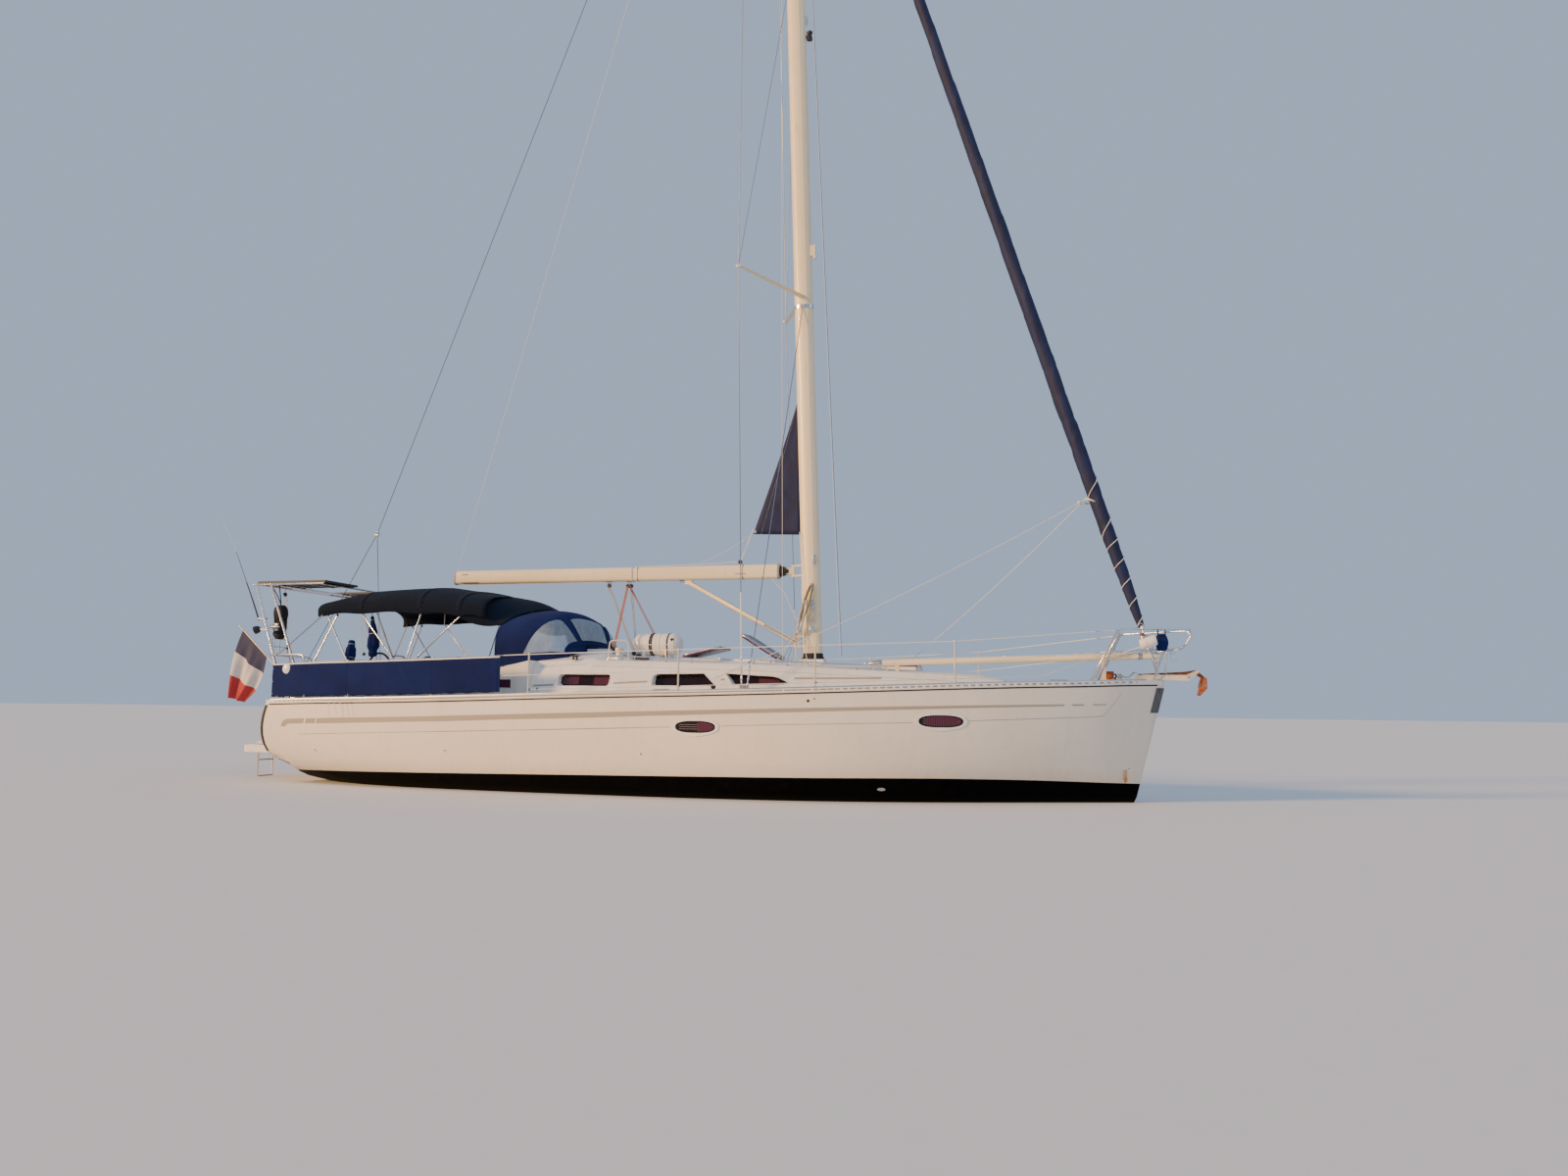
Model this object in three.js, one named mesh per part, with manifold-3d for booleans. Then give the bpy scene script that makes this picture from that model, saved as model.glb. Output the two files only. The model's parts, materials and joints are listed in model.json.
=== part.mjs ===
// A 46-foot cruising yacht, sloop rigged, afloat: hull, deck, rig, canvas work and deck gear.
// Millimetres. +X points to the bow, +Y to port, +Z up. The origin is on the waterline,
// on the centreline, half way between the stem head and the transom.
import * as THREE from "three";
import { mergeVertices } from "three/addons/utils/BufferGeometryUtils.js";
import Module from "manifold-3d";

const wasm = await Module();
wasm.setup();

// Driving dimensions
const GAP = 0.3; // between two pieces that rest on each other
const RUNNING_GAP = 0.4; // at a pin, hub or hinge
const BOW_X = 7000;
const TRANSOM_X = -7030;
const DRAUGHT = 1980;
const TOE_RAIL = { height: 60, width: 35, deckDrop: 30 };
const DECK_CAMBER = 0.04; // rise of the deck's centre, per millimetre of half-beam
const MAST = { footX: 1780, footZ: 2050, topZ: 21200, rake: -0.0364, chord: 310, width: 165 };
const BOOM = { axisX: 1450, z: 3450, foreX: 1220, aftX: -4550, depth: 232, width: 140 };
const FORESTAY = { footX: 6914, footZ: 1850, hankX: 1297, hankZ: 19420 };
const WHEEL = { x: -5480, y: 720, z: 1760, radius: 380 };
const PLATFORM = { hingeX: -7180, hingeZ: 470, length: 990, halfWidth: 650, thickness: 120 };
const RUDDER_X = -5750;
const PROPELLER = { x: -2300, z: -960, radius: 230 };

// Hull stations. The joint is the seam between hull and deck.
// x, half-beam, joint z, keel line z, side fullness, bilge fullness
const STATION_COLUMNS = ["x", "beam", "joint", "keel", "side", "bilge"];
const MAIN_STATIONS = [
  [-6930, 1640, 1265, 50, 3.2, 2.4],
  [-6000, 1800, 1290, -100, 3.4, 2.3],
  [-4400, 1990, 1320, -330, 3.8, 2.2],
  [-2950, 2085, 1360, -480, 4.0, 2.1],
  [-1030, 2150, 1420, -590, 4.0, 2.1],
  [400, 2160, 1455, -610, 4.0, 2.1],
  [1890, 2085, 1500, -590, 3.7, 2.0],
  [3100, 1880, 1545, -540, 3.3, 1.9],
  [4200, 1560, 1590, -460, 2.8, 1.7],
  [5100, 1200, 1625, -370, 2.4, 1.5],
  [5850, 830, 1650, -280, 2.1, 1.35],
  [6450, 470, 1675, -220, 1.9, 1.25],
  [BOW_X, 22, 1695, -160, 1.5, 1.1],
];

// A table with rows added between its own, on a smooth curve through them
function faired(table, between) {
  const slope = (i, k) => {
    const [a, b] = [table[Math.max(i - 1, 0)], table[Math.min(i + 1, table.length - 1)]];
    return (b[k] - a[k]) / (b[0] - a[0]);
  };
  const rows = table.slice(0, -1).flatMap((row, i) => {
    const next = table[i + 1];
    const span = next[0] - row[0];
    return Array.from({ length: between + 1 }, (_, step) => {
      const t = step / (between + 1);
      return row.map((value, k) => {
        if (k === 0) return value + t * span;
        const [m0, m1] = [slope(i, k) * span, slope(i + 1, k) * span];
        const [t2, t3] = [t * t, t * t * t];
        return (
          (2 * t3 - 3 * t2 + 1) * value + (t3 - 2 * t2 + t) * m0 + (3 * t2 - 2 * t3) * next[k] + (t3 - t2) * m1
        );
      });
    });
  });
  return [...rows, table[table.length - 1]];
}
const STATIONS = faired(MAIN_STATIONS, 2);
// The stem rakes aft below its head, by rake for each millimetre down, and curves away below its knee
const STEM = { fromX: 5100, rake: 0.255, forefoot: 330, knee: 0.9 };
const HULL_LEVELS = [0, 0.08, 0.18, 0.3, 0.42, 0.53, 0.63, 0.72, 0.8, 0.87, 0.93, 0.97, 0.992, 1];

// Coachroof stations: x, half-width at the deck, half-width at the top edge, edge z, crown z
const ROOF_COLUMNS = ["x", "base", "top", "edge", "crown"];
const MAIN_ROOF_STATIONS = [
  [-2290, 1590, 1340, 1960, 2180],
  [-1400, 1575, 1280, 2010, 2165],
  [-1280, 1570, 1265, 1985, 2075],
  [-600, 1550, 1210, 1970, 2062],
  [900, 1430, 1100, 1935, 2018],
  [2020, 1260, 950, 1895, 1978],
  [3150, 980, 760, 1840, 1905],
  [4350, 610, 460, 1775, 1838],
  [4740, 430, 330, 1725, 1752],
];
const ROOF_STATIONS = [...MAIN_ROOF_STATIONS.slice(0, 2), ...faired(MAIN_ROOF_STATIONS.slice(2), 2)];
const ROOF_WALL = 50;

// Materials of the solids
const finish = (color, roughness, metalness = 0) =>
  new THREE.MeshStandardMaterial({ color, roughness, metalness });
const gelcoat = finish(0xe9e2d3, 0.35);
const paintedAlloy = finish(0xece4d2, 0.4, 0.1);
const stainless = finish(0xc9ccd0, 0.25, 1);
const antifoul = finish(0x1c1e22, 0.8);
const canvas = finish(0x1c2a52, 0.9);
const acrylic = finish(0x18141a, 0.1);
const rusty = finish(0x9a5a36, 0.85, 0.2);
const sailcloth = finish(0x20305c, 0.85);
const teak = finish(0x9c7a54, 0.75);

// Solids and booleans
function solid(geometry) {
  const bare = new THREE.BufferGeometry().setAttribute("position", geometry.getAttribute("position"));
  if (geometry.index) bare.setIndex(geometry.index);
  const merged = mergeVertices(bare, 1e-3);
  const made = (indices) =>
    new wasm.Manifold(
      new wasm.Mesh({
        numProp: 3,
        vertProperties: new Float32Array(merged.attributes.position.array),
        triVerts: indices,
      }),
    );
  const indices = new Uint32Array(merged.index.array);
  const body = made(indices);
  return body.volume() < 0 ? made(indices.reverse()) : body;
}

const join = (...bodies) => bodies.flat().reduce((sum, body) => sum.add(body));
const cut = (body, ...tools) => tools.flat().reduce((rest, tool) => rest.subtract(tool), body);

const lifted = (body, rise = GAP) => solid(geometryOf(body).translate(0, 0, rise));

function geometryOf(body) {
  const mesh = body.getMesh();
  const position = new Float32Array(mesh.numVert * 3);
  for (let i = 0; i < mesh.numVert; i++)
    position.set(mesh.vertProperties.subarray(i * mesh.numProp, i * mesh.numProp + 3), i * 3);
  return new THREE.BufferGeometry()
    .setAttribute("position", new THREE.BufferAttribute(position, 3))
    .setIndex(new THREE.BufferAttribute(mesh.triVerts, 1));
}

// Rings of equal length skinned into one closed body. Point j faces point n-1-j across the ring,
// so that each end is closed by strips.
function loft(rings) {
  const count = rings[0].length;
  const position = rings.flat(2);
  const index = [];
  const at = (ring, j) => ring * count + (j % count);
  for (let r = 0; r < rings.length - 1; r++)
    for (let j = 0; j < count; j++)
      index.push(at(r, j), at(r, j + 1), at(r + 1, j), at(r, j + 1), at(r + 1, j + 1), at(r + 1, j));
  const close = (ring, turned) => {
    for (let j = 0; j < (count - 1) / 2; j++) {
      const [a, b, c, d] = [j, j + 1, count - 2 - j, count - 1 - j].map((k) => at(ring, k));
      if (turned) index.push(a, c, b, a, d, c);
      else index.push(a, b, c, a, c, d);
    }
  };
  close(0, true);
  close(rings.length - 1, false);
  const kept = [];
  for (let i = 0; i < index.length; i += 3) {
    const [a, b, c] = index.slice(i, i + 3);
    if (a !== b && b !== c && a !== c) kept.push(a, b, c);
  }
  return solid(
    new THREE.BufferGeometry()
      .setAttribute("position", new THREE.Float32BufferAttribute(position, 3))
      .setIndex(kept),
  );
}

const box = (x0, x1, y0, y1, z0, z1) =>
  solid(
    new THREE.BoxGeometry(x1 - x0, y1 - y0, z1 - z0).translate(
      (x0 + x1) / 2,
      (y0 + y1) / 2,
      (z0 + z1) / 2,
    ),
  );

const extruded = (outline, depth) =>
  new THREE.ExtrudeGeometry(new THREE.Shape(outline.map(([u, v]) => new THREE.Vector2(u, v))), {
    depth,
    bevelEnabled: false,
  });

// Prisms of an outline seen from above (x, y), from the side (x, z) and from ahead (y, z)
const planPrism = (outline, z0, z1) => solid(extruded(outline, z1 - z0).translate(0, 0, z0));
const sidePrism = (outline, y0, y1) =>
  solid(extruded(outline, y1 - y0).rotateX(Math.PI / 2).translate(0, y1, 0));
const crossPrism = (outline, x0, x1) =>
  solid(
    extruded(outline, x1 - x0)
      .applyMatrix4(
        new THREE.Matrix4().makeBasis(
          new THREE.Vector3(0, 1, 0),
          new THREE.Vector3(0, 0, 1),
          new THREE.Vector3(1, 0, 0),
        ),
      )
      .translate(x0, 0, 0),
  );

// A rectangle in any of those planes with its corners rounded
function roundedRect(u0, u1, v0, v1, radius, cornerSteps = 3) {
  const corners = [
    [u1 - radius, v1 - radius, 0],
    [u0 + radius, v1 - radius, 1],
    [u0 + radius, v0 + radius, 2],
    [u1 - radius, v0 + radius, 3],
  ];
  return corners.flatMap(([u, v, quarter]) =>
    Array.from({ length: cornerSteps + 1 }, (_, i) => {
      const angle = ((quarter + i / cornerSteps) * Math.PI) / 2;
      return [u + radius * Math.cos(angle), v + radius * Math.sin(angle)];
    }),
  );
}

// A path through given points, with its stations exactly on them
class Route extends THREE.Curve {
  constructor(points) {
    super();
    this.points = points.map((p) => new THREE.Vector3(...p));
  }
  getPoint(t, target = new THREE.Vector3()) {
    const place = Math.min(t, 1) * (this.points.length - 1);
    const i = Math.min(Math.floor(place + 1e-9), this.points.length - 2);
    return target.lerpVectors(this.points[i], this.points[i + 1], place - i);
  }
  getPointAt(u, target) {
    return this.getPoint(u, target);
  }
  getTangentAt(u, target = new THREE.Vector3()) {
    const i = Math.round(u * (this.points.length - 1));
    const leg = (a, b) => new THREE.Vector3().subVectors(this.points[b], this.points[a]).normalize();
    const last = this.points.length - 1;
    if (i > 0) target.copy(leg(i - 1, i));
    else target.set(0, 0, 0);
    if (i < last) target.add(leg(i, i + 1));
    return target.normalize();
  }
}

const circle = (radius, sides) =>
  new THREE.Shape(
    Array.from({ length: sides }, (_, i) => {
      const angle = (2 * Math.PI * i) / sides;
      return new THREE.Vector2(radius * Math.cos(angle), radius * Math.sin(angle));
    }),
  );

const tube = (points, radius, sides = 6) =>
  solid(
    new THREE.ExtrudeGeometry(circle(radius, sides), {
      extrudePath: new Route(points),
      steps: points.length - 1,
      bevelEnabled: false,
    }),
  );

// Points with each inner corner replaced by a short arc
function bent(points, radius, steps = 3) {
  const v = points.map((p) => new THREE.Vector3(...p));
  const out = [points[0]];
  for (let i = 1; i < v.length - 1; i++) {
    const back = v[i - 1].clone().sub(v[i]);
    const on = v[i + 1].clone().sub(v[i]);
    const reach = Math.min(radius, back.length() * 0.45, on.length() * 0.45);
    const from = v[i].clone().addScaledVector(back.normalize(), reach);
    const to = v[i].clone().addScaledVector(on.normalize(), reach);
    const curve = new THREE.QuadraticBezierCurve3(from, v[i], to);
    for (let k = 0; k <= steps; k++) out.push(curve.getPoint(k / steps).toArray());
  }
  out.push(points[points.length - 1]);
  return out;
}

// A turned shape: profile points are [radius, distance along the axis], from a to b
function turned(profile, from, to, sides = 12) {
  const a = new THREE.Vector3(...from);
  const axis = new THREE.Vector3(...to).sub(a).normalize();
  const geometry = new THREE.LatheGeometry(
    profile.map(([r, h]) => new THREE.Vector2(r, h)),
    sides,
  );
  return solid(
    geometry
      .applyQuaternion(new THREE.Quaternion().setFromUnitVectors(new THREE.Vector3(0, 1, 0), axis))
      .translate(...a.toArray()),
  );
}

const distance = (a, b) => new THREE.Vector3(...a).distanceTo(new THREE.Vector3(...b));
const rod = (a, b, radius, sides = 6) => {
  const length = distance(a, b);
  return turned([[0, 0], [radius, 0], [radius, length], [0, length]], a, b, sides);
};

// A table's row at any x, between its stations
function rowAt(table, columns, x) {
  const next = table.findIndex((row) => row[0] >= x);
  const hi = next < 1 ? 1 : next;
  const [a, b] = [table[hi - 1], table[hi]];
  const t = (x - a[0]) / (b[0] - a[0]);
  return Object.fromEntries(columns.map((name, i) => [name, a[i] + t * (b[i] - a[i])]));
}
const station = (x) => rowAt(STATIONS, STATION_COLUMNS, x);
const roofAt = (x) => rowAt(ROOF_STATIONS, ROOF_COLUMNS, x);
const deckZ = (x, y) => {
  const s = station(x);
  return s.joint + TOE_RAIL.deckDrop + DECK_CAMBER * Math.max(s.beam - Math.abs(y), 0);
};
const mastX = (z) => MAST.footX + MAST.rake * (z - MAST.footZ);

// The scene graph
const yacht = new THREE.Group();
const add = (name, body, material, group = yacht) => {
  const mesh = new THREE.Mesh(geometryOf(body), material);
  mesh.name = name;
  group.add(mesh);
};
const groupAt = (x, y, z) => {
  const group = new THREE.Group();
  group.position.set(x, y, z);
  yacht.add(group);
  return group;
};
const SIDES = [
  ["starboard", -1],
  ["port", 1],
];

// Hull
const transomX = (z) =>
  TRANSOM_X + 0.0004 * (z - 780) ** 2 + 1.2 * Math.max(0, 450 - z);

function hullRing(row, index, drop) {
  const [x, beam, joint, keel, side, bilge] = row;
  const foreness = Math.max(0, (x - STEM.fromX) / (BOW_X - STEM.fromX)) ** 2;
  const half = HULL_LEVELS.map((u) => {
    const z = joint + u * (keel - joint);
    const rounding = Math.max(0, (u - STEM.knee) / (1 - STEM.knee)) ** 2;
    const sweep = STEM.rake * (joint - z) + STEM.forefoot * rounding;
    const px = index === 0 ? transomX(z) : x - foreness * sweep;
    return [px, -beam * (1 - u ** side) ** (1 / bilge), z - drop];
  });
  const mirrored = half.slice(0, -1).reverse();
  return [...half, ...mirrored.map(([px, y, z]) => [px, -y, z])];
}
const hullSkin = (drop) => loft(STATIONS.map((row, i) => hullRing(row, i, drop)));

// The cockpit moulding's plan, grown by a margin
const COCKPIT = { aftX: -6700, foreX: -2292, aftHalf: 1400, foreHalf: 1560, floorZ: 820 };
const cockpitPlan = (margin) => [
  [COCKPIT.aftX - margin, -COCKPIT.aftHalf - margin],
  [COCKPIT.foreX + margin, -COCKPIT.foreHalf - margin],
  [COCKPIT.foreX + margin, COCKPIT.foreHalf + margin],
  [COCKPIT.aftX - margin, COCKPIT.aftHalf + margin],
];
const WALKWAY_HALF = 300;
const walkway = box(TRANSOM_X - 100, COCKPIT.aftX + 10, -WALKWAY_HALF, WALKWAY_HALF, 640, 2500);

// The saloon's hollow, from its sole up to the deck
const saloon = (margin) =>
  [-2150, -600, 900, 2020, 3150, 3900].map((x) => {
    const y = roofAt(x).base - 110 + margin;
    return [x, y];
  });
const saloonPlan = [...saloon(0).map(([x, y]) => [x, -y]), ...saloon(0).reverse()];
const SALOON_SOLE_Z = 250;

function hull() {
  const lugs = SIDES.flatMap(([, side]) =>
    [440, 560].map((y) =>
      sidePrism(
        [
          [-6900, 400],
          [-6900, 540],
          [-7190, 500],
          [-7208, 470],
          [-7190, 440],
        ],
        side * y - 15,
        side * y + 15,
      ),
    ),
  );
  const rudderBoss = rod([RUDDER_X, 0, -250], [RUDDER_X, 0, 60], 90, 16);
  return cut(
    join(hullSkin(0), rudderBoss, ...lugs),
    planPrism(cockpitPlan(GAP), COCKPIT.floorZ - GAP, 2500),
    planPrism(saloonPlan, SALOON_SOLE_Z, 2500),
    walkway,
  );
}
add("hull", hull(), gelcoat);

function deckSkin(lift) {
  return loft(
    STATIONS.map(([x, beam, joint]) => {
      const rail = Math.max(beam - TOE_RAIL.width, beam * 0.4);
      const z = joint + lift;
      const half = [
        [x, -beam, z + GAP],
        [x, -beam, z + TOE_RAIL.height],
        [x, -rail, z + TOE_RAIL.height],
        [x, -rail, z + TOE_RAIL.deckDrop],
      ];
      const centre = [x, 0, z + TOE_RAIL.deckDrop + DECK_CAMBER * beam];
      return [...half, centre, ...half.map(([px, y, pz]) => [px, -y, pz]).reverse()];
    }),
  );
}
const COMPANIONWAY = { half: 330, sillZ: 1400, foreX: -1760 };
const deck = cut(
  deckSkin(0),
  box(-2500, -2100, -COMPANIONWAY.half, COMPANIONWAY.half, COMPANIONWAY.sillZ, 2500),
  planPrism(cockpitPlan(GAP), 1000, 2500),
  planPrism(saloonPlan, 1000, 2500),
  walkway,
);
add("deck", deck, gelcoat);
const SINK = 6; // how far a foot is drawn into the deck before it is trimmed to its surface
const raisedDeck = lifted(deck);
const onDeck = (body) => cut(body, raisedDeck);

// Coachroof
function roofSkin(inset, lift = 0, from = 0) {
  return loft(
    ROOF_STATIONS.map(([x, base, top, edge, crown], i) => {
      let px = x;
      if (i === 0) px += inset;
      if (i === ROOF_STATIONS.length - 1) px -= 2 * inset;
      const foot = station(x).joint + 15 - from;
      const half = [
        [px, -base + inset, foot],
        [px, -(top + 70) + inset, edge - 75 - inset + lift],
        [px, -top + inset, edge - inset + lift],
        [px, -0.5 * top, edge + 0.75 * (crown - edge) - inset + lift],
      ];
      const centre = [px, 0, crown - inset + lift];
      return [...half, centre, ...half.map(([qx, y, z]) => [qx, -y, z]).reverse()];
    }),
  );
}

// Window outlines in side view
const WINDOWS = [
  roundedRect(-1840, -1020, 1590, 1765, 45),
  [
    [-330, 1605],
    [640, 1605],
    [420, 1790],
    [-300, 1775],
    [-345, 1740],
    [-345, 1640],
  ],
  [
    [900, 1620],
    [1640, 1640],
    [1700, 1665],
    [1540, 1735],
    [1460, 1752],
    [760, 1790],
  ],
];
// A lid's half-thickness, the height of its hinge over the frame and its knuckles' radius
const LID = { half: 14, rise: 14, knuckle: 11 };
const HATCH_RAIL_Z = 2205;
// Deck hatches on the coachroof and foredeck: name, hinge x, length towards the free edge, half-width
const HATCHES = [
  { name: "saloon_hatch_aft", hingeX: -300, length: 660, half: 300, angle: 12 },
  { name: "saloon_hatch_fore", hingeX: 1250, length: -700, half: 300, angle: 32 },
  { name: "forecabin_hatch", hingeX: 3450, length: -560, half: 260, angle: 0 },
];

function coachroof() {
  const openings = WINDOWS.flatMap((outline) => [
    sidePrism(outline, -2100, -800),
    sidePrism(outline, 800, 2100),
  ]);
  const hatchHoles = HATCHES.map(({ hingeX, length, half }) => {
    const [a, b] = [hingeX + Math.sign(length) * 60, hingeX + length - Math.sign(length) * 60];
    return box(Math.min(a, b), Math.max(a, b), -half + 60, half - 60, 1500, 2500);
  });
  const coamings = HATCHES.map(({ hingeX, length, half }) => {
    const [x0, x1] = [Math.min(hingeX, hingeX + length), Math.max(hingeX, hingeX + length)];
    const z = hatchSeat({ hingeX, length });
    return box(x0 + 20, x1 - 20, -half + 20, half - 20, z - 150, z);
  });
  const knuckles = HATCHES.flatMap(({ hingeX, length, half }) =>
    hatchKnuckles(half, 0).map(([y0, y1]) => {
      const z = hatchSeat({ hingeX, length }) + LID.rise;
      return join(
        rod([hingeX, y0, z], [hingeX, y1, z], LID.knuckle, 12),
        box(hingeX - LID.knuckle, hingeX + LID.knuckle, y0, y1, z - LID.rise - 60, z),
        box(hingeX - 30, hingeX + 30, y0, y1, z - LID.rise - 60, z - LID.rise - 4),
      );
    }),
  );
  const mastStep = box(MAST.footX - 190, MAST.footX + 190, -130, 130, 1940, MAST.footZ);
  const door = box(-2500, -2150, -COMPANIONWAY.half, COMPANIONWAY.half, COMPANIONWAY.sillZ, 2400);
  const hatchway = box(-2300, COMPANIONWAY.foreX, -COMPANIONWAY.half, COMPANIONWAY.half, 1900, 2500);
  const rails = [-1, 1].map((side) =>
    box(-2240, -1250, side * 375 - 20, side * 375 + 20, 2040, HATCH_RAIL_Z),
  );
  return cut(
    join(cut(roofSkin(0), roofSkin(ROOF_WALL, 0, 300)), mastStep, ...coamings, ...knuckles, ...rails),
    deckSkin(GAP),
    openings,
    hatchHoles,
    door,
    hatchway,
  );
}

// Spans of a lid's two hinge knuckles along Y
function hatchKnuckles(half, grow) {
  return [-0.55, 0.55].map((share) => [share * half - 30 - grow, share * half + 30 + grow]);
}

// Height of a hatch's frame: just above the roof at its higher end
function hatchSeat({ hingeX, length }) {
  return Math.max(roofAt(hingeX).crown, roofAt(hingeX + length).crown) + 18;
}
const roof = coachroof();
add("coachroof", roof, gelcoat);
const raisedRoof = lifted(roof);
const onRoof = (body) => cut(body, raisedRoof);

for (const [name, side] of SIDES)
  add(
    "cabin_window_" + name,
    cut(roofSkin(ROOF_WALL + GAP, 0, 300), roofSkin(ROOF_WALL + 9, 0, 400)).intersect(
      box(-1950, 1800, Math.min(side * 900, side * 2000), Math.max(side * 900, side * 2000), 1560, 1825),
    ),
    acrylic,
  );

const coamingTop = (x) => 1840 + (x + 2900) * (190 / 3600);

// Cockpit moulding: coamings, seats, footwell and helm seats
const SEAT = { z: 1400, half: 1180 };
const SOLE_Z = 900;
function cockpit() {
  const profile = [
    [COCKPIT.aftX, COCKPIT.floorZ],
    [COCKPIT.foreX, COCKPIT.floorZ],
    [COCKPIT.foreX, 1975],
    [-2900, 1840],
    [-6500, 1650],
    [COCKPIT.aftX, 1560],
  ];
  const shell = planPrism(cockpitPlan(0), COCKPIT.floorZ, 2200).intersect(
    sidePrism(profile, -2000, 2000),
  );
  const winches = [-3650, -4350].flatMap((x) =>
    SIDES.map(([, side]) => {
      const y = side * 1335;
      const z = coamingTop(x) - 40;
      return turned(
        [[0, 0], [92, 0], [92, 90], [58, 120], [54, 195], [82, 225], [82, 258], [0, 270]],
        [x, y, z],
        [x, y, z + 1],
        12,
      );
    }),
  );
  return cut(
    join(shell, ...winches),
    box(-4900, -2360, -SEAT.half, SEAT.half, SEAT.z, 2500),
    box(-6250, -4890, -SEAT.half, SEAT.half, SOLE_Z, 2500),
    box(-4900, -2360, -400, 400, SOLE_Z, 2500),
    box(-6640, -6240, -SEAT.half, SEAT.half, 1330, 2500),
    box(-6800, -6240, -WALKWAY_HALF, WALKWAY_HALF, SOLE_Z, 2500),
    box(-2400, -2200, -COMPANIONWAY.half, COMPANIONWAY.half, COMPANIONWAY.sillZ, 2500),
  );
}
const cockpitBody = cockpit();
add("cockpit", cockpitBody, gelcoat);

function table() {
  const foot = box(-4250, -3050, -70, 70, SOLE_Z + GAP, 1480);
  const leaf = box(-4350, -2950, -150, 150, 1480, 1560);
  const flaps = [-1, 1].map((side) => box(-4350, -2950, side * 160 - 12, side * 160 + 12, 1240, 1545));
  return join(foot, leaf, ...flaps);
}
add("cockpit_table", table(), teak);

// Steering pedestals and wheels
for (const [name, side] of SIDES) {
  const y = side * WHEEL.y;
  const post = loft(
    [
      [SOLE_Z + GAP, -5200, 130, 150],
      [1500, -5240, 100, 120],
      [1900, -5260, 110, 170],
    ].map(([z, x, a, b]) => [
      [x - a, y - b, z],
      [x + a, y - b, z],
      [x + a, y + b, z],
      [x - a, y + b, z],
    ]),
  );
  const hubSeat = rod([-5300, y, WHEEL.z], [WHEEL.x + 45, y, WHEEL.z], 40, 12);
  add("pedestal_" + name, join(post, hubSeat), gelcoat);

  const group = groupAt(WHEEL.x, y, WHEEL.z);
  const rim = solid(new THREE.TorusGeometry(WHEEL.radius - 15, 15, 6, 32).rotateY(Math.PI / 2));
  const spokes = Array.from({ length: 5 }, (_, i) => {
    const angle = Math.PI / 2 + (2 * Math.PI * i) / 5;
    const reach = WHEEL.radius - 15;
    return rod([0, 0, 0], [0, reach * Math.cos(angle), reach * Math.sin(angle)], 7, 6);
  });
  add(
    "wheel_" + name,
    join(rim, rod([-30, 0, 0], [45 - RUNNING_GAP, 0, 0], 45, 12), ...spokes),
    stainless,
    group,
  );
}

// Underbody
const FOIL = [
  [0, 0], [0.04, 0.32], [0.14, 0.46], [0.3, 0.5], [0.5, 0.44], [0.75, 0.25], [1, 0.03],
];
// A foil section at height z: nose x, chord and thickness, as a ring from the nose round to the tail
function foilRing(z, noseX, chord, thickness) {
  const half = FOIL.map(([u, t]) => [noseX - u * chord, -t * thickness, z]);
  return [...half, ...half.slice(1).reverse().map(([x, y, pz]) => [x, -y, pz])];
}

function keel() {
  const fin = loft([
    foilRing(-400, 1560, 2150, 250),
    foilRing(-700, 1500, 2050, 235),
    foilRing(-1300, 1330, 1750, 200),
    foilRing(-DRAUGHT + 160, 1200, 1600, 180),
  ]);
  const length = 2500;
  const bulb = turned(
    [[0, 0], [70, 60], [130, 260], [165, 700], [160, 1100], [110, 1700], [40, 2300], [0, length]],
    [1500, 0, -DRAUGHT + 165],
    [1500 - length, 0, -DRAUGHT + 165],
    14,
  );
  return cut(join(fin, bulb), hullSkin(GAP));
}
add("keel", keel(), antifoul);

function saildrive() {
  const leg = loft([
    foilRing(-400, -1830, 330, 150),
    foilRing(-700, -1860, 300, 110),
    foilRing(PROPELLER.z, -1880, 300, 100),
  ]);
  const gearcase = turned(
    [[0, 0], [45, 40], [68, 160], [66, 330], [55, 458], [0, 458]],
    [-1835, 0, PROPELLER.z],
    [-2300, 0, PROPELLER.z],
    12,
  );
  return cut(join(leg, gearcase), hullSkin(GAP));
}
add("saildrive", saildrive(), antifoul);

function propeller() {
  const face = RUNNING_GAP - 7;
  const hub = turned([[0, face], [50, face], [46, 60], [28, 110], [0, 130]], [0, 0, 0], [-1, 0, 0], 12);
  const blade = (turn) =>
    solid(
      new THREE.ExtrudeGeometry(
        new THREE.Shape(
          [
            [-26, 30], [-52, 90], [-62, 150], [-40, 208], [0, PROPELLER.radius],
            [36, 206], [54, 150], [44, 90], [26, 30],
          ].map(([u, v]) => new THREE.Vector2(u, v)),
        ),
        { depth: 9, bevelEnabled: false },
      )
        .translate(0, 0, -4.5)
        .rotateY(0.95)
        .rotateX(Math.PI / 2 + turn)
        .translate(-55, 0, 0),
    );
  return join(hub, ...[0, 1, 2].map((i) => blade((i * 2 * Math.PI) / 3)));
}
add("propeller", propeller(), finish(0x8d8a7c, 0.5, 0.7), groupAt(PROPELLER.x, 0, PROPELLER.z));

function rudder() {
  const blade = loft([
    foilRing(-1840, 95, 400, 60),
    foilRing(-1100, 125, 540, 85),
    foilRing(-300, 150, 640, 110),
  ]);
  return join(blade, rod([0, 0, -400], [0, 0, -250 - GAP], 42, 12));
}
add("rudder", rudder(), antifoul, groupAt(RUDDER_X, 0, 0));

// Mast and standing rigging
function mastRing(z, grow = 0) {
  const sides = 14;
  return Array.from({ length: sides }, (_, i) => {
    const angle = (2 * Math.PI * (i + 0.5)) / sides;
    return [
      mastX(z) + (MAST.chord / 2 + grow) * Math.cos(angle),
      (MAST.width / 2 + grow) * Math.sin(angle),
      z,
    ];
  });
}
const mastTube = (grow = 0) =>
  loft([mastRing(MAST.footZ + GAP - grow, grow), mastRing(MAST.topZ + grow, grow)]);

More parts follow.
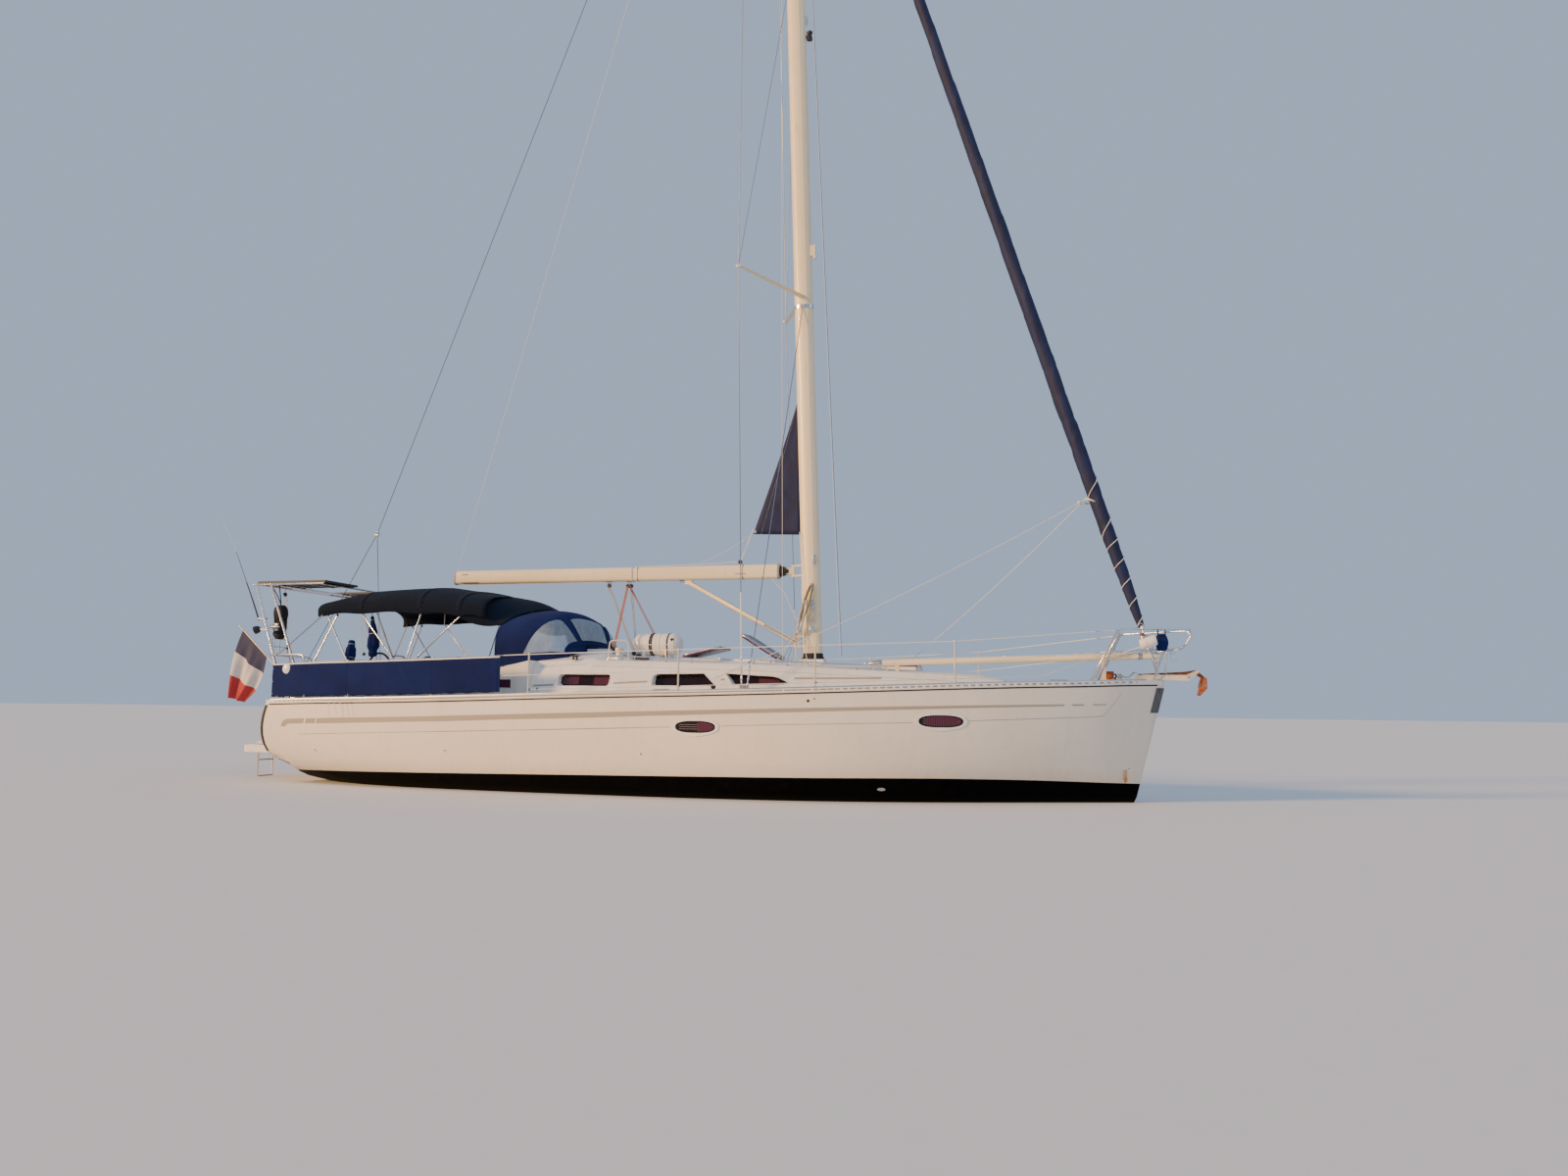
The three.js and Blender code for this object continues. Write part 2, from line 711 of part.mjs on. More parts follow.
// Spreaders: name, height at the root, height at the tip, half-span, tip x
const SPREADERS = [
  { name: "lower", rootZ: 7900, tipZ: 7990, half: 1370, tipX: 890 },
  { name: "upper", rootZ: 13900, tipZ: 13970, half: 1060, tipX: 790 },
];
const MASTHEAD = { craneX: 549, z: 21200 };
function mast() {
  const crane = sidePrism(
    [
      [MASTHEAD.craneX - 30, MASTHEAD.z - 20],
      [MASTHEAD.craneX + 40, MASTHEAD.z - 20],
      [mastX(21000) + 60, MASTHEAD.z - 180],
      [mastX(21000) + 240, MASTHEAD.z - 20],
      [mastX(21000) + 240, MASTHEAD.z + 30],
      [MASTHEAD.craneX - 30, MASTHEAD.z + 30],
    ],
    -28,
    28,
  );
  const deckLight = box(mastX(8670) + 140, mastX(8670) + 215, -45, 45, 8580, 8760);
  const lugs = [BOOM.z, VANG.footZ].flatMap((z) =>
    [-PIN.half - PIN.lug, PIN.half].map((low) =>
      alongMast(box(-30, mastX(z) - boomAxisX(z) - 120, -33, 33, low, low + PIN.lug), z),
    ),
  );
  const top = (dx, dz) => [mastX(MAST.topZ) + dx, 0, MAST.topZ + dz];
  const antenna = rod(top(180, 0), top(180, 750), 6, 6);
  const windArm = tube(bent([top(-60, 0), top(-60, 300), top(460, 420)], 80), 8, 6);
  return join(mastTube(), crane, deckLight, antenna, windArm, ...lugs);
}
// Pins of the gooseneck and the vang: half the clear height between lugs, and a lug's thickness
const PIN = { half: 65, lug: 28 };
const boomAxisX = (z) => BOOM.axisX + MAST.rake * (z - BOOM.z);
const alongMast = (body, z) =>
  solid(geometryOf(body).rotateY(Math.atan(MAST.rake)).translate(boomAxisX(z), 0, z));
const pinHalf = PIN.half - RUNNING_GAP;
const pinEnd = (share) => [MAST.rake * share * pinHalf, 0, share * pinHalf];
const VANG = { footZ: 2330, headX: -310 };
const mastBody = mast();
add("mast", mastBody, paintedAlloy);

const CHAINPLATE = { x: 1140, half: 1570 };
for (const [name, side] of SIDES) {
  for (const { name: level, rootZ, tipZ, half, tipX } of SPREADERS) {
    const section = (x, y, z, chord, depth) => [
      [x + chord / 2, side * y, z],
      [x, side * y, z - depth / 2],
      [x - chord / 2, side * y, z],
      [x, side * y, z + depth / 2],
    ];
    const spreader = loft([
      section(mastX(rootZ), 40, rootZ, 150, 44),
      section(tipX, half - 12, tipZ, 80, 30),
    ]);
    add("spreader_" + level + "_" + name, cut(spreader, mastTube(GAP)), paintedAlloy);
  }
  const [low, up] = SPREADERS;
  const foot = [CHAINPLATE.x, side * CHAINPLATE.half, deckZ(CHAINPLATE.x, CHAINPLATE.half) - SINK];
  const lowTip = [low.tipX, side * low.half, low.tipZ];
  const upTip = [up.tipX, side * up.half, up.tipZ];
  const mastSide = (z) => [mastX(z), side * (MAST.width / 2 + 6), z];
  const capFoot = [foot[0] - 30, foot[1], foot[2] + 30];
  const lowerFoot = [foot[0] + 40, foot[1] - side * 15, foot[2] + 30];
  const cap = join(
    tube([capFoot, lowTip, upTip, mastSide(MAST.topZ - 120)], 7, 6),
    tube([lowTip, mastSide(up.rootZ - 160)], 5, 6),
    box(foot[0] - 60, foot[0] + 5, foot[1] - 12, foot[1] + 12, foot[2], foot[2] + 90),
  );
  add("cap_shroud_" + name, onDeck(cut(cap, mastTube(GAP))), stainless);
  const plateY = foot[1] - side * 15;
  const lower = join(
    tube([lowerFoot, mastSide(low.rootZ - 170)], 7, 6),
    box(foot[0] + 10, foot[0] + 75, plateY - 12, plateY + 12, foot[2], foot[2] + 90),
  );
  add("lower_shroud_" + name, onDeck(cut(lower, mastTube(GAP))), stainless);
}

const BACKSTAY = { splitX: -6150, splitZ: 4260, footX: -6820, half: 1320 };
const splitPlate = box(
  BACKSTAY.splitX - 30,
  BACKSTAY.splitX + 30,
  -30,
  30,
  BACKSTAY.splitZ - 25,
  BACKSTAY.splitZ + 25,
);
const splitPoint = [BACKSTAY.splitX, 0, BACKSTAY.splitZ];
const bridleFootZ = deckZ(BACKSTAY.footX, BACKSTAY.half) - SINK;
const backstay = join(
  splitPlate,
  tube([[MASTHEAD.craneX, 0, MASTHEAD.z - 23], splitPoint], 7, 6),
  ...SIDES.map(([, side]) =>
    tube([splitPoint, [BACKSTAY.footX, side * BACKSTAY.half, bridleFootZ]], 6, 6),
  ),
);
add("backstay", onDeck(backstay), stainless);

// Forestay, furler drum and the rolled headsail
const ROLLER_BASE_Z = 1790;
const FOIL_RADIUS = 12;
const stayFoot = [FORESTAY.footX, 0, FORESTAY.footZ];
const stayHead = [FORESTAY.hankX - 20, 0, FORESTAY.hankZ + 60];
const stayLength = distance(stayFoot, stayHead);
const headstay = cut(
  turned(
    [
      [0, -80], [16, -80], [16, 250], [70, 262], [95, 300], [95, 330], [60, 350], [60, 500],
      [95, 520], [95, 550], [30, 575], [FOIL_RADIUS, 620], [FOIL_RADIUS, stayLength], [0, stayLength],
    ],
    stayFoot,
    stayHead,
    12,
  ),
  mastTube(GAP),
  box(6700, 7100, -60, 60, 1600, ROLLER_BASE_Z + GAP),
);
add("forestay", headstay, stainless);
const core = FOIL_RADIUS + GAP;
add(
  "headsail_roll",
  turned(
    [
      [core, 660], [45, 680], [75, 1100], [105, 2200], [112, 4200], [104, 8000], [84, 12500],
      [52, 16200], [30, 17300], [core, 17400], [core, 660],
    ],
    stayFoot,
    stayHead,
    12,
  ),
  sailcloth,
);

// Boom and its vang, turning about the gooseneck
const boomGroup = groupAt(BOOM.axisX, 0, BOOM.z);
function boom() {
  const [x0, x1] = [BOOM.aftX - BOOM.axisX, BOOM.foreX - BOOM.axisX];
  const [halfWidth, halfDepth] = [BOOM.width / 2, BOOM.depth / 2];
  const spar = crossPrism(roundedRect(-halfWidth, halfWidth, -halfDepth, halfDepth, 50), x0, x1);
  const toggle = join(
    box(x1 - 40, 12, -28, 28, -52, 52),
    rod(pinEnd(-1), pinEnd(1), 26, 12),
  );
  return join(spar, toggle);
}
add("boom", boom(), paintedAlloy, boomGroup);

function vang() {
  const foot = [boomAxisX(VANG.footZ) - BOOM.axisX, 0, VANG.footZ - BOOM.z];
  const head = [VANG.headX - BOOM.axisX, 0, -BOOM.depth / 2 - 34];
  const direction = new THREE.Vector3(...head).sub(new THREE.Vector3(...foot)).normalize();
  const along = (d) => new THREE.Vector3(...foot).addScaledVector(direction, d).toArray();
  const length = distance(foot, head);
  return join(
    rod(
      ...[-1, 1].map((end) => {
        const [x, y, z] = pinEnd(end);
        return [foot[0] + x, y, foot[2] + z];
      }),
      24,
      12,
    ),
    rod(foot, along(length * 0.3), 28, 10),
    rod(along(length * 0.28), head, 38, 10),
    box(head[0] - 60, head[0] + 60, -24, 24, head[2] - 30, -BOOM.depth / 2 - GAP),
  );
}
add("boom_vang", vang(), paintedAlloy, boomGroup);

// The mainsail's clew, which stands out of the mast's slot
const clewLuff = (z) => mastX(z) - MAST.chord / 2 + 20;
const clewOutline = [[clewLuff(6190), 6190], [790, 4120], [760, 4060], [clewLuff(4030), 4030]];
add("mainsail_clew", cut(sidePrism(clewOutline, -5, 5), mastTube(GAP)), sailcloth);

// Bow: roller, anchor, pulpit and spinnaker pole
const bowWheel = (grow) => rod([7330, -60, 1800], [7330, 60, 1800], 32 + grow, 12);
function bowRoller() {
  const cheek = sidePrism(
    [[6560, 1800], [6600, 1770], [7330, 1745], [7480, 1880], [7440, 1900], [7300, 1830], [6700, 1835]],
    -62,
    62,
  );
  const channel = sidePrism(
    [[6600, 1785], [7600, 1765], [7600, 2000], [6500, 2000], [6500, 1850]],
    -50,
    50,
  );
  const roller = bowWheel(0);
  const base = box(6560, 6880, -62, 62, 1700, ROLLER_BASE_Z);
  const tongue = box(6870, 6945, -20, 20, 1700, ROLLER_BASE_Z);
  return onDeck(join(cut(cheek, channel), base, tongue, roller));
}
add("bow_roller", bowRoller(), stainless);

function anchor() {
  const shank = sidePrism(
    [
      [6640, 1800], [6900, 1828], [7280, 1826], [7420, 1842], [7540, 1760],
      [7575, 1780], [7440, 1905], [7280, 1880], [6640, 1845],
    ],
    22,
    44,
  );
  const fluke = loft([
    [[7500, -20, 1800], [7580, -20, 1790], [7580, 20, 1790], [7500, 20, 1800]],
    [[7470, -150, 1650], [7570, -190, 1640], [7570, 190, 1640], [7470, 150, 1650]],
    [[7440, -60, 1545], [7480, -70, 1535], [7480, 70, 1535], [7440, 60, 1545]],
  ]);
  return cut(join(shank, fluke), bowWheel(GAP));
}
add("anchor", anchor(), rusty);

const PULPIT = { z: 2460, lowZ: 2140 };
for (const [name, side] of SIDES) {
  const at = (x, y, z) => [x, side * y, z];
  const foot = (x, y) => at(x, y, deckZ(x, y) - SINK);
  const bend = [
    foot(5960, 700),
    at(6370, 655, PULPIT.z),
    at(7400, 170, PULPIT.z + 20),
    at(7290, 170, 2212),
    at(6130, 620, 2125),
  ];
  const frame = tube(bent(bend, 110), 13, 8);
  const legs = [
    tube([foot(6060, 640), at(6410, 630, PULPIT.z - 5)], 13, 8),
    tube([foot(6840, 85), at(7000, 285, 2190)], 12, 8),
  ];
  add("pulpit_" + name, onDeck(join(frame, ...legs)), stainless);
}

const poleChocks = [
  box(3180, 3240, -600, -560, 1842, 1990),
  box(6130, 6190, -455, -415, deckZ(6160, 435) - SINK, 2080),
];
const pole = join(
  ...poleChocks,
  turned(
    [[0, 0], [30, 10], [34, 90], [46, 150], [46, 4030], [34, 4090], [30, 4170], [0, 4180]],
    [2790, -600, 1967],
    [6820, -400, 2085],
    12,
  ),
);
add("spinnaker_pole", onRoof(onDeck(pole)), paintedAlloy);

// Guard rails: stanchions along the deck edge, with two wires each side
const STANCHIONS = [4180, 2300, 330, -2040, -3700, -5300];
const STANCHION_HEIGHT = 625;
const railY = (x) => station(x).beam - 62;
for (const [name, side] of SIDES) {
  const foot = (x) => [x, side * railY(x), deckZ(x, railY(x)) - SINK];
  const head = (x, share = 1) => [x, side * railY(x), deckZ(x, railY(x)) + share * STANCHION_HEIGHT];
  const posts = STANCHIONS.flatMap((x) => [
    tube([foot(x), head(x)], 13, 6),
    rod(foot(x), [foot(x)[0], foot(x)[1], foot(x)[2] + 60], 24, 8),
  ]);
  const wire = (share, bow) =>
    tube([bow, ...STANCHIONS.map((x) => head(x, share)), head(-6150, share)], 4, 4);
  const wires = [
    wire(0.985, [6372 - 14, side * 655, PULPIT.z - 20]),
    wire(0.5, [6130 - 40, side * 640, 2125]),
  ];
  add("guard_rail_" + name, onDeck(join(...posts, ...wires)), stainless);
}

// Stern: pushpit, arch with solar panels, canvas on the rails
for (const [name, side] of SIDES) {
  const z = 2060;
  const at = (x, y, h) => [x, side * y, h];
  const foot = (x, y) => at(x, y, deckZ(x, y) - SINK);
  const foreY = railY(-6200);
  const bend = [
    foot(-6200, foreY),
    at(-6200, foreY, z),
    at(-7040, 1545, z),
    at(-7040, 420, z),
    foot(-6890, 400),
  ];
  const rail = tube(bent(bend, 120), 13, 8);
  const mid = tube(bent([at(-6200, foreY, 1720), at(-6985, 1555, 1720), at(-6985, 410, 1720)], 110), 10, 6);
  const post = tube([foot(-6890, 1000), at(-7040, 1000, z)], 12, 6);
  add("pushpit_" + name, onDeck(join(rail, mid, post)), stainless);
}

const ARCH = { half: 1400, z: 3240, foreX: -7160, aftX: -7440, footHalf: 1470 };
const motorBracket = (grow) =>
  box(-7110 - grow, -7030 + grow, -1425, -1290 + grow, 2500 - grow, 2560 + grow);
function archFrame() {
  const sides = SIDES.flatMap(([, side]) => {
    const foot = (x) => [x, side * ARCH.footHalf, deckZ(x, ARCH.footHalf) - SINK];
    return [
      tube([foot(-6330), [ARCH.foreX, side * ARCH.half, ARCH.z]], 20, 8),
      tube([foot(-6720), [ARCH.aftX, side * ARCH.half, ARCH.z]], 20, 8),
      tube([[-6930, side * 1425, 2530], [-7160, side * 1425, 2530]], 14, 6),
      tube([[ARCH.aftX - 60, side * ARCH.half, ARCH.z], [-6150, side * ARCH.half, ARCH.z]], 18, 8),
    ];
  });
  const bars = [ARCH.aftX, ARCH.foreX, -6200].map((x) =>
    tube([[x, -ARCH.half, ARCH.z], [x, ARCH.half, ARCH.z]], 18, 8),
  );
  return onDeck(join(...sides, ...bars, motorBracket(0)));
}
add("stern_arch", archFrame(), stainless);
for (const [name, side] of SIDES)
  add(
    "solar_panel_" + name,
    box(-7430, -6120, side > 0 ? 520 : -1385, side > 0 ? 1385 : -520, ARCH.z + 18 + GAP, ARCH.z + 53),
    acrylic,
  );

// Outboard motor under its black cover, hung inside the arch
// height, half-length along X, half-width along Y
const MOTOR_ROWS = [
  [2330, 60, 55],
  [2400, 110, 90],
  [2600, 105, 95],
  [2780, 120, 105],
  [2900, 80, 70],
];
const motorSides = 10;
const motorShape = loft(
  MOTOR_ROWS.map(([z, a, b]) =>
    Array.from({ length: motorSides }, (_, i) => {
      const angle = (2 * Math.PI * (i + 0.5)) / motorSides;
      return [-7070 + a * Math.cos(angle), -1230 + b * Math.sin(angle), z];
    }),
  ),
);
add("outboard_cover", cut(motorShape, motorBracket(GAP)), canvas);

for (const [name, side] of SIDES) {
  const [aft, fore] = [-6840, -2520];
  const stops = [aft, ...STATIONS.map(([x]) => x).filter((x) => x > aft && x < fore), fore];
  const cloth = loft(
    stops.map((x) => {
      const y = railY(x) + 13 + GAP + 6;
      const z0 = station(x).joint + TOE_RAIL.height + 35;
      const z1 = deckZ(x, y) + STANCHION_HEIGHT - 30;
      return [
        [x, side * (y - 6), z0],
        [x, side * (y + 6), z0],
        [x, side * (y + 6), z1],
        [x, side * (y - 6), z1],
      ];
    }),
  );
  add("weather_cloth_" + name, cloth, canvas);
}

// Bimini and sprayhood: cloth shells and their bows
// x, crown z, half-width, edge z
const BIMINI = [
  [-6350, 3040, 1230, 2700],
  [-5500, 3210, 1270, 2740],
  [-4400, 3255, 1300, 2720],
  [-3700, 3170, 1290, 2680],
  [-3250, 3085, 1260, 2650],
];
const archRow = (x, crown, half, edge, inset, drop = 0) => {
  const points = [
    [-half + inset, edge - drop],
    [-half + inset, edge + 0.45 * (crown - edge)],
    [-0.8 * half, edge + 0.8 * (crown - edge) - inset],
    [-0.4 * half, edge + 0.96 * (crown - edge) - inset],
    [0, crown - inset],
  ];
  return [...points, ...points.slice(0, -1).reverse().map(([y, z]) => [-y, z])].map(([y, z]) => [x, y, z]);
};
const CLOTH = 22; // thickness of a canopy solid
function canopy(rows, openAft, openFore) {
  const last = rows.length - 1;
  const inner = rows.map(([x, crown, half, edge], i) => {
    let px = x;
    if (i === 0) px += openAft ? -50 : CLOTH;
    if (i === last) px += openFore ? 50 : -CLOTH;
    return archRow(px, crown, half, edge, CLOTH, 60);
  });
  return cut(loft(rows.map(([x, crown, half, edge]) => archRow(x, crown, half, edge, 0))), loft(inner));
}

const HOOD = [
  [-3010, 2830, 1330, 1880],
  [-2500, 2860, 1310, 1960],
  [-2120, 2740, 1220, 1985],
  [-1900, 2300, 1100, 2005],
];
function hoop([x, crown, half, edge], foot, radius) {
  const row = archRow(x, crown, half, edge, CLOTH + 8);
  const [footX, footY, footZ] = foot;
  return tube([[footX, -footY, footZ], ...row, [footX, footY, footZ]], radius, 6);
}
// A bow's pivot: a short post on the coaming each side
const pivotHeight = 45;
const pivots = ([x, y, z], radius) =>
  [-1, 1].map((side) => rod([x, side * y, z - pivotHeight - SINK], [x, side * y, z + 14], radius + 6, 8));
const BOW_TUBE = 12;
const onCockpit = (body) => cut(body, lifted(cockpitBody));
function biminiFrame(radius) {
  const foot = [-4700, 1262, coamingTop(-4700) + pivotHeight];
  const bows = BIMINI.slice(1, 4).map((row) => hoop(row, foot, radius));
  return join(...bows, ...pivots(foot, radius));
}
add("bimini_frame", onCockpit(biminiFrame(BOW_TUBE)), stainless);
add("bimini_canopy", cut(canopy(BIMINI, true, true), biminiFrame(BOW_TUBE + 2 * GAP)), canvas);

function hoodFrame(radius) {
  const foot = [-2700, 1280, coamingTop(-2700) + pivotHeight];
  const bows = HOOD.slice(0, 2).map((row) => hoop(row, foot, radius));
  return join(...bows, ...pivots(foot, radius));
}
const hoodClear = box(-2300, -1250, -398, 398, 1900, HATCH_RAIL_Z + 36);
const hoodCloth = cut(canopy(HOOD, true, false), hoodFrame(BOW_TUBE + 2 * GAP), hoodClear, roofSkin(0, GAP));
add("sprayhood_frame", onCockpit(onRoof(hoodFrame(BOW_TUBE))), stainless);
add("sprayhood", onCockpit(onRoof(hoodCloth)), canvas);

// Swim platform and boarding ladder
const LADDER = {
  x: PLATFORM.hingeX - PLATFORM.length - 32,
  z: PLATFORM.hingeZ + 116,
  half: 190,
  length: 1000,
  tube: 13,
};
const platformGroup = groupAt(PLATFORM.hingeX, 0, PLATFORM.hingeZ);
function platform() {
  const knuckle = 45 - RUNNING_GAP;
  const { length, halfWidth, thickness } = PLATFORM;
  const slab = planPrism(roundedRect(-length, -45, -halfWidth, halfWidth, 90), -30, -30 + thickness);
  const knuckles = [-1, 1].flatMap((side) => [
    rod([0, side * 500 - knuckle, 0], [0, side * 500 + knuckle, 0], 26, 12),
    box(-90, 0, side * 500 - knuckle, side * 500 + knuckle, -24, 24),
  ]);
  const [pinX, pinZ] = [LADDER.x - PLATFORM.hingeX, LADDER.z - PLATFORM.hingeZ];
  const pinHole = rod([pinX, -400, pinZ], [pinX, 400, pinZ], LADDER.tube + RUNNING_GAP, 16);
  const ladderLugs = [-218, 218].map((y) => box(pinX - 28, pinX + 90, y - 8, y + 8, 60, pinZ + 28));
  return cut(join(slab, ...knuckles, ...ladderLugs), pinHole);
}
add("swim_platform", platform(), gelcoat, platformGroup);

function ladder() {
  const rails = [-1, 1].map((side) =>
    tube([[0, side * LADDER.half, 0], [0, side * LADDER.half, -LADDER.length]], LADDER.tube, 8),
  );
  const treads = [0.3, 0.58, 0.86].map((share) =>
    box(-20, 20, -LADDER.half, LADDER.half, -share * LADDER.length - 8, -share * LADDER.length + 8),
  );
  const bar = rod([0, -LADDER.half - 42, 0], [0, LADDER.half + 42, 0], LADDER.tube, 8);
  return join(...rails, ...treads, bar);
}
add("boarding_ladder", ladder(), stainless, groupAt(LADDER.x, 0, LADDER.z));

// Hatch lids, standing as they were left
for (const { name, hingeX, length, half, angle } of HATCHES) {
  const group = groupAt(hingeX, 0, hatchSeat({ hingeX, length }) + LID.rise);
  group.rotation.y = (-Math.sign(length) * angle * Math.PI) / 180;
  const [x0, x1] = [Math.min(0, length), Math.max(0, length)];
  const slots = hatchKnuckles(half, RUNNING_GAP).map(([y0, y1]) => box(-40, 40, y0, y1, -40, 40));
  const lid = planPrism(roundedRect(x0, x1, -half, half, 60), GAP - LID.half, LID.half);
  add(name, cut(lid, slots), acrylic, group);
}
add(
  "companionway_hatch",
  box(-2230, COMPANIONWAY.foreX + 60, -390, 390, HATCH_RAIL_Z + GAP, HATCH_RAIL_Z + 28),
  acrylic,
);

// Life raft in its canister on the coachroof
function raft() {
  const canister = turned(
    [[0, 0], [110, 0], [165, 50], [180, 130], [180, 650], [165, 740], [110, 790], [0, 790]],
    [-1210, 0, 2295],
    [-420, 0, 2295],
    14,
  );
  const cradle = [-1010, -610].map((x) => box(x - 25, x + 25, -150, 150, 2035, 2200));
  return onRoof(join(canister, ...cradle));
}
add("life_raft", raft(), gelcoat);

// Halyard winches on the coachroof, each under a hoop guard
const WINCH = { x: -1090, y: 930, baseRadius: 75, height: 175 };
for (const [name, side] of SIDES) {
  const z = 1988;
  const at = (x, h) => [x, side * WINCH.y, z + h];
  const drum = turned(
    [[0, 0], [75, 0], [75, 60], [48, 85], [44, 140], [66, 165], [66, 195], [30, 215], [0, 215]],
    at(WINCH.x, 0),
    at(WINCH.x, 1),
    12,
  );
  const guard = tube(bent([at(-1270, 0), at(-1255, 320), at(-940, 320), at(-925, 0)], 70), 11, 6);
  const plinth = box(-1290, -905, side * WINCH.y - 25, side * WINCH.y + 25, z, z + 52);
  add("halyard_winch_" + name, onRoof(join(drum, guard, plinth)), stainless);
}

// Ensign staff, socketed behind the pushpit's lower rail, and the ensign hanging from it
const STAFF = { y: -1150, foot: [-7003, 1736], head: [-7930, 2560], radius: 13 };
const staffPoint = ([x, z]) => [x, STAFF.y, z];
const staff = (grow) => tube([staffPoint(STAFF.foot), staffPoint(STAFF.head)], STAFF.radius + grow, 8);
const clamp = box(-7030, -6965, STAFF.y - 20, STAFF.y + 20, 1695, 1760);
const lowerRail = rod([-6985, STAFF.y - 40, 1720], [-6985, STAFF.y + 40, 1720], 10 + 2 * GAP, 12);
add("ensign_staff", cut(join(staff(0), clamp), lowerRail), teak);
add(
  "ensign",
  cut(
    sidePrism(
      [[-7350, 2044], [-7870, 2507], [-8050, 1950], [-8060, 1260], [-7780, 1270], [-7480, 1560]],
      STAFF.y - 6,
      STAFF.y + 6,
    ),
    staff(GAP),
  ),
  finish(0x2a4a8c, 0.9),
);

export default yacht;
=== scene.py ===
"""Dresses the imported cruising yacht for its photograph: finishes, canvas, ropes, deck gear and the stage."""

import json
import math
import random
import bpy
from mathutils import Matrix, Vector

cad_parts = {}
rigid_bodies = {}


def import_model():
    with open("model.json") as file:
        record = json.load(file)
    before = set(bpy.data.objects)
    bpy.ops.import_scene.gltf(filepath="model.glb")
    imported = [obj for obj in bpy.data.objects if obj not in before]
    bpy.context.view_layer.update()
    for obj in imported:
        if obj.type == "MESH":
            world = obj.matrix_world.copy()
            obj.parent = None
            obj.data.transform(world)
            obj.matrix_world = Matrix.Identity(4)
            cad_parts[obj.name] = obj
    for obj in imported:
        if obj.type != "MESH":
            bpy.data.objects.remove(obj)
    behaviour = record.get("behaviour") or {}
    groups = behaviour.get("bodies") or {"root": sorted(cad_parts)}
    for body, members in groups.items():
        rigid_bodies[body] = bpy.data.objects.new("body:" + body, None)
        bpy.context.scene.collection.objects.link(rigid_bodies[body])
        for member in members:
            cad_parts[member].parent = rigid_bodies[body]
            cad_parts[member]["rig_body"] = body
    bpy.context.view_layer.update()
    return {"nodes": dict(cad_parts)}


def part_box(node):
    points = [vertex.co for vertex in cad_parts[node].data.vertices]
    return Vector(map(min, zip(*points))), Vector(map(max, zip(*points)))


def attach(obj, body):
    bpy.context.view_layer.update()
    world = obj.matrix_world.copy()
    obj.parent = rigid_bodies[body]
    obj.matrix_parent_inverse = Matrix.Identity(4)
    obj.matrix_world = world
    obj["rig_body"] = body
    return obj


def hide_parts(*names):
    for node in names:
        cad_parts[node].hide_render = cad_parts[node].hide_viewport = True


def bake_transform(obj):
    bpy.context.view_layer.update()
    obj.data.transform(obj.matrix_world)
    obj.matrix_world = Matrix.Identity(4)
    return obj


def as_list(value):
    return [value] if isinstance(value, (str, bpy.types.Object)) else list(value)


bl_info = {
    "name": "Cruising yacht",
    "version": (1, 0, 0),
    "blender": (4, 5, 0),
    "location": "View3D > Sidebar > Yacht",
    "description": "Builds the looks of a cruising yacht round its packed solids",
    "category": "Add Mesh",
}

import bmesh
import bpy
from mathutils import Matrix, Vector
from mathutils.bvhtree import BVHTree

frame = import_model()
NODES = frame["nodes"]
SIDES = (("starboard", -1), ("port", 1))
UP, DOWN, AHEAD, ASTERN = (0, 0, 1), (0, 0, -1), (1, 0, 0), (-1, 0, 0)
TO_PORT, TO_STARBOARD = (0, 1, 0), (0, -1, 0)


# Colours and shader nodes


def linear(code, alpha=1.0):
    """An sRGB hex colour as the linear values that shaders take."""
    parts = [int(code[i : i + 2], 16) / 255 for i in (0, 2, 4)]
    return tuple(p / 12.92 if p <= 0.04045 else ((p + 0.055) / 1.055) ** 2.4 for p in parts) + (alpha,)


def node(tree, kind, links=None, stops=None, **settings):
    """Adds a node. Links give its inputs by name or number: a value, a node, or (node, output)."""
    made = tree.nodes.new(kind)
    for name, value in settings.items():
        setattr(made, name, value)
    if stops:
        elements = made.color_ramp.elements
        while len(elements) < len(stops):
            elements.new(0.5)
        for element, (place, code) in zip(elements, stops):
            element.position = place
            element.color = code if isinstance(code, tuple) else linear(code)
    for name, value in (links or {}).items():
        socket = made.inputs[name] if isinstance(name, int) else None
        socket = socket or next(s for s in made.inputs if s.enabled and s.name == name)
        if isinstance(value, bpy.types.Node):
            tree.links.new(next(s for s in value.outputs if s.enabled), socket)
        elif isinstance(value, tuple) and isinstance(value[0], bpy.types.Node):
            tree.links.new(value[0].outputs[value[1]], socket)
        else:
            socket.default_value = value
    return made


MATH, MIX, RAMP, RANGE = "ShaderNodeMath", "ShaderNodeMix", "ShaderNodeValToRGB", "ShaderNodeMapRange"
NOISE, CELLS, WAVES = "ShaderNodeTexNoise", "ShaderNodeTexVoronoi", "ShaderNodeTexWave"
BUMP = "ShaderNodeBump"
MAPPING = "ShaderNodeMapping"


def material(name, build, **shader):
    """A material whose build function gets its tree and object coordinates and returns linked sockets."""
    made = bpy.data.materials.new(name)
    made.use_nodes = True
    tree = made.node_tree
    bsdf = tree.nodes["Principled BSDF"]
    for socket, value in shader.items():
        bsdf.inputs[socket.replace("_", " ")].default_value = value
    place = (node(tree, "ShaderNodeTexCoord"), "Object")
    for socket, source in build(tree, place).items():
        tree.links.new(next(s for s in source.outputs if s.enabled), bsdf.inputs[socket])
    return made


# Shapes


def turns(count):
    """Angles in equal steps round a circle."""
    return [2 * math.pi * k / count for k in range(count)]


def disc(radius, low, high, hole=0):
    """A lathe profile with flat ends, and a hole if it has one."""
    return [(hole, low), (radius, low), (radius, high), (hole, high)]


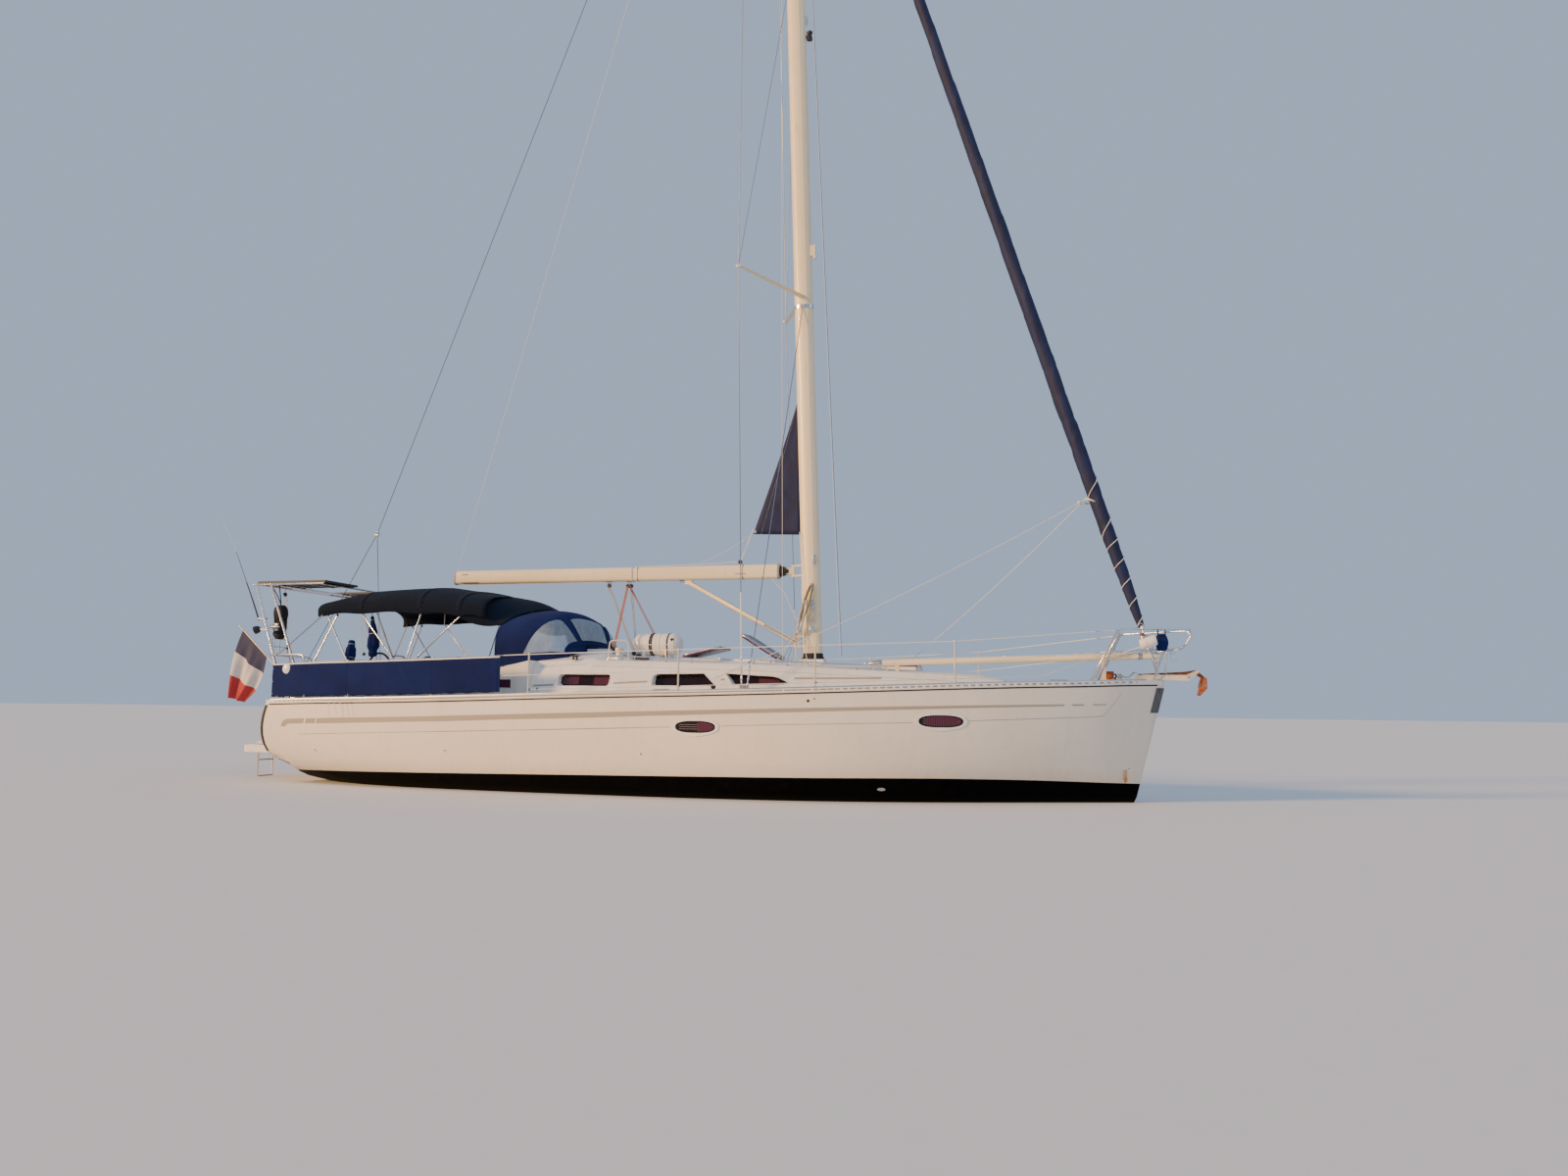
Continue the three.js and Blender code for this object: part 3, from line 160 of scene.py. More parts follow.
class Shape:
    """Collects faces in metres, in the frame's own axes, and turns them into one piece."""

    def __init__(self):
        self.bm = bmesh.new()
        self.slot = 0
        self.smooth = True

    def face(self, verts):
        try:
            made = self.bm.faces.new(verts)
        except ValueError:
            return None
        made.material_index = self.slot
        made.smooth = self.smooth
        return made

    def grid(self, rows, closed=False, capped=False):
        """Rows of points of equal length, joined by quads. Closed joins each row's ends."""
        made = [[self.bm.verts.new(p) for p in row] for row in rows]
        count = len(made[0])
        for a, b in zip(made, made[1:]):
            for j in range(count if closed else count - 1):
                k = (j + 1) % count
                self.face([a[j], a[k], b[k], b[j]])
        if capped:
            self.face(list(reversed(made[0])))
            self.face(made[-1])
        return made

    def tube(self, points, radius, sides=10, closed=False, flat=1.0):
        """A tube along points. Radius is a number, or one per point; flat squashes it sideways."""
        path = [Vector(p) for p in points]
        count = len(path)
        radii = radius if isinstance(radius, (list, tuple)) else [radius] * count
        tangents = []
        for i in range(count):
            before = path[i - 1] if i or closed else path[i]
            after = path[(i + 1) % count] if i < count - 1 or closed else path[i]
            tangents.append((after - before).normalized())
        start = Vector(UP) if abs(tangents[0].z) < 0.9 else Vector(AHEAD)
        normal = (start - tangents[0] * start.dot(tangents[0])).normalized()
        rings = []
        for point, tangent, r in zip(path, tangents, radii):
            normal = (normal - tangent * normal.dot(tangent)).normalized()
            across = tangent.cross(normal)
            rings.append(
                [point + normal * (r * math.cos(t)) + across * (r * flat * math.sin(t)) for t in turns(sides)]
            )
        if closed:
            rings.append(rings[0])
        self.grid(rings, closed=True, capped=not closed)
        return self

    def turned(self, profile, start, axis=UP, sides=24):
        """A lathe shape from (radius, distance) pairs along an axis."""
        start, axis = Vector(start), Vector(axis).normalized()
        aside = axis.orthogonal().normalized()
        across = axis.cross(aside)
        rings = []
        for r, h in profile:
            r = max(r, 1e-5)
            rings.append(
                [start + axis * h + (aside * math.cos(t) + across * math.sin(t)) * r for t in turns(sides)]
            )
        self.grid(rings, closed=True, capped=True)
        return self

    def block(self, low, high, turn=None, about=None):
        """A box between two corners, turned by a matrix about a point if one is given."""
        corners = [
            Vector((x, y, z)) for x in (low[0], high[0]) for y in (low[1], high[1])
            for z in (low[2], high[2])
        ]
        if turn is not None:
            centre = Vector(about) if about is not None else (Vector(low) + Vector(high)) / 2
            corners = [centre + turn @ (c - centre) for c in corners]
        v = [self.bm.verts.new(c) for c in corners]
        was, self.smooth = self.smooth, False
        for quad in ((0, 1, 3, 2), (4, 6, 7, 5), (0, 4, 5, 1), (2, 3, 7, 6), (0, 2, 6, 4), (1, 5, 7, 3)):
            self.face([v[i] for i in quad])
        self.smooth = was
        return self

    def prism(self, outline, offset):
        """A flat outline of points pushed out by an offset vector."""
        low = [self.bm.verts.new(Vector(p)) for p in outline]
        high = [self.bm.verts.new(Vector(p) + Vector(offset)) for p in outline]
        was, self.smooth = self.smooth, False
        self.face(list(reversed(low)))
        self.face(high)
        count = len(low)
        for i in range(count):
            j = (i + 1) % count
            self.face([low[i], low[j], high[j], high[i]])
        self.smooth = was
        return self

    def ball(self, centre, radius, squash=(1, 1, 1), rings=8, sides=14):
        """A ball, squashed along the axes."""
        a, b, c = squash
        rows = []
        for i in range(rings + 1):
            rise = math.pi * i / rings
            r, h = max(math.sin(rise) * radius, 1e-5), -math.cos(rise) * radius
            rows.append(
                [
                    Vector(centre) + Vector((r * math.cos(t) * a, r * math.sin(t) * b, h * c))
                    for t in turns(sides)
                ]
            )
        self.grid(rows, closed=True, capped=True)
        return self

    def piece(self, name, materials, body="hull", slot=None, merge=1e-5, bevel=0.0, angle=35, outward=True):
        """Ends the shape as one object on a body."""
        bmesh.ops.remove_doubles(self.bm, verts=self.bm.verts, dist=merge)
        if outward:
            bmesh.ops.recalc_face_normals(self.bm, faces=self.bm.faces)
        mesh = bpy.data.meshes.new(name)
        self.bm.to_mesh(mesh)
        self.bm.free()
        return finished(name, mesh, materials, body, slot, bevel, angle)


def finished(name, mesh, materials, body="hull", slot=None, bevel=0.0, angle=35):
    """Links a mesh as a piece, with the finishes of its faces, its edges and its body."""
    made = bpy.data.objects.new(name, mesh)
    bpy.context.scene.collection.objects.link(made)
    for entry in materials if isinstance(materials, (list, tuple)) else [materials]:
        mesh.materials.append(MATERIALS[entry])
    mesh.set_sharp_from_angle(angle=math.radians(angle))
    if bevel:
        rounding = made.modifiers.new("rounded edges", "BEVEL")
        rounding.width = bevel
        rounding.segments = 2
        rounding.limit_method = "ANGLE"
        rounding.angle_limit = math.radians(angle)
        rounding.harden_normals = False
    if body:
        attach(made, body)
    return made


def walled(made, thickness):
    """Gives a sheet its thickness, half of it to each side."""
    wall = made.modifiers.new("wall", "SOLIDIFY")
    wall.thickness = thickness
    wall.offset = 0


def refined(name, finish, angle=35, bevel=0.0):
    """A copy of a CAD node with its loose triangles merged and its surfaces smoothed, in its place."""
    source = NODES[name]
    mesh = source.data.copy()
    bm = bmesh.new()
    bm.from_mesh(mesh)
    bmesh.ops.remove_doubles(bm, verts=bm.verts, dist=2e-5)
    bmesh.ops.dissolve_degenerate(bm, edges=bm.edges, dist=2e-5)
    bmesh.ops.dissolve_limit(bm, angle_limit=math.radians(1.2), verts=bm.verts, edges=bm.edges)
    for face in bm.faces:
        face.smooth = True
        face.material_index = 0
    bm.to_mesh(mesh)
    bm.free()
    mesh.materials.clear()
    body = source.get("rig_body")
    made = finished(name + "_finished", mesh, finish, body, None, bevel, angle)
    if "custom_normal" in mesh.attributes:
        mesh.attributes.remove(mesh.attributes["custom_normal"])
    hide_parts(name)
    return made


# Places on the solids

_trees = {}


def tree_of(name):
    if name not in _trees:
        mesh = NODES[name].data
        _trees[name] = BVHTree.FromPolygons(
            [v.co.copy() for v in mesh.vertices], [tuple(p.vertices) for p in mesh.polygons]
        )
    return _trees[name]


def hit(name, origin, direction):
    """Where a ray first meets a CAD node, and the surface's normal there."""
    place, normal, _, _ = tree_of(name).ray_cast(Vector(origin), Vector(direction).normalized())
    if place is None:
        raise RuntimeError(f"no surface of {name} from {tuple(origin)} towards {tuple(direction)}")
    return place, normal


def top_of(name, x, y, above=3.5):
    return hit(name, (x, y, above), DOWN)[0].z


def side_of(names, x, z, side=-1):
    """How far out a side stands at (x, z): the outermost of some nodes' surfaces there."""
    places = []
    for name in names if isinstance(names, tuple) else (names,):
        place = tree_of(name).ray_cast(Vector((x, side * 4.0, z)), Vector((0, -side, 0)))[0]
        places += [place.y] if place else []
    if not places:
        raise RuntimeError(f"no surface of {names} at x {x:.3f}, z {z:.3f}")
    return max(places, key=lambda y: side * y)


def curve_points(points, steps=8, closed=False):
    """A smooth line through points, as many small steps."""
    path = [Vector(p) for p in points]
    count = len(path)
    spans = count if closed else count - 1
    made = []
    for i in range(spans):
        p1, p2 = path[i], path[(i + 1) % count]
        p0 = path[i - 1] if i or closed else p1
        p3 = path[(i + 2) % count] if i + 2 < count or closed else p2
        for s in range(steps):
            t = s / steps
            made.append(
                0.5
                * (
                    2 * p1
                    + (p2 - p0) * t
                    + (2 * p0 - 5 * p1 + 4 * p2 - p3) * t * t
                    + (3 * p1 - p0 - 3 * p2 + p3) * t ** 3
                )
            )
    if not closed:
        made.append(path[-1])
    return made


def sagging(a, b, sag=0.0, steps=12):
    """A line hung between two points with a sag in metres at its middle."""
    a, b = Vector(a), Vector(b)
    return [
        a.lerp(b, i / steps) - Vector((0, 0, 4 * sag * (i / steps) * (1 - i / steps)))
        for i in range(steps + 1)
    ]


# Geometry Nodes for what repeats or follows a line

SEED = 7
SOCKETS = {"float": "NodeSocketFloat", "int": "NodeSocketInt", "vector": "NodeSocketVector"}


def rule(name, inputs, build, takes_line=True):
    """A node group with named inputs. Build returns the mesh, not yet realised or given its material."""
    tree = bpy.data.node_groups.new(name, "GeometryNodeTree")
    if takes_line:
        tree.interface.new_socket("Line", in_out="INPUT", socket_type="NodeSocketGeometry")
    for label, (kind, default) in inputs.items():
        tree.interface.new_socket(label, in_out="INPUT", socket_type=SOCKETS[kind]).default_value = default
    tree.interface.new_socket("Finish", in_out="INPUT", socket_type="NodeSocketMaterial")
    tree.interface.new_socket("Mesh", in_out="OUTPUT", socket_type="NodeSocketGeometry")
    source = tree.nodes.new("NodeGroupInput")
    shape = build(tree, source)
    solid = node(tree, "GeometryNodeRealizeInstances", {"Geometry": shape})
    dressed = node(tree, "GeometryNodeSetMaterial", {"Geometry": solid, "Material": (source, "Finish")})
    node(tree, "NodeGroupOutput", {"Mesh": dressed})
    return tree


def pegs_rule(tree, source):
    """Short round pegs along a line, each lying along it."""
    line = node(tree, "GeometryNodeMeshToCurve", {"Mesh": (source, "Line")})
    curve = node(
        tree, "GeometryNodeResampleCurve", {"Curve": line, "Length": (source, "Spacing")}, mode="LENGTH"
    )
    lying = node(
        tree, "FunctionNodeAlignRotationToVector", {"Vector": node(tree, "GeometryNodeInputTangent")},
        axis="Z"
    )
    peg = node(
        tree,
        "GeometryNodeMeshCylinder",
        {"Vertices": 6, "Radius": (source, "Radius"), "Depth": (source, "Length")},
    )
    return node(tree, "GeometryNodeInstanceOnPoints", {"Points": curve, "Instance": peg, "Rotation": lying})


def boards_rule(tree, source):
    """Boards in rows and columns, such as planks or cells."""

    def line(count, step):
        return node(tree, "GeometryNodeMeshLine", {"Count": (source, count), "Offset": (source, step)})

    rows = node(
        tree,
        "GeometryNodeInstanceOnPoints",
        {"Points": line("Rows", "Row step"), "Instance": line("Columns", "Column step")},
    )
    points = node(tree, "GeometryNodeRealizeInstances", {"Geometry": rows})
    board = node(tree, "GeometryNodeMeshCube", {"Size": (source, "Board")})
    placed = node(tree, "GeometryNodeInstanceOnPoints", {"Points": points, "Instance": board})
    return node(tree, "GeometryNodeTransform", {"Geometry": placed, "Translation": (source, "First")})


RULES = {}


def make_rules():
    RULES["pegs"] = rule(
        "pegs along a line",
        {"Spacing": ("float", 0.02), "Radius": ("float", 0.002), "Length": ("float", 0.01)},
        pegs_rule,
    )
    RULES["boards"] = rule(
        "boards in rows",
        {
            "Rows": ("int", 4),
            "Row step": ("vector", (0, 0.05, 0)),
            "Columns": ("int", 1),
            "Column step": ("vector", (0.5, 0, 0)),
            "Board": ("vector", (0.5, 0.045, 0.008)),
            "First": ("vector", (0, 0, 0)),
        },
        boards_rule,
        takes_line=False,
    )


def grown(which, finish, lines=(), **inputs):
    """The plain mesh that a rule gives for some lines, each a list of points."""
    mesh = bpy.data.meshes.new("lines")
    points = [Vector(p) for line in lines for p in line]
    edges = []
    start = 0
    for line in lines:
        edges += [(start + i, start + i + 1) for i in range(len(line) - 1)]
        start += len(line)
    mesh.from_pydata(points, edges, [])
    holder = bpy.data.objects.new("lines", mesh)
    bpy.context.scene.collection.objects.link(holder)
    modifier = holder.modifiers.new(which, "NODES")
    modifier.node_group = RULES[which]
    ids = {
        item.name: item.identifier
        for item in RULES[which].interface.items_tree
        if getattr(item, "in_out", "") == "INPUT"
    }
    modifier[ids["Finish"]] = MATERIALS[finish]
    for label, value in inputs.items():
        modifier[ids[label.replace("_", " ")]] = value
    graph = bpy.context.evaluated_depsgraph_get()
    made = bpy.data.meshes.new_from_object(holder.evaluated_get(graph))
    holder.modifiers.remove(modifier)
    bpy.data.objects.remove(holder)
    return made


def repeated(name, which, finish, lines=(), body="hull", slot=None, angle=35, **inputs):
    """A piece grown by a rule."""
    return finished(name, grown(which, finish, lines, **inputs), [], body, slot, 0.0, angle)


# Materials, each started from what the real one is

MATERIALS = {}
UPRIGHT = (1.0, 1.0, 0.16)  # stretches a noise into upright streaks
FORE_AFT = (0.12, 1.0, 1.0)  # and along the boat


def gelcoat_skin(tint, chalk, dirt=0.3):
    def build(tree, place):
        cloud = node(tree, NOISE, {"Vector": place, "Scale": 1.1, "Detail": 4.0})
        tone = node(tree, RAMP, {"Fac": cloud}, stops=[(0.3, tint), (0.75, chalk)])
        upright = node(tree, MAPPING, {"Vector": place, "Scale": UPRIGHT})
        streaks = node(tree, NOISE, {"Vector": upright, "Scale": 9.0, "Detail": 5.0, "Roughness": 0.6})
        grime = node(tree, RANGE, {"Value": streaks, "From Min": 0.52, "From Max": 0.8, "To Max": dirt})
        return {
            "Base Color": node(
                tree, MIX, {"Factor": grime, "A": tone, "B": linear("9C9180")}, data_type="RGBA"
            ),
            "Roughness": node(
                tree, RANGE, {"Value": cloud, "From Min": 0.2, "From Max": 0.8, "To Min": 0.2, "To Max": 0.36}
            ),
        }

    return build


# Where the boot-top is along the hull, (x, z)
BOOT_TOP = ((-7.2, 0.19), (-6.62, 0.2), (-2.65, 0.27), (1.89, 0.33), (4.5, 0.34), (6.66, 0.27), (7.2, 0.25))


def topsides_skin(tree, place):
    base = gelcoat_skin("E9DFCD", "EFE6D6", 0.1)(tree, place)
    split = node(tree, "ShaderNodeSeparateXYZ", {"Vector": place})
    x, z = (split, "X"), (split, "Z")
    reach = node(tree, RANGE, {"Value": x, "From Min": -7.2, "From Max": 7.2})
    curve = node(tree, "ShaderNodeFloatCurve", {"Value": reach})
    points = curve.mapping.curves[0].points
    for i, (at, height) in enumerate(BOOT_TOP):
        spot = ((at + 7.2) / 14.4, height)
        if i in (0, len(BOOT_TOP) - 1):
            points[0 if i == 0 else len(points) - 1].location = spot
        else:
            points.new(*spot)
    curve.mapping.update()
    slime = node(tree, NOISE, {"Vector": place, "Scale": 7.0, "Detail": 6.0, "Roughness": 0.65})
    ragged = node(tree, MATH, {0: slime, 1: 0.006}, operation="MULTIPLY")
    over = node(tree, MATH, {0: z, 1: curve}, operation="SUBTRACT")
    above = node(tree, MATH, {0: over, 1: ragged}, operation="ADD")
    paint = node(tree, RANGE, {"Value": above, "From Min": 0.005, "From Max": 0.001})
    fouling = node(
        tree, RAMP, {"Fac": slime}, stops=[(0.3, "030304"), (0.62, "070708"), (0.85, "121313")]
    )
    scum = node(tree, RANGE, {"Value": z, "From Min": 0.1, "From Max": 0.02, "To Max": 0.6})
    wet = node(tree, MIX, {"Factor": scum, "A": fouling, "B": linear("15170F")}, data_type="RGBA")
    splash = node(tree, RANGE, {"Value": above, "From Min": 0.2, "From Max": 0.0, "To Max": 0.5})
    stain = node(tree, MATH, {0: splash, 1: slime}, operation="MULTIPLY")
    aged = node(
        tree, MIX, {"Factor": stain, "A": base["Base Color"], "B": linear("B9A98E")}, data_type="RGBA"
    )
    return {
        "Base Color": node(tree, MIX, {"Factor": paint, "A": aged, "B": wet}, data_type="RGBA"),
        "Roughness": node(
            tree, MIX, {"Factor": paint, "A": base["Roughness"], "B": 0.95}, data_type="FLOAT"
        ),
        "Coat Weight": node(
            tree, RANGE, {"Value": above, "From Min": 0.001, "From Max": 0.005, "To Max": 0.2}
        ),
        "Specular Tint": node(
            tree, MIX, {"Factor": paint, "A": linear("FFFFFF"), "B": linear("303030")}, data_type="RGBA"
        ),
    }


def nonskid_skin(tree, place):
    turned = node(tree, MAPPING, {"Vector": place, "Rotation": (0, 0, math.radians(45))})
    tread = node(
        tree, CELLS, {"Vector": turned, "Scale": 85.0, "Randomness": 0.0}, distance="CHEBYCHEV"
    )
    cloud = node(tree, NOISE, {"Vector": place, "Scale": 1.6, "Detail": 4.0})
    tone = node(tree, RAMP, {"Fac": cloud}, stops=[(0.3, "D8D3C8"), (0.7, "E4E0D6")])
    dirt = node(
        tree, RANGE, {"Value": (tread, "Distance"), "From Min": 0.3, "From Max": 0.5, "To Max": 0.5}
    )
    height = node(tree, RANGE, {"Value": (tread, "Distance"), "From Min": 0.5, "From Max": 0.1})
    return {
        "Base Color": node(tree, MIX, {"Factor": dirt, "A": tone, "B": linear("A29B8D")}, data_type="RGBA"),
        "Normal": node(tree, BUMP, {"Height": height, "Distance": 0.0012, "Strength": 0.8}),
    }


def teak_skin(tree, place):
    fibres = node(tree, MAPPING, {"Vector": place, "Scale": FORE_AFT})
    grain = node(tree, NOISE, {"Vector": fibres, "Scale": 32.0, "Detail": 8.0, "Roughness": 0.7})
    blotch = node(tree, NOISE, {"Vector": place, "Scale": 2.0, "Detail": 3.0})
    brown = node(tree, RAMP, {"Fac": grain}, stops=[(0.25, "6E5137"), (0.5, "94714C"), (0.8, "B08C62")])
    silver = node(tree, RAMP, {"Fac": grain}, stops=[(0.3, "857A6C"), (0.7, "AFA596")])
    weathered = node(
        tree, RANGE, {"Value": blotch, "From Min": 0.4, "From Max": 0.7, "To Min": 0.15, "To Max": 0.75}
    )
    return {
        "Base Color": node(tree, MIX, {"Factor": weathered, "A": brown, "B": silver}, data_type="RGBA"),
        "Normal": node(tree, BUMP, {"Height": grain, "Distance": 0.0015, "Strength": 0.7}),
    }


def varnished_skin(tree, place):
    fibres = node(tree, MAPPING, {"Vector": place, "Scale": FORE_AFT})
    grain = node(tree, NOISE, {"Vector": fibres, "Scale": 40.0, "Detail": 8.0, "Roughness": 0.7})
    return {"Base Color": node(tree, RAMP, {"Fac": grain}, stops=[(0.3, "4A2415"), (0.7, "7A4325")])}


def steel_skin(tree, place):
    marks = node(tree, NOISE, {"Vector": place, "Scale": 60.0, "Detail": 3.0})
    tea = node(tree, NOISE, {"Vector": place, "Scale": 6.0, "Detail": 5.0, "Roughness": 0.7})
    bright = node(tree, RAMP, {"Fac": marks}, stops=[(0.3, "C6C8CB"), (0.7, "DCDEE0")])
    stained = node(tree, RANGE, {"Value": tea, "From Min": 0.6, "From Max": 0.8, "To Max": 0.35})
    return {
        "Base Color": node(
            tree, MIX, {"Factor": stained, "A": bright, "B": linear("9B8468")}, data_type="RGBA"
        ),
        "Roughness": node(
            tree, RANGE, {"Value": marks, "From Min": 0.2, "From Max": 0.8, "To Min": 0.14, "To Max": 0.32}
        ),
    }


def spar_skin(tree, place):
    cloud = node(tree, NOISE, {"Vector": place, "Scale": 0.8, "Detail": 4.0})
    upright = node(tree, MAPPING, {"Vector": place, "Scale": UPRIGHT})
    runs = node(tree, NOISE, {"Vector": upright, "Scale": 16.0, "Detail": 5.0, "Roughness": 0.65})
    tone = node(tree, RAMP, {"Fac": cloud}, stops=[(0.3, "E6D7B2"), (0.7, "EEE2C2")])
    dirt = node(tree, RANGE, {"Value": runs, "From Min": 0.58, "From Max": 0.8, "To Max": 0.4})
    peel = node(tree, NOISE, {"Vector": place, "Scale": 90.0, "Detail": 2.0})
    return {
        "Base Color": node(tree, MIX, {"Factor": dirt, "A": tone, "B": linear("8F8368")}, data_type="RGBA"),
        "Roughness": node(
            tree, RANGE, {"Value": cloud, "From Min": 0.2, "From Max": 0.8, "To Min": 0.28, "To Max": 0.44}
        ),
        "Normal": node(tree, BUMP, {"Height": peel, "Distance": 0.0004, "Strength": 0.3}),
    }


def drawn_skin(dark, lit, stretch):
    def build(tree, place):
        drawn = node(tree, MAPPING, {"Vector": place, "Scale": stretch})
        lines = node(tree, NOISE, {"Vector": drawn, "Scale": 80.0, "Detail": 2.0})
        return {
            "Base Color": node(tree, RAMP, {"Fac": lines}, stops=[(0.3, dark), (0.7, lit)]),
            "Roughness": node(
                tree, RANGE, {"Value": lines, "From Min": 0.2, "From Max": 0.8, "To Min": 0.3, "To Max": 0.46}
            ),
        }

    return build


def wire_skin(tree, place):
    strands = node(
        tree, WAVES, {
            "Vector": place, "Scale": 40.0, "Distortion": 0.4, "Detail": 1.0
        }, bands_direction="DIAGONAL"
    )
    return {
        "Base Color": node(tree, RAMP, {"Fac": strands}, stops=[(0.0, "7C7F83"), (1.0, "C3C6C9")]),
        "Normal": node(tree, BUMP, {"Height": (strands, "Fac"), "Distance": 0.001, "Strength": 0.5}),
    }


def woven(tree, place, threads):
    """Height of a plain weave from two crossed waves; threads is how many a metre holds."""
    warp, weft = (
        node(tree, WAVES, {"Vector": place, "Scale": threads, "Distortion": 0.3}, bands_direction=way)
        for way in "XZ"
    )
    return node(tree, MATH, {0: (warp, "Fac"), 1: (weft, "Fac")}, operation="MAXIMUM")


def canvas_skin(dark, lit, faded):
    def build(tree, place):
        weave = woven(tree, place, 52.0)
        cloud = node(tree, NOISE, {"Vector": place, "Scale": 1.7, "Detail": 5.0})
        # Random patches between the dark colour and the lit one: painted sunlight on the canvas where the two
        # differ
        tone = node(tree, RAMP, {"Fac": cloud}, stops=[(0.25, dark), (0.75, lit)])
        # Raised threads, and faces that look up, are mixed towards the faded colour: partly real bleaching,
        # partly a painted sky sheen
        raised = node(tree, MATH, {0: weave, 1: 0.2}, operation="MULTIPLY")
        threads = node(tree, MIX, {"Factor": raised, "A": tone, "B": faded}, data_type="RGBA")
        up = node(tree, "ShaderNodeSeparateXYZ", {"Vector": (node(tree, "ShaderNodeNewGeometry"), "Normal")})
        sun = node(tree, RANGE, {"Value": (up, "Z"), "From Min": 0.2, "To Max": 0.4})
        sky_sheen_and_bleaching = node(tree, MATH, {0: sun, 1: cloud}, operation="MULTIPLY")
        creases = node(tree, NOISE, {"Vector": place, "Scale": 3.2, "Detail": 5.0, "Roughness": 0.6})
        height = node(tree, MATH, {0: creases, 1: 9.0, 2: weave}, operation="MULTIPLY_ADD")
        return {
            "Base Color": node(tree, MIX, {"Factor": sky_sheen_and_bleaching, "A": threads, "B": faded}, data_type="RGBA"),
            "Normal": node(tree, BUMP, {"Height": height, "Distance": 0.0025, "Strength": 0.8}),
        }

    return build


def sail_skin(tone, shade):
    def build(tree, place):
        upright = node(tree, MAPPING, {"Vector": place, "Scale": (1.0, 1.0, 0.35)})
        creases = node(tree, NOISE, {"Vector": upright, "Scale": 9.0, "Detail": 6.0, "Roughness": 0.65})
        return {
            "Base Color": node(tree, RAMP, {"Fac": creases}, stops=[(0.3, shade), (0.65, tone)]),
            "Normal": node(tree, BUMP, {"Height": creases, "Distance": 0.012, "Strength": 0.6}),
        }

    return build


def ensign_skin(tree, place):
    across = node(tree, "ShaderNodeAttribute", attribute_name="across")
    bands = node(
        tree, RAMP, {"Fac": (across, "Fac")}, stops=[(0.0, "161F4A"), (0.335, "CFC9C4"), (0.67, "A80F17")]
    )
    bands.color_ramp.interpolation = "CONSTANT"
    weave = woven(tree, place, 60.0)
    threads = node(tree, MATH, {0: weave, 1: 0.05}, operation="MULTIPLY")
    return {
        "Base Color": node(
            tree, MIX, {"Factor": threads, "A": bands, "B": linear("F2EDE6")}, data_type="RGBA"
        ),
        "Normal": node(tree, BUMP, {"Height": weave, "Distance": 0.001, "Strength": 0.4}),
    }


def rope_skin(first, second):
    def build(tree, place):
        flecks = node(tree, CELLS, {"Vector": place, "Scale": 110.0})
        return {
            "Base Color": node(
                tree, RAMP, {"Fac": (flecks, "Distance")}, stops=[(0.2, first), (0.55, second)]
            ),
            "Normal": node(tree, BUMP, {"Height": (flecks, "Distance"), "Distance": 0.001, "Strength": 0.6}),
        }

    return build


def rust_skin(tree, place):
    scale = node(tree, NOISE, {"Vector": place, "Scale": 22.0, "Detail": 8.0, "Roughness": 0.7})
    blotch = node(tree, NOISE, {"Vector": place, "Scale": 5.0, "Detail": 5.0, "Roughness": 0.6})
    rust = node(tree, RAMP, {"Fac": scale}, stops=[(0.3, "4E2A1B"), (0.5, "96532C"), (0.7, "B9743F")])
    zinc = node(tree, RAMP, {"Fac": scale}, stops=[(0.3, "6C6A66"), (0.7, "8E8C87")])
    worn = node(tree, RANGE, {"Value": blotch, "From Min": 0.5, "From Max": 0.68})
    return {
        "Base Color": node(tree, MIX, {"Factor": worn, "A": rust, "B": zinc}, data_type="RGBA"),
        "Normal": node(tree, BUMP, {"Height": scale, "Distance": 0.002, "Strength": 0.8}),
    }


def grained_skin(dark, lit, size=900.0, depth=0.0004, cloud=5.0):
    """An even colour over a fine grain: size is how many grains a metre holds."""

    def build(tree, place):
        blotch = node(tree, NOISE, {"Vector": place, "Scale": cloud, "Detail": 5.0, "Roughness": 0.6})
        fine = node(tree, NOISE, {"Vector": place, "Scale": size, "Detail": 2.0})
        return {
            "Base Color": node(tree, RAMP, {"Fac": blotch}, stops=[(0.3, dark), (0.7, lit)]),
            "Normal": node(tree, BUMP, {"Height": fine, "Distance": depth, "Strength": 0.6}),
        }

    return build


def cell_skin(tree, place):
    cells = node(tree, CELLS, {"Vector": place, "Scale": 40.0})
    return {
        "Base Color": node(tree, RAMP, {"Fac": (cells, "Color")}, stops=[(0.2, "0E1020"), (0.8, "1E1C38")])
    }


def curtain_skin(tree, place):
    # The folds are painted: dark and light bands stand for their shade and light on a flat sheet
    painted_fold_shading = node(
        tree, WAVES, {"Vector": place, "Scale": 14.0, "Distortion": 1.5, "Detail": 2.0}, bands_direction="X"
    )
    return {
        "Base Color": node(tree, RAMP, {"Fac": (painted_fold_shading, "Fac")}, stops=[(0.1, "2B1524"), (0.9, "6B3A4E")])
    }


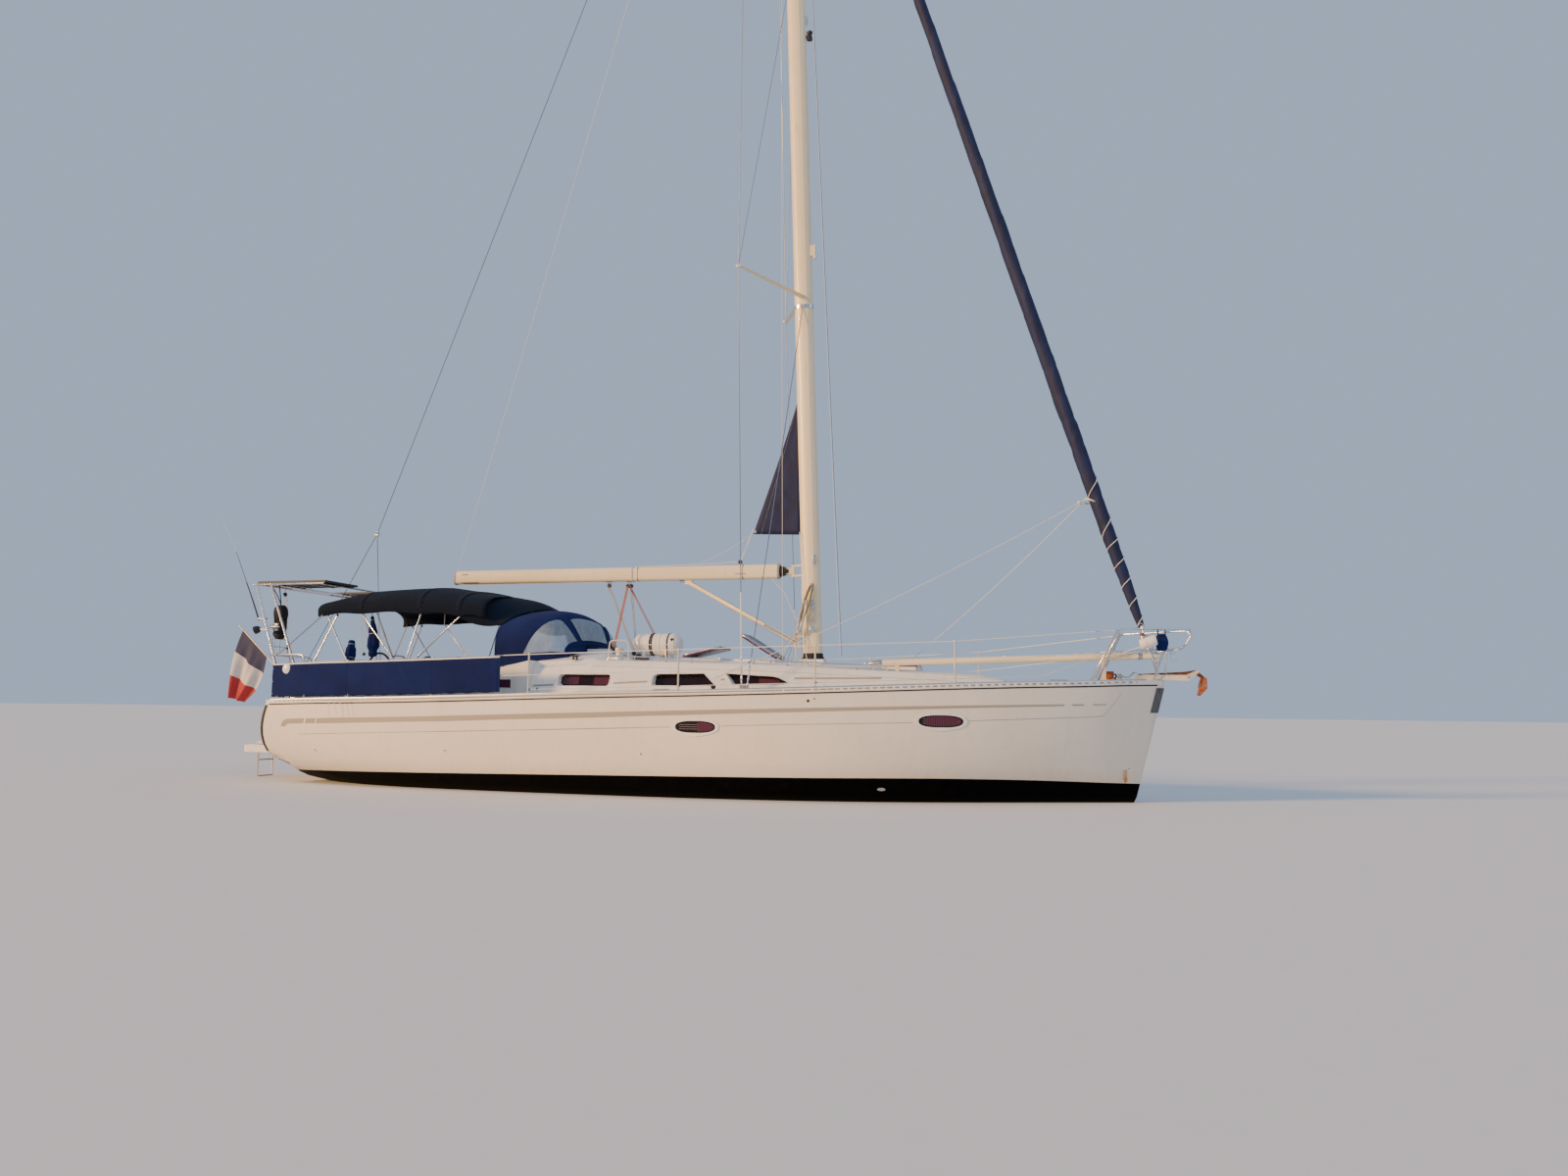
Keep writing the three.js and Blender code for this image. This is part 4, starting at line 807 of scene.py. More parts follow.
def make_materials(canvas, roof, stripe):
    """Every finish: its key, the real material's name, its pattern and the shader's own values."""
    specs = (
        # Polished in the mould: a wet gloss that the sun has dulled in patches, matt paint at its foot
        ("topsides", "sprayed gelcoat over antifouling", topsides_skin, {"IOR": 1.5}),
        # The same gloss on small mouldings: soft highlights, with rain streaks where water runs off
        (
            "gelcoat", "moulded white gelcoat", gelcoat_skin("EAE6DD", "F3F0E9"),
            {"Coat_Weight": 0.15, "IOR": 1.5}
        ),
        # Moulded tread of small pyramids, drawn at 12 mm so that they show: it breaks the gloss up
        ("nonskid", "moulded non-skid gelcoat", nonskid_skin, {"Roughness": 0.62}),
        # Thin flexible tape: flat and a little shinier than the gelcoat it lies on
        ("stripe", "printed vinyl stripe", grained_skin(stripe, stripe, 300.0, 0.0002), {"Roughness": 0.34}),
        # Weathered outdoors: silver over brown, matt, with open grain along the boat
        ("teak", "weathered teak", teak_skin, {"Roughness": 0.72}),
        # Varnish over a dark grain: deep red-brown under a clear gloss
        ("mahogany", "varnished mahogany", varnished_skin, {"Roughness": 0.22, "Coat_Weight": 0.6}),
        # Poured between planks and sanded: dull black lines
        ("caulk", "polysulphide caulk", grained_skin("17171A", "202024"), {"Roughness": 0.6}),
        # Drawn tube, mirror polished: bright lines, tea stained near the welds
        ("steel", "polished stainless steel", steel_skin, {"Metallic": 1.0}),
        # Laid strands, drawn coarse so that they show: a broken, greyer shine than tube has
        ("wire", "stainless wire rope", wire_skin, {"Metallic": 0.9, "Roughness": 0.38}),
        # Sprayed enamel on an extrusion: satin cream, faint orange peel, dirt below each fitting
        ("spar", "enamelled aluminium spar", spar_skin, {"Coat_Weight": 0.1, "IOR": 1.5}),
        # Anodised after drawing: even grey satin with die lines
        ("alloy", "anodised aluminium", drawn_skin("A9ACAF", "BEC1C3", (0.05, 1.0, 1.0)), {"Metallic": 1.0}),
        # Cast sheet: near black, with a clear mirror on its face
        (
            "acrylic",
            "smoked cast acrylic",
            grained_skin("150C12", "24121A", 40.0, 0.0),
            {"Roughness": 0.1, "Specular_IOR_Level": 0.3, "IOR": 1.49},
        ),
        # A drawn curtain close behind cast acrylic: dull red-brown, its folds painted as dark and light bands,
        # under the same clear mirror
        (
            "curtain", "curtain behind cast acrylic", curtain_skin,
            {"Roughness": 0.12, "Specular_IOR_Level": 0.3, "IOR": 1.49}
        ),
        # Rain-washed iron salts in the gelcoat's pores: an orange film, no thickness of its own
        (
            "rust stain", "rust stain on gelcoat", grained_skin("C0762F", "D9A262", 30.0, 0.0),
            {"Roughness": 0.45}
        ),
        # Brushed plate: flat grey, a painted reflection of a dark sea
        (
            "grey plate", "brushed stainless plate", drawn_skin("4E5358", "6D7277", (1.0, 1.0, 0.05)),
            {"Metallic": 0.7}
        ),
        # Satin steel in painted sunlight: cream white with soft die lines
        (
            "pale plate", "satin stainless plate", drawn_skin("CFC8B6", "EDE6D4", (1.0, 1.0, 0.05)),
            {"Metallic": 0.25}
        ),
        # Tinted cast sheet after years of sun: violet, with a hazy shine
        (
            "lid", "violet cast acrylic", grained_skin("43203A", "63365A", 30.0, 0.0),
            {"Roughness": 0.2, "IOR": 1.49}
        ),
        # Pressed flexible sheet: wavy reflections, on a pale blue-grey that is a painted reflection of the sky
        (
            "vinyl", "pressed clear vinyl", grained_skin("8796A8", "A9B7C4", 9.0, 0.006),
            {"Roughness": 0.12, "Alpha": 0.5}
        ),
        # Plain woven acrylic, drawn with 6 mm threads: matt, softly creased, lighter where it faces the sky
        # (partly bleaching, partly a painted sky sheen); the navy one also has patches of painted sunlight
        (
            "canvas", "woven acrylic canvas, navy", canvas_skin(*canvas, linear("22346E")),
            {"Roughness": 0.92, "Specular_IOR_Level": 0.2}
        ),
        (
            "roof canvas", "woven acrylic canvas, dark", canvas_skin(*roof, linear("1B3044")),
            {"Roughness": 0.92, "Specular_IOR_Level": 0.2}
        ),
        # Coated nylon: matt black, with a faint painted sheen where its folds face up
        (
            "cover",
            "coated black nylon",
            canvas_skin(linear("0B0B0E"), linear("131317"), linear("2B2B30")),
            {"Roughness": 0.72},
        ),
        # Folded tape sewn round an edge: ribbed and chalky
        (
            "tape", "woven polyester binding", grained_skin("DEDAD0", "EBE7DE", 260.0, 0.0008),
            {"Roughness": 0.8}
        ),
        # Sewn along the sail as its sunshade: matt navy, creased where it is rolled
        ("strip", "sun strip of woven acrylic", sail_skin("12204E", "0A1230"), {"Roughness": 0.74}),
        # Light bunting in three upright bands: matt, sun faded
        ("ensign", "woven polyester bunting", ensign_skin, {"Roughness": 0.8}),
        # Braided covers, flecks drawn at 9 mm so that they show: soft and matt
        ("white rope", "braided polyester, white", rope_skin("BDB8AC", "E6E2D8"), {"Roughness": 0.8}),
        ("grey rope", "weathered braided polyester", rope_skin("85775F", "B3A68C"), {"Roughness": 0.85}),
        ("blue rope", "braided polyester, blue fleck", rope_skin("2E4C86", "C6C8CC"), {"Roughness": 0.8}),
        ("orange rope", "braided polyester, faded orange", rope_skin("9A4526", "B9744E"), {"Roughness": 0.8}),
        ("navy rope", "braided polyester, navy", rope_skin("171C34", "2C345A"), {"Roughness": 0.8}),
        # Hot-dipped, then worn through: flaking orange scale with grey islands
        ("rust", "rusted galvanised steel", rust_skin, {"Metallic": 0.15, "Roughness": 0.82}),
        # Hot-dipped chain: dull grey crystals
        (
            "zinc", "galvanised steel", grained_skin("8A8C8D", "A3A5A5", 200.0),
            {"Metallic": 0.8, "Roughness": 0.5}
        ),
        # Sand-cast and painted by roller: matt black and lumpy, slimed in patches
        (
            "iron", "antifouled cast iron", grained_skin("121418", "2A2C28", 60.0, 0.004, 6.0),
            {"Roughness": 0.7}
        ),
        # Cast, dulled under water: brown gold with green in its hollows
        (
            "bronze", "nickel bronze", grained_skin("6B6A4C", "A58F5C", 90.0, 0.001, 20.0),
            {"Metallic": 0.85, "Roughness": 0.42}
        ),
        # Injection moulded: black with a soft sheen
        ("black", "moulded black nylon", grained_skin("141416", "1E1E21"), {"Roughness": 0.48}),
        ("rubber", "extruded black rubber", grained_skin("18181A", "242426", 500.0), {"Roughness": 0.7}),
        # Cut silicon behind glass: near black violet, each cell a little different
        ("cell", "silicon cells under glass", cell_skin, {"Roughness": 0.1, "Coat_Weight": 0.5, "IOR": 1.5}),
        ("grey tape", "grey vinyl tape", grained_skin("8F8C88", "9C9995", 120.0, 0.0001), {"Roughness": 0.4}),
        # Stitched hide, handled for years: soft shine on a fine pebble
        (
            "leather", "stitched wheel leather", grained_skin("2C3142", "3A4054", 350.0, 0.001),
            {"Roughness": 0.55}
        ),
        # Moulded lens: hard, clear highlights
        (
            "lamp", "moulded clear polycarbonate", grained_skin("D8DBDD", "E8EAEB", 60.0, 0.0),
            {"Roughness": 0.1}
        ),
        (
            "glass", "glass over a dark display", grained_skin("10151A", "1A2128", 30.0, 0.0),
            {"Roughness": 0.06}
        ),
        ("floor", "matt white studio floor", grained_skin("DCDEDF", "DFE1E2", 20.0, 0.0), {"Roughness": 0.8}),
    )
    for key, name, build, shader in specs:
        MATERIALS[key] = material(name, build, **shader)


# Sizes and colours that a user would change


def length_prop(name, description, default, low=0.0):
    return bpy.props.FloatProperty(
        name=name, description=description, default=default, min=low, unit="LENGTH", precision=4
    )


def colour_prop(name, description, code):
    return bpy.props.FloatVectorProperty(
        name=name, description=description, default=linear(code), size=4, min=0.0, max=1.0, subtype="COLOR"
    )


class YachtSizes(bpy.types.PropertyGroup):
    """Sizes of the parts that are built here."""

    tube: length_prop("Rail tube", "Radius of the rail and frame tubes", 0.0125)
    rope: length_prop("Sheet", "Radius of the sheets and halyards", 0.006)
    line: length_prop("Light line", "Radius of lashings and light lines", 0.0035)
    plank: length_prop("Teak plank", "Width of a teak plank", 0.046)
    seam: length_prop("Teak seam", "Width of the caulk between planks", 0.006)
    cloth: length_prop("Canvas", "Thickness of canopy and rail cloth", 0.003)
    stitch: length_prop("Stitch", "Spacing of the stitches, drawn coarse so that they show", 0.022)
    cell: length_prop("Solar cell", "Side of a solar cell", 0.125)


class YachtColours(bpy.types.PropertyGroup):
    """Colours of the parts that are dyed or painted."""

    canvas: colour_prop("Canvas", "Rail cloths and sprayhood", "0C1846")
    # The canvas in painted sunlight, mixed into it in patches
    canvas_lit: colour_prop("Canvas, lit", "The canvas where the sun has worked on it", "15265E")
    roof: colour_prop("Bimini", "Bimini cloth", "0C1524")
    stripe: colour_prop("Stripe", "Tape stripes on hull and coachroof", "A59C8B")


def sizes():
    return bpy.context.scene.yacht_sizes


def paints():
    return bpy.context.scene.yacht_colours


# The stage


CAMERA = {
    "place": (6.2513, -17.8762, 1.2577),
    "yaw": 15.5054,
    "pitch": 5.9308,
    "roll": 0.6963,
    "lens": 27.049,
    "sensor": 36.0,
}


class YACHT_OT_stage(bpy.types.Operator):
    """Camera at the photograph's view, pale floor at the waterline and soft light"""

    bl_idname = "yacht.stage"
    bl_label = "Stage"

    def execute(self, context):
        scene = context.scene
        data = bpy.data.cameras.new("camera")
        data.sensor_width = CAMERA["sensor"]
        data.lens = CAMERA["lens"]
        data.clip_end = 2000
        camera = bpy.data.objects.new("camera", data)
        scene.collection.objects.link(camera)
        yaw, pitch, roll = (math.radians(CAMERA[k]) for k in ("yaw", "pitch", "roll"))
        ahead = Vector((-math.sin(yaw) * math.cos(pitch), math.cos(yaw) * math.cos(pitch), math.sin(pitch)))
        right = Vector((math.cos(yaw), math.sin(yaw), 0))
        up = right.cross(ahead)
        right, up = (
            right * math.cos(roll) + up * math.sin(roll),
            up * math.cos(roll) - right * math.sin(roll),
        )
        turn = Matrix((right, up, -ahead)).transposed()
        camera.matrix_world = Matrix.Translation(CAMERA["place"]) @ turn.to_4x4()
        scene.camera = camera

        reach = 600
        mesh = bpy.data.meshes.new("floor")
        mesh.from_pydata(
            [(-reach, -reach, 0), (reach, -reach, 0), (reach, reach, 0), (-reach, reach, 0)], [],
            [(0, 1, 2, 3)]
        )
        floor = finished("floor", mesh, "floor", body=None)

        world = bpy.data.worlds.new("studio")
        world.use_nodes = True
        background = world.node_tree.nodes["Background"]
        background.inputs["Color"].default_value = linear("BFD3F0")
        background.inputs["Strength"].default_value = 0.74
        scene.world = world
        for name, towards, energy, code, angle in (
            ("key", (0.78, 0.6, -0.28), 5.3, "FFC57C", 9),
            ("fill", (-0.7, 0.5, -0.6), 0.35, "CFDDF2", 40),
        ):
            lamp = bpy.data.lights.new(name, "SUN")
            lamp.energy = energy
            lamp.color = linear(code)[:3]
            lamp.angle = math.radians(angle)
            lit = bpy.data.objects.new(name, lamp)
            lit.rotation_euler = Vector(towards).to_track_quat("-Z", "Y").to_euler()
            scene.collection.objects.link(lit)
        return {"FINISHED"}


class YACHT_OT_finishes(bpy.types.Operator):
    """The materials and the rules that the pieces use"""

    bl_idname = "yacht.finishes"
    bl_label = "Finishes and rules"

    def execute(self, context):
        chosen = paints()
        make_materials(
            (tuple(chosen.canvas), tuple(chosen.canvas_lit)), (tuple(chosen.roof),) * 2, tuple(chosen.stripe)
        )
        make_rules()
        return {"FINISHED"}


# Pieces


def along(table, x):
    """The value at x in a table of (x, value), on straight lines."""
    i = max((k for k in range(len(table) - 1) if table[k][0] <= x), default=0)
    (a, low), (b, high) = table[i], table[i + 1]
    return low + (high - low) * (x - a) / (b - a)


def stops_of(low, high, step=0.12):
    count = max(int(abs(high - low) / step), 1)
    return [low + (high - low) * i / count for i in range(count + 1)]


def patch(shape, name, side, outline, out=0.003):
    """A thin flat shape laid on a node's side, from a convex outline of (x, z)."""
    centre = (sum(p[0] for p in outline) / len(outline), sum(p[1] for p in outline) / len(outline))
    rows = []
    for share, lift in ((0.02, out), (0.5, out), (1.0, out), (1.0, -0.002)):
        row = []
        for x, z in outline:
            px, pz = centre[0] + (x - centre[0]) * share, centre[1] + (z - centre[1]) * share
            row.append(Vector((px, side_of(name, px, pz, side) + side * lift, pz)))
        rows.append(row)
    shape.grid(rows, closed=True, capped=True)


def ribbon(shape, name, side, xs, centre, half, out=0.003):
    """A tape along a node's side. Centre gives its height at x, and half its half-width."""
    rows = []
    for x in xs:
        z, h = centre(x), half(x)
        a, b = side_of(name, x, z - h, side), side_of(name, x, z + h, side)
        rows.append(
            [
                (x, a - side * 0.002, z - h), (x, a + side * out, z - h), (x, b + side * out, z + h),
                (x, b - side * 0.002, z + h)
            ]
        )
    shape.grid(rows, closed=True, capped=True)


def oval(x, z, wide, high, count=28, power=2.0):
    """An oval outline in side view; a higher power squares it."""
    made = []
    for t in turns(count):
        c, s = math.cos(t), math.sin(t)
        r = (abs(c) ** power + abs(s) ** power) ** (-1 / power)
        made.append((x + wide * r * c, z + high * r * s))
    return made


def rim(shape, name, side, outline, low, high, proud=0.008):
    """A raised frame round an outline on a node's side, from one scale of the outline to another."""
    centre = (sum(p[0] for p in outline) / len(outline), sum(p[1] for p in outline) / len(outline))
    rows = []
    for x, z in outline + outline[:1]:
        row = []
        away = Vector((x - centre[0], z - centre[1])).normalized()
        for step, lift in ((low, -0.002), (low + 0.002, proud), (high - 0.004, proud), (high, -0.002)):
            px, pz = x + away[0] * step, z + away[1] * step
            row.append(Vector((px, side_of(name, px, pz, side) + side * lift, pz)))
        rows.append(row)
    shape.grid(rows, closed=True)


STRIPE_Z = (
    (-6.6, 0.982), (-5.85, 1.008), (-3.82, 1.064), (-1.97, 1.128), (1.89, 1.259), (3.22, 1.302),
    (4.51, 1.343), (6.2, 1.394)
)
STRIPE_HALF = (
    (-6.6, 0.041), (-5.8, 0.041), (-1.97, 0.037), (1.89, 0.028), (4.5, 0.017), (5.65, 0.011), (6.2, 0.007)
)
CREASE_SPAN = (-6.219, 6.4)
CREASE_Z = (
    (-6.22, 0.791), (-1.97, 0.931), (1.89, 1.062), (3.62, 1.112), (6.09, 1.222), (6.17, 1.242), (6.4, 1.56)
)
PORTLIGHTS = ((0.62, 1.012), (4.0, 1.133))
# The broken tail of the stripe, each an outline in side view, and the stretches of its long run
STRIPE_MARKS = (
    [(-6.587, 0.908), (-6.496, 0.907), (-6.445, 0.948), (-6.459, 1.029), (-6.553, 0.985)],
    [(-6.46, 0.95), (-6.109, 0.963), (-6.081, 1.044), (-6.46, 1.029)],
    [(-6.067, 0.963), (-5.877, 0.966), (-5.846, 1.047), (-6.04, 1.044)],
    [(-5.844, 0.967), (-5.7, 0.971), (-5.7, 1.052), (-5.814, 1.047)],
)
STRIPE_RUNS = ((-5.7, 5.625), (5.729, 5.886), (6.005, 6.19))
# Skin fittings: x, z and radius
SKIN_FITTINGS = (
    (6.485, 0.487, 0.02), (2.221, 1.392, 0.016), (2.31, 1.423, 0.008),
    (-3.4, 0.6, 0.022), (-0.2, 0.62, 0.022), (-5.9, 0.55, 0.024),
)
# What goes through the transom: y, z and radius
TRANSOM_OUTLETS = ((-1.05, 0.42, 0.055), (-0.62, 0.86, 0.018), (0.62, 0.86, 0.018), (1.05, 0.46, 0.03))
# Rust runs on the stem: x, lowest point and half-width
RUST_RUNS = ((6.43, 0.285, 0.014), (6.452, 0.3, 0.008), (6.405, 0.33, 0.006))
RUST_TOP = 0.47


def portlights(dark, creases, rims, panes, drapes, side):
    """The portlights of one side: panes, curtains, frames and three fine lines."""
    for (x, z), drawn in zip(PORTLIGHTS, (0.03, -0.2)):
        shape = oval(x, z, 0.3, 0.088, power=2.5)
        patch(panes, "hull", side, shape, 0.004)
        inner = oval(x, z, 0.27, 0.066, power=2.5)
        patch(drapes, "hull", side, [(max(px, x + drawn), pz) for px, pz in inner], 0.0055)
        rim(rims, "hull", side, shape, -0.006, 0.05, 0.012)
        rim(dark, "hull", side, shape, -0.016, -0.004, 0.009)
        for k in range(3):
            ribbon(
                creases, "hull", side, stops_of(x - 0.24, x + 0.24), lambda px: z - 0.03 + 0.03 * k,
                lambda px: 0.002, 0.0052
            )


def corner_strip(dark, side):
    """The dark strip down one corner of the transom."""
    corner = []
    for i in range(25):
        z = 1.245 - 1.1 * i / 24
        x = -7.03 + 0.0004 * (1000 * z - 780) ** 2 / 1000 + 1.2 * max(0.0, 0.45 - z)
        wide = 0.062 - 0.02 * i / 24
        corner.append(
            [
                Vector((px, side_of("hull", px, z, side) + side * lift, z))
                for px, lift in (
                    (x + 0.004, -0.003), (x + 0.006, 0.004), (x + wide, 0.004), (x + wide + 0.004, -0.002)
                )
            ]
        )
    dark.grid(corner)


def rust_runs(rust):
    """Rust that has run down the stem."""
    for k, (x, low, half) in enumerate(RUST_RUNS):
        count = 10
        rows = []
        for i in range(count + 1):
            z = low + (RUST_TOP - low) * i / count
            w = half * (1.1 - 0.5 * i / count + 0.12 * math.sin(7 * i + k))
            rows.append(
                [
                    (px, side_of("hull", px, z, -1) - lift, z)
                    for px, lift in (
                        (x - w, 0.0005), (x - w * 0.6, 0.0022), (x + w * 0.6, 0.0022), (x + w, 0.0005)
                    )
                ]
            )
        rust.grid(rows)


def stem_plate(steel):
    """The steel plate that guards the stem from the anchor."""
    plate = []
    for i in range(15):
        z = 1.285 + 0.355 * i / 14
        row = []
        for k in range(17):
            y = 0.11 * (k / 8 - 1)
            row.append(
                hit("hull", (8.0, y, z), ASTERN)[0]
                + Vector((0.004, 0.003 * (1 if y > 0 else -1 if y < 0 else 0), 0))
            )
        plate.append(row)
    guard = Shape()
    guard.grid(plate)
    made = guard.piece("stem_plate", "grey plate", slot="stainless", outward=False)
    walled(made, 0.003)
    steel.tube([p[8] + Vector((0.006, 0, 0)) for p in plate], 0.006, 8)


def transom_fittings(steel):
    """The transom's outlets and its two grab handles."""
    for y, z, r in TRANSOM_OUTLETS:
        at = hit("hull", (-9.0, y, z), AHEAD)[0]
        steel.turned(
            [
                (r * 0.8, -0.01), (r * 0.8, 0.03), (r, 0.032), (r * 1.05, 0.004), (r * 1.4, 0.002),
                (r * 1.4, -0.008)
            ],
            at, ASTERN, 22
        )
    for y in (-0.55, 0.55):
        at = hit("hull", (-9.0, y, 1.0), AHEAD)[0]
        steel.tube(
            [
                at + Vector((0.004, 0, -0.09)), at + Vector((-0.05, 0, -0.09)),
                at + Vector((-0.05, 0, 0.09)), at + Vector((0.004, 0, 0.09))
            ],
            0.011, 10
        )


class YACHT_OT_hull(bpy.types.Operator):
    """Topsides with stripes, portlights, seams, a painted shadow under the toe rail, stem plate and skin
    fittings
    """

    bl_idname = "yacht.hull"
    bl_label = "Hull"

    def execute(self, context):
        refined("hull", "topsides", angle=38)
        stripes, creases, rims, panes, drapes, dark, steel, white, rust = (Shape() for _ in range(9))

        for _, side in SIDES:
            for mark in STRIPE_MARKS:
                patch(stripes, "hull", side, mark)
            for a, b in STRIPE_RUNS:
                ribbon(
                    stripes, "hull", side, stops_of(a, b),
                    lambda x: along(STRIPE_Z, x), lambda x: along(STRIPE_HALF, x), 0.0035,
                )
            # the crease stops short of each portlight
            low, high = CREASE_SPAN
            gaps = [low] + [v for x, _ in PORTLIGHTS for v in (x - 0.375, x + 0.375)] + [high]
            for a, b in zip(gaps[::2], gaps[1::2]):
                ribbon(
                    creases, "hull", side, stops_of(a, b, 0.08),
                    lambda x: along(CREASE_Z, x), lambda x: 0.0035, 0.0025,
                )
            portlights(dark, creases, rims, panes, drapes, side)
            # painted shadow under the toe rail: a dark band along the joint with the deck
            ribbon(
                dark, "hull", side, stops_of(-6.86, 6.9, 0.1), lambda x: joint_at(x) - 0.012,
                lambda x: 0.01, 0.004
            )
            corner_strip(dark, side)
            # skin fittings above the water
            for x, z, r in SKIN_FITTINGS:
                y = side_of("hull", x, z, side)
                ring = white if x > 6 or z < 1 else dark
                ring.turned(
                    [
                        (r * 0.5, -0.004), (r * 0.55, 0.004), (r, 0.006), (r * 1.25, 0.003),
                        (r * 1.3, -0.006)
                    ],
                    (x, y, z), (0, side, 0), 18
                )
                dark.turned(disc(r * 0.52, -0.004, 0.003), (x, y, z), (0, side, 0), 12)
            patch(steel, "hull", side, oval(3.169, 0.185, 0.055, 0.022), 0.01)
        rust_runs(rust)
        stripes.piece("hull_stripes", "stripe", slot="topsides")
        creases.piece("hull_fine_lines", "grey tape", slot="topsides")
        rims.piece("portlight_frames", "gelcoat", slot="topsides", angle=50)
        panes.piece("portlight_panes", "acrylic", slot="smoked_acrylic")
        drapes.piece("portlight_curtains", "curtain", slot="smoked_acrylic")
        dark.piece("hull_seams_and_painted_shadow", "rubber", slot="topsides")
        white.piece("skin_fittings", "gelcoat", slot="topsides", angle=50)
        rust.piece("stem_rust", "rust stain", slot="topsides")
        stem_plate(steel)
        transom_fittings(steel)
        steel.piece("hull_steelwork", "steel", slot="stainless", angle=50)
        return {"FINISHED"}


class YACHT_OT_underwater(bpy.types.Operator):
    """Keel, saildrive, propeller, rudder and their fittings"""

    bl_idname = "yacht.underwater"
    bl_label = "Under the water"

    def execute(self, context):
        refined("keel", "iron", angle=40)
        refined("saildrive", "iron", angle=40)
        refined("propeller", "bronze", angle=40, bevel=0.001)
        refined("rudder", "iron", angle=40)
        low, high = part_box("propeller")
        hub = Vector((low[0], (low[1] + high[1]) / 2, (low[2] + high[2]) / 2))
        nut = Shape()
        nut.turned(
            [(0, -0.035), (0.012, -0.034), (0.024, -0.02), (0.03, 0.0), (0.03, 0.012), (0, 0.012)], hub,
            AHEAD, 20
        )
        nut.piece("propeller_anode", "zinc", "propeller", "bronze")
        seams = Shape()
        for _, side in SIDES:
            for z in (-0.72, -0.8):
                bolt = (-2.06, side_of("saildrive", -2.06, z, side), z)
                seams.turned(
                    [(0, -0.004), (0.011, -0.003), (0.011, 0.005), (0, 0.006)], bolt, (0, side, 0), 6
                )
            ring = [
                (x, side_of("rudder", x, -1.0, side) + side * 0.002, -1.0)
                for x in stops_of(-6.1, -5.7, 0.05)
            ]
            seams.tube(ring, 0.0025, 6)
        seams.piece("underwater_bolts", "zinc", slot="antifouling")
        return {"FINISHED"}


# Canvas work

# Rows of the canopies: x, crown, half-width, edge height
BIMINI = (
    (-6.35, 3.04, 1.23, 2.7),
    (-5.5, 3.21, 1.27, 2.74),
    (-4.4, 3.255, 1.3, 2.72),
    (-3.7, 3.17, 1.29, 2.68),
    (-3.25, 3.085, 1.26, 2.65),
)
HOOD = (
    (-3.01, 2.83, 1.33, 1.88), (-2.5, 2.86, 1.31, 1.96), (-2.12, 2.74, 1.22, 1.985), (-1.9, 2.3, 1.1, 2.005)
)
CANVAS_INSET = 0.014  # the sheet lies inside the solid's outer face, on its bows


def eased(table, x):
    """A table's row at any x, on a smooth line through its rows."""
    i = max(k for k in range(len(table) - 1) if table[k][0] <= x + 1e-9)
    a, b = table[i], table[i + 1]
    before, after = table[max(i - 1, 0)], table[min(i + 2, len(table) - 1)]
    span = b[0] - a[0]
    t = (x - a[0]) / span
    row = []
    for k in range(1, len(a)):
        m0 = (b[k] - before[k]) / (b[0] - before[0]) * span
        m1 = (after[k] - a[k]) / (after[0] - a[0]) * span
        row.append(
            (2 * t ** 3 - 3 * t ** 2 + 1) * a[k]
            + (t ** 3 - 2 * t ** 2 + t) * m0
            + (3 * t ** 2 - 2 * t ** 3) * b[k]
            + (t ** 3 - t ** 2) * m1
        )
    return row


def spread(points, shares):
    """Points at given shares of a line's length."""
    reach = [0.0]
    for a, b in zip(points, points[1:]):
        reach.append(reach[-1] + (b - a).length)
    made = []
    for share in shares:
        want = share * reach[-1]
        i = next((k for k in range(1, len(reach)) if reach[k] >= want - 1e-9), len(reach) - 1)
        step = reach[i] - reach[i - 1]
        made.append(points[i - 1].lerp(points[i], (want - reach[i - 1]) / step if step else 0))
    return made


def hoop_line(x, crown, half, edge, inset, lean=0.0):
    """The line of a canopy across the boat, from the starboard edge to the port one."""
    rise = crown - edge
    side = [
        (-half + inset, edge),
        (-half + inset, edge + 0.45 * rise),
        (-0.8 * half, edge + 0.8 * rise - inset),
        (-0.4 * half, edge + 0.96 * rise - inset),
    ]
    line = side + [(0, crown - inset)] + [(-y, z) for y, z in reversed(side)]
    return curve_points([(x + lean * (crown - z), y, z) for y, z in line], 6)


def cloth(name, rows, materials, held, rests_on, body="hull", slot="navy_canvas", thickness=None, pick=None):
    """A sheet of cloth from rows of points, with its thickness."""
    shape = Shape()
    made = shape.grid(rows)
    if pick:
        for i, (a, b) in enumerate(zip(made, made[1:])):
            for j in range(len(a) - 1):
                face = shape.bm.faces.get([a[j], a[j + 1], b[j + 1], b[j]])
                face.material_index = pick(i, j)
    area = sum(face.calc_area() for face in shape.bm.faces)
    width = max(sum((b - a).length for a, b in zip(row, row[1:])) for row in rows)
    columns = list(zip(*rows))
    length = max(sum((b - a).length for a, b in zip(column, column[1:])) for column in columns)
    piece = shape.piece(name, materials, body, slot, outward=False, angle=60)
    walled(piece, thickness or sizes().cloth)
    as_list(rests_on)
    return piece


def steps_with(low, high, count, extra=()):
    """Even steps from low to high, with extra stops among them."""
    even = [low + (high - low) * i / count for i in range(count + 1)]
    gap = (high - low) / count * 0.4
    return sorted([e for e in even if all(abs(e - x) > gap for x in extra)] + list(extra))


def bimini_point(x, share):
    """A point on the bimini's cloth, share across from starboard."""
    bows = [row[0] for row in BIMINI]
    i = max(k for k in range(len(bows) - 1) if bows[k] <= x + 1e-9)
    between = math.sin(math.pi * (x - bows[i]) / (bows[i + 1] - bows[i])) ** 2
    crown, half, edge = eased(BIMINI, x)
    hang = abs(2 * share - 1) ** 3
    line = hoop_line(x, crown, half, edge, CANVAS_INSET)
    point = spread(line, [share])[0]
    return point + Vector((0, 0, between * (0.03 * hang - 0.012 * (1 - hang))))


def hood_point(x, share, out=0.0):
    crown, half, edge = eased(HOOD, x)
    return spread(hoop_line(x, crown, half, edge, CANVAS_INSET - out), [share])[0]


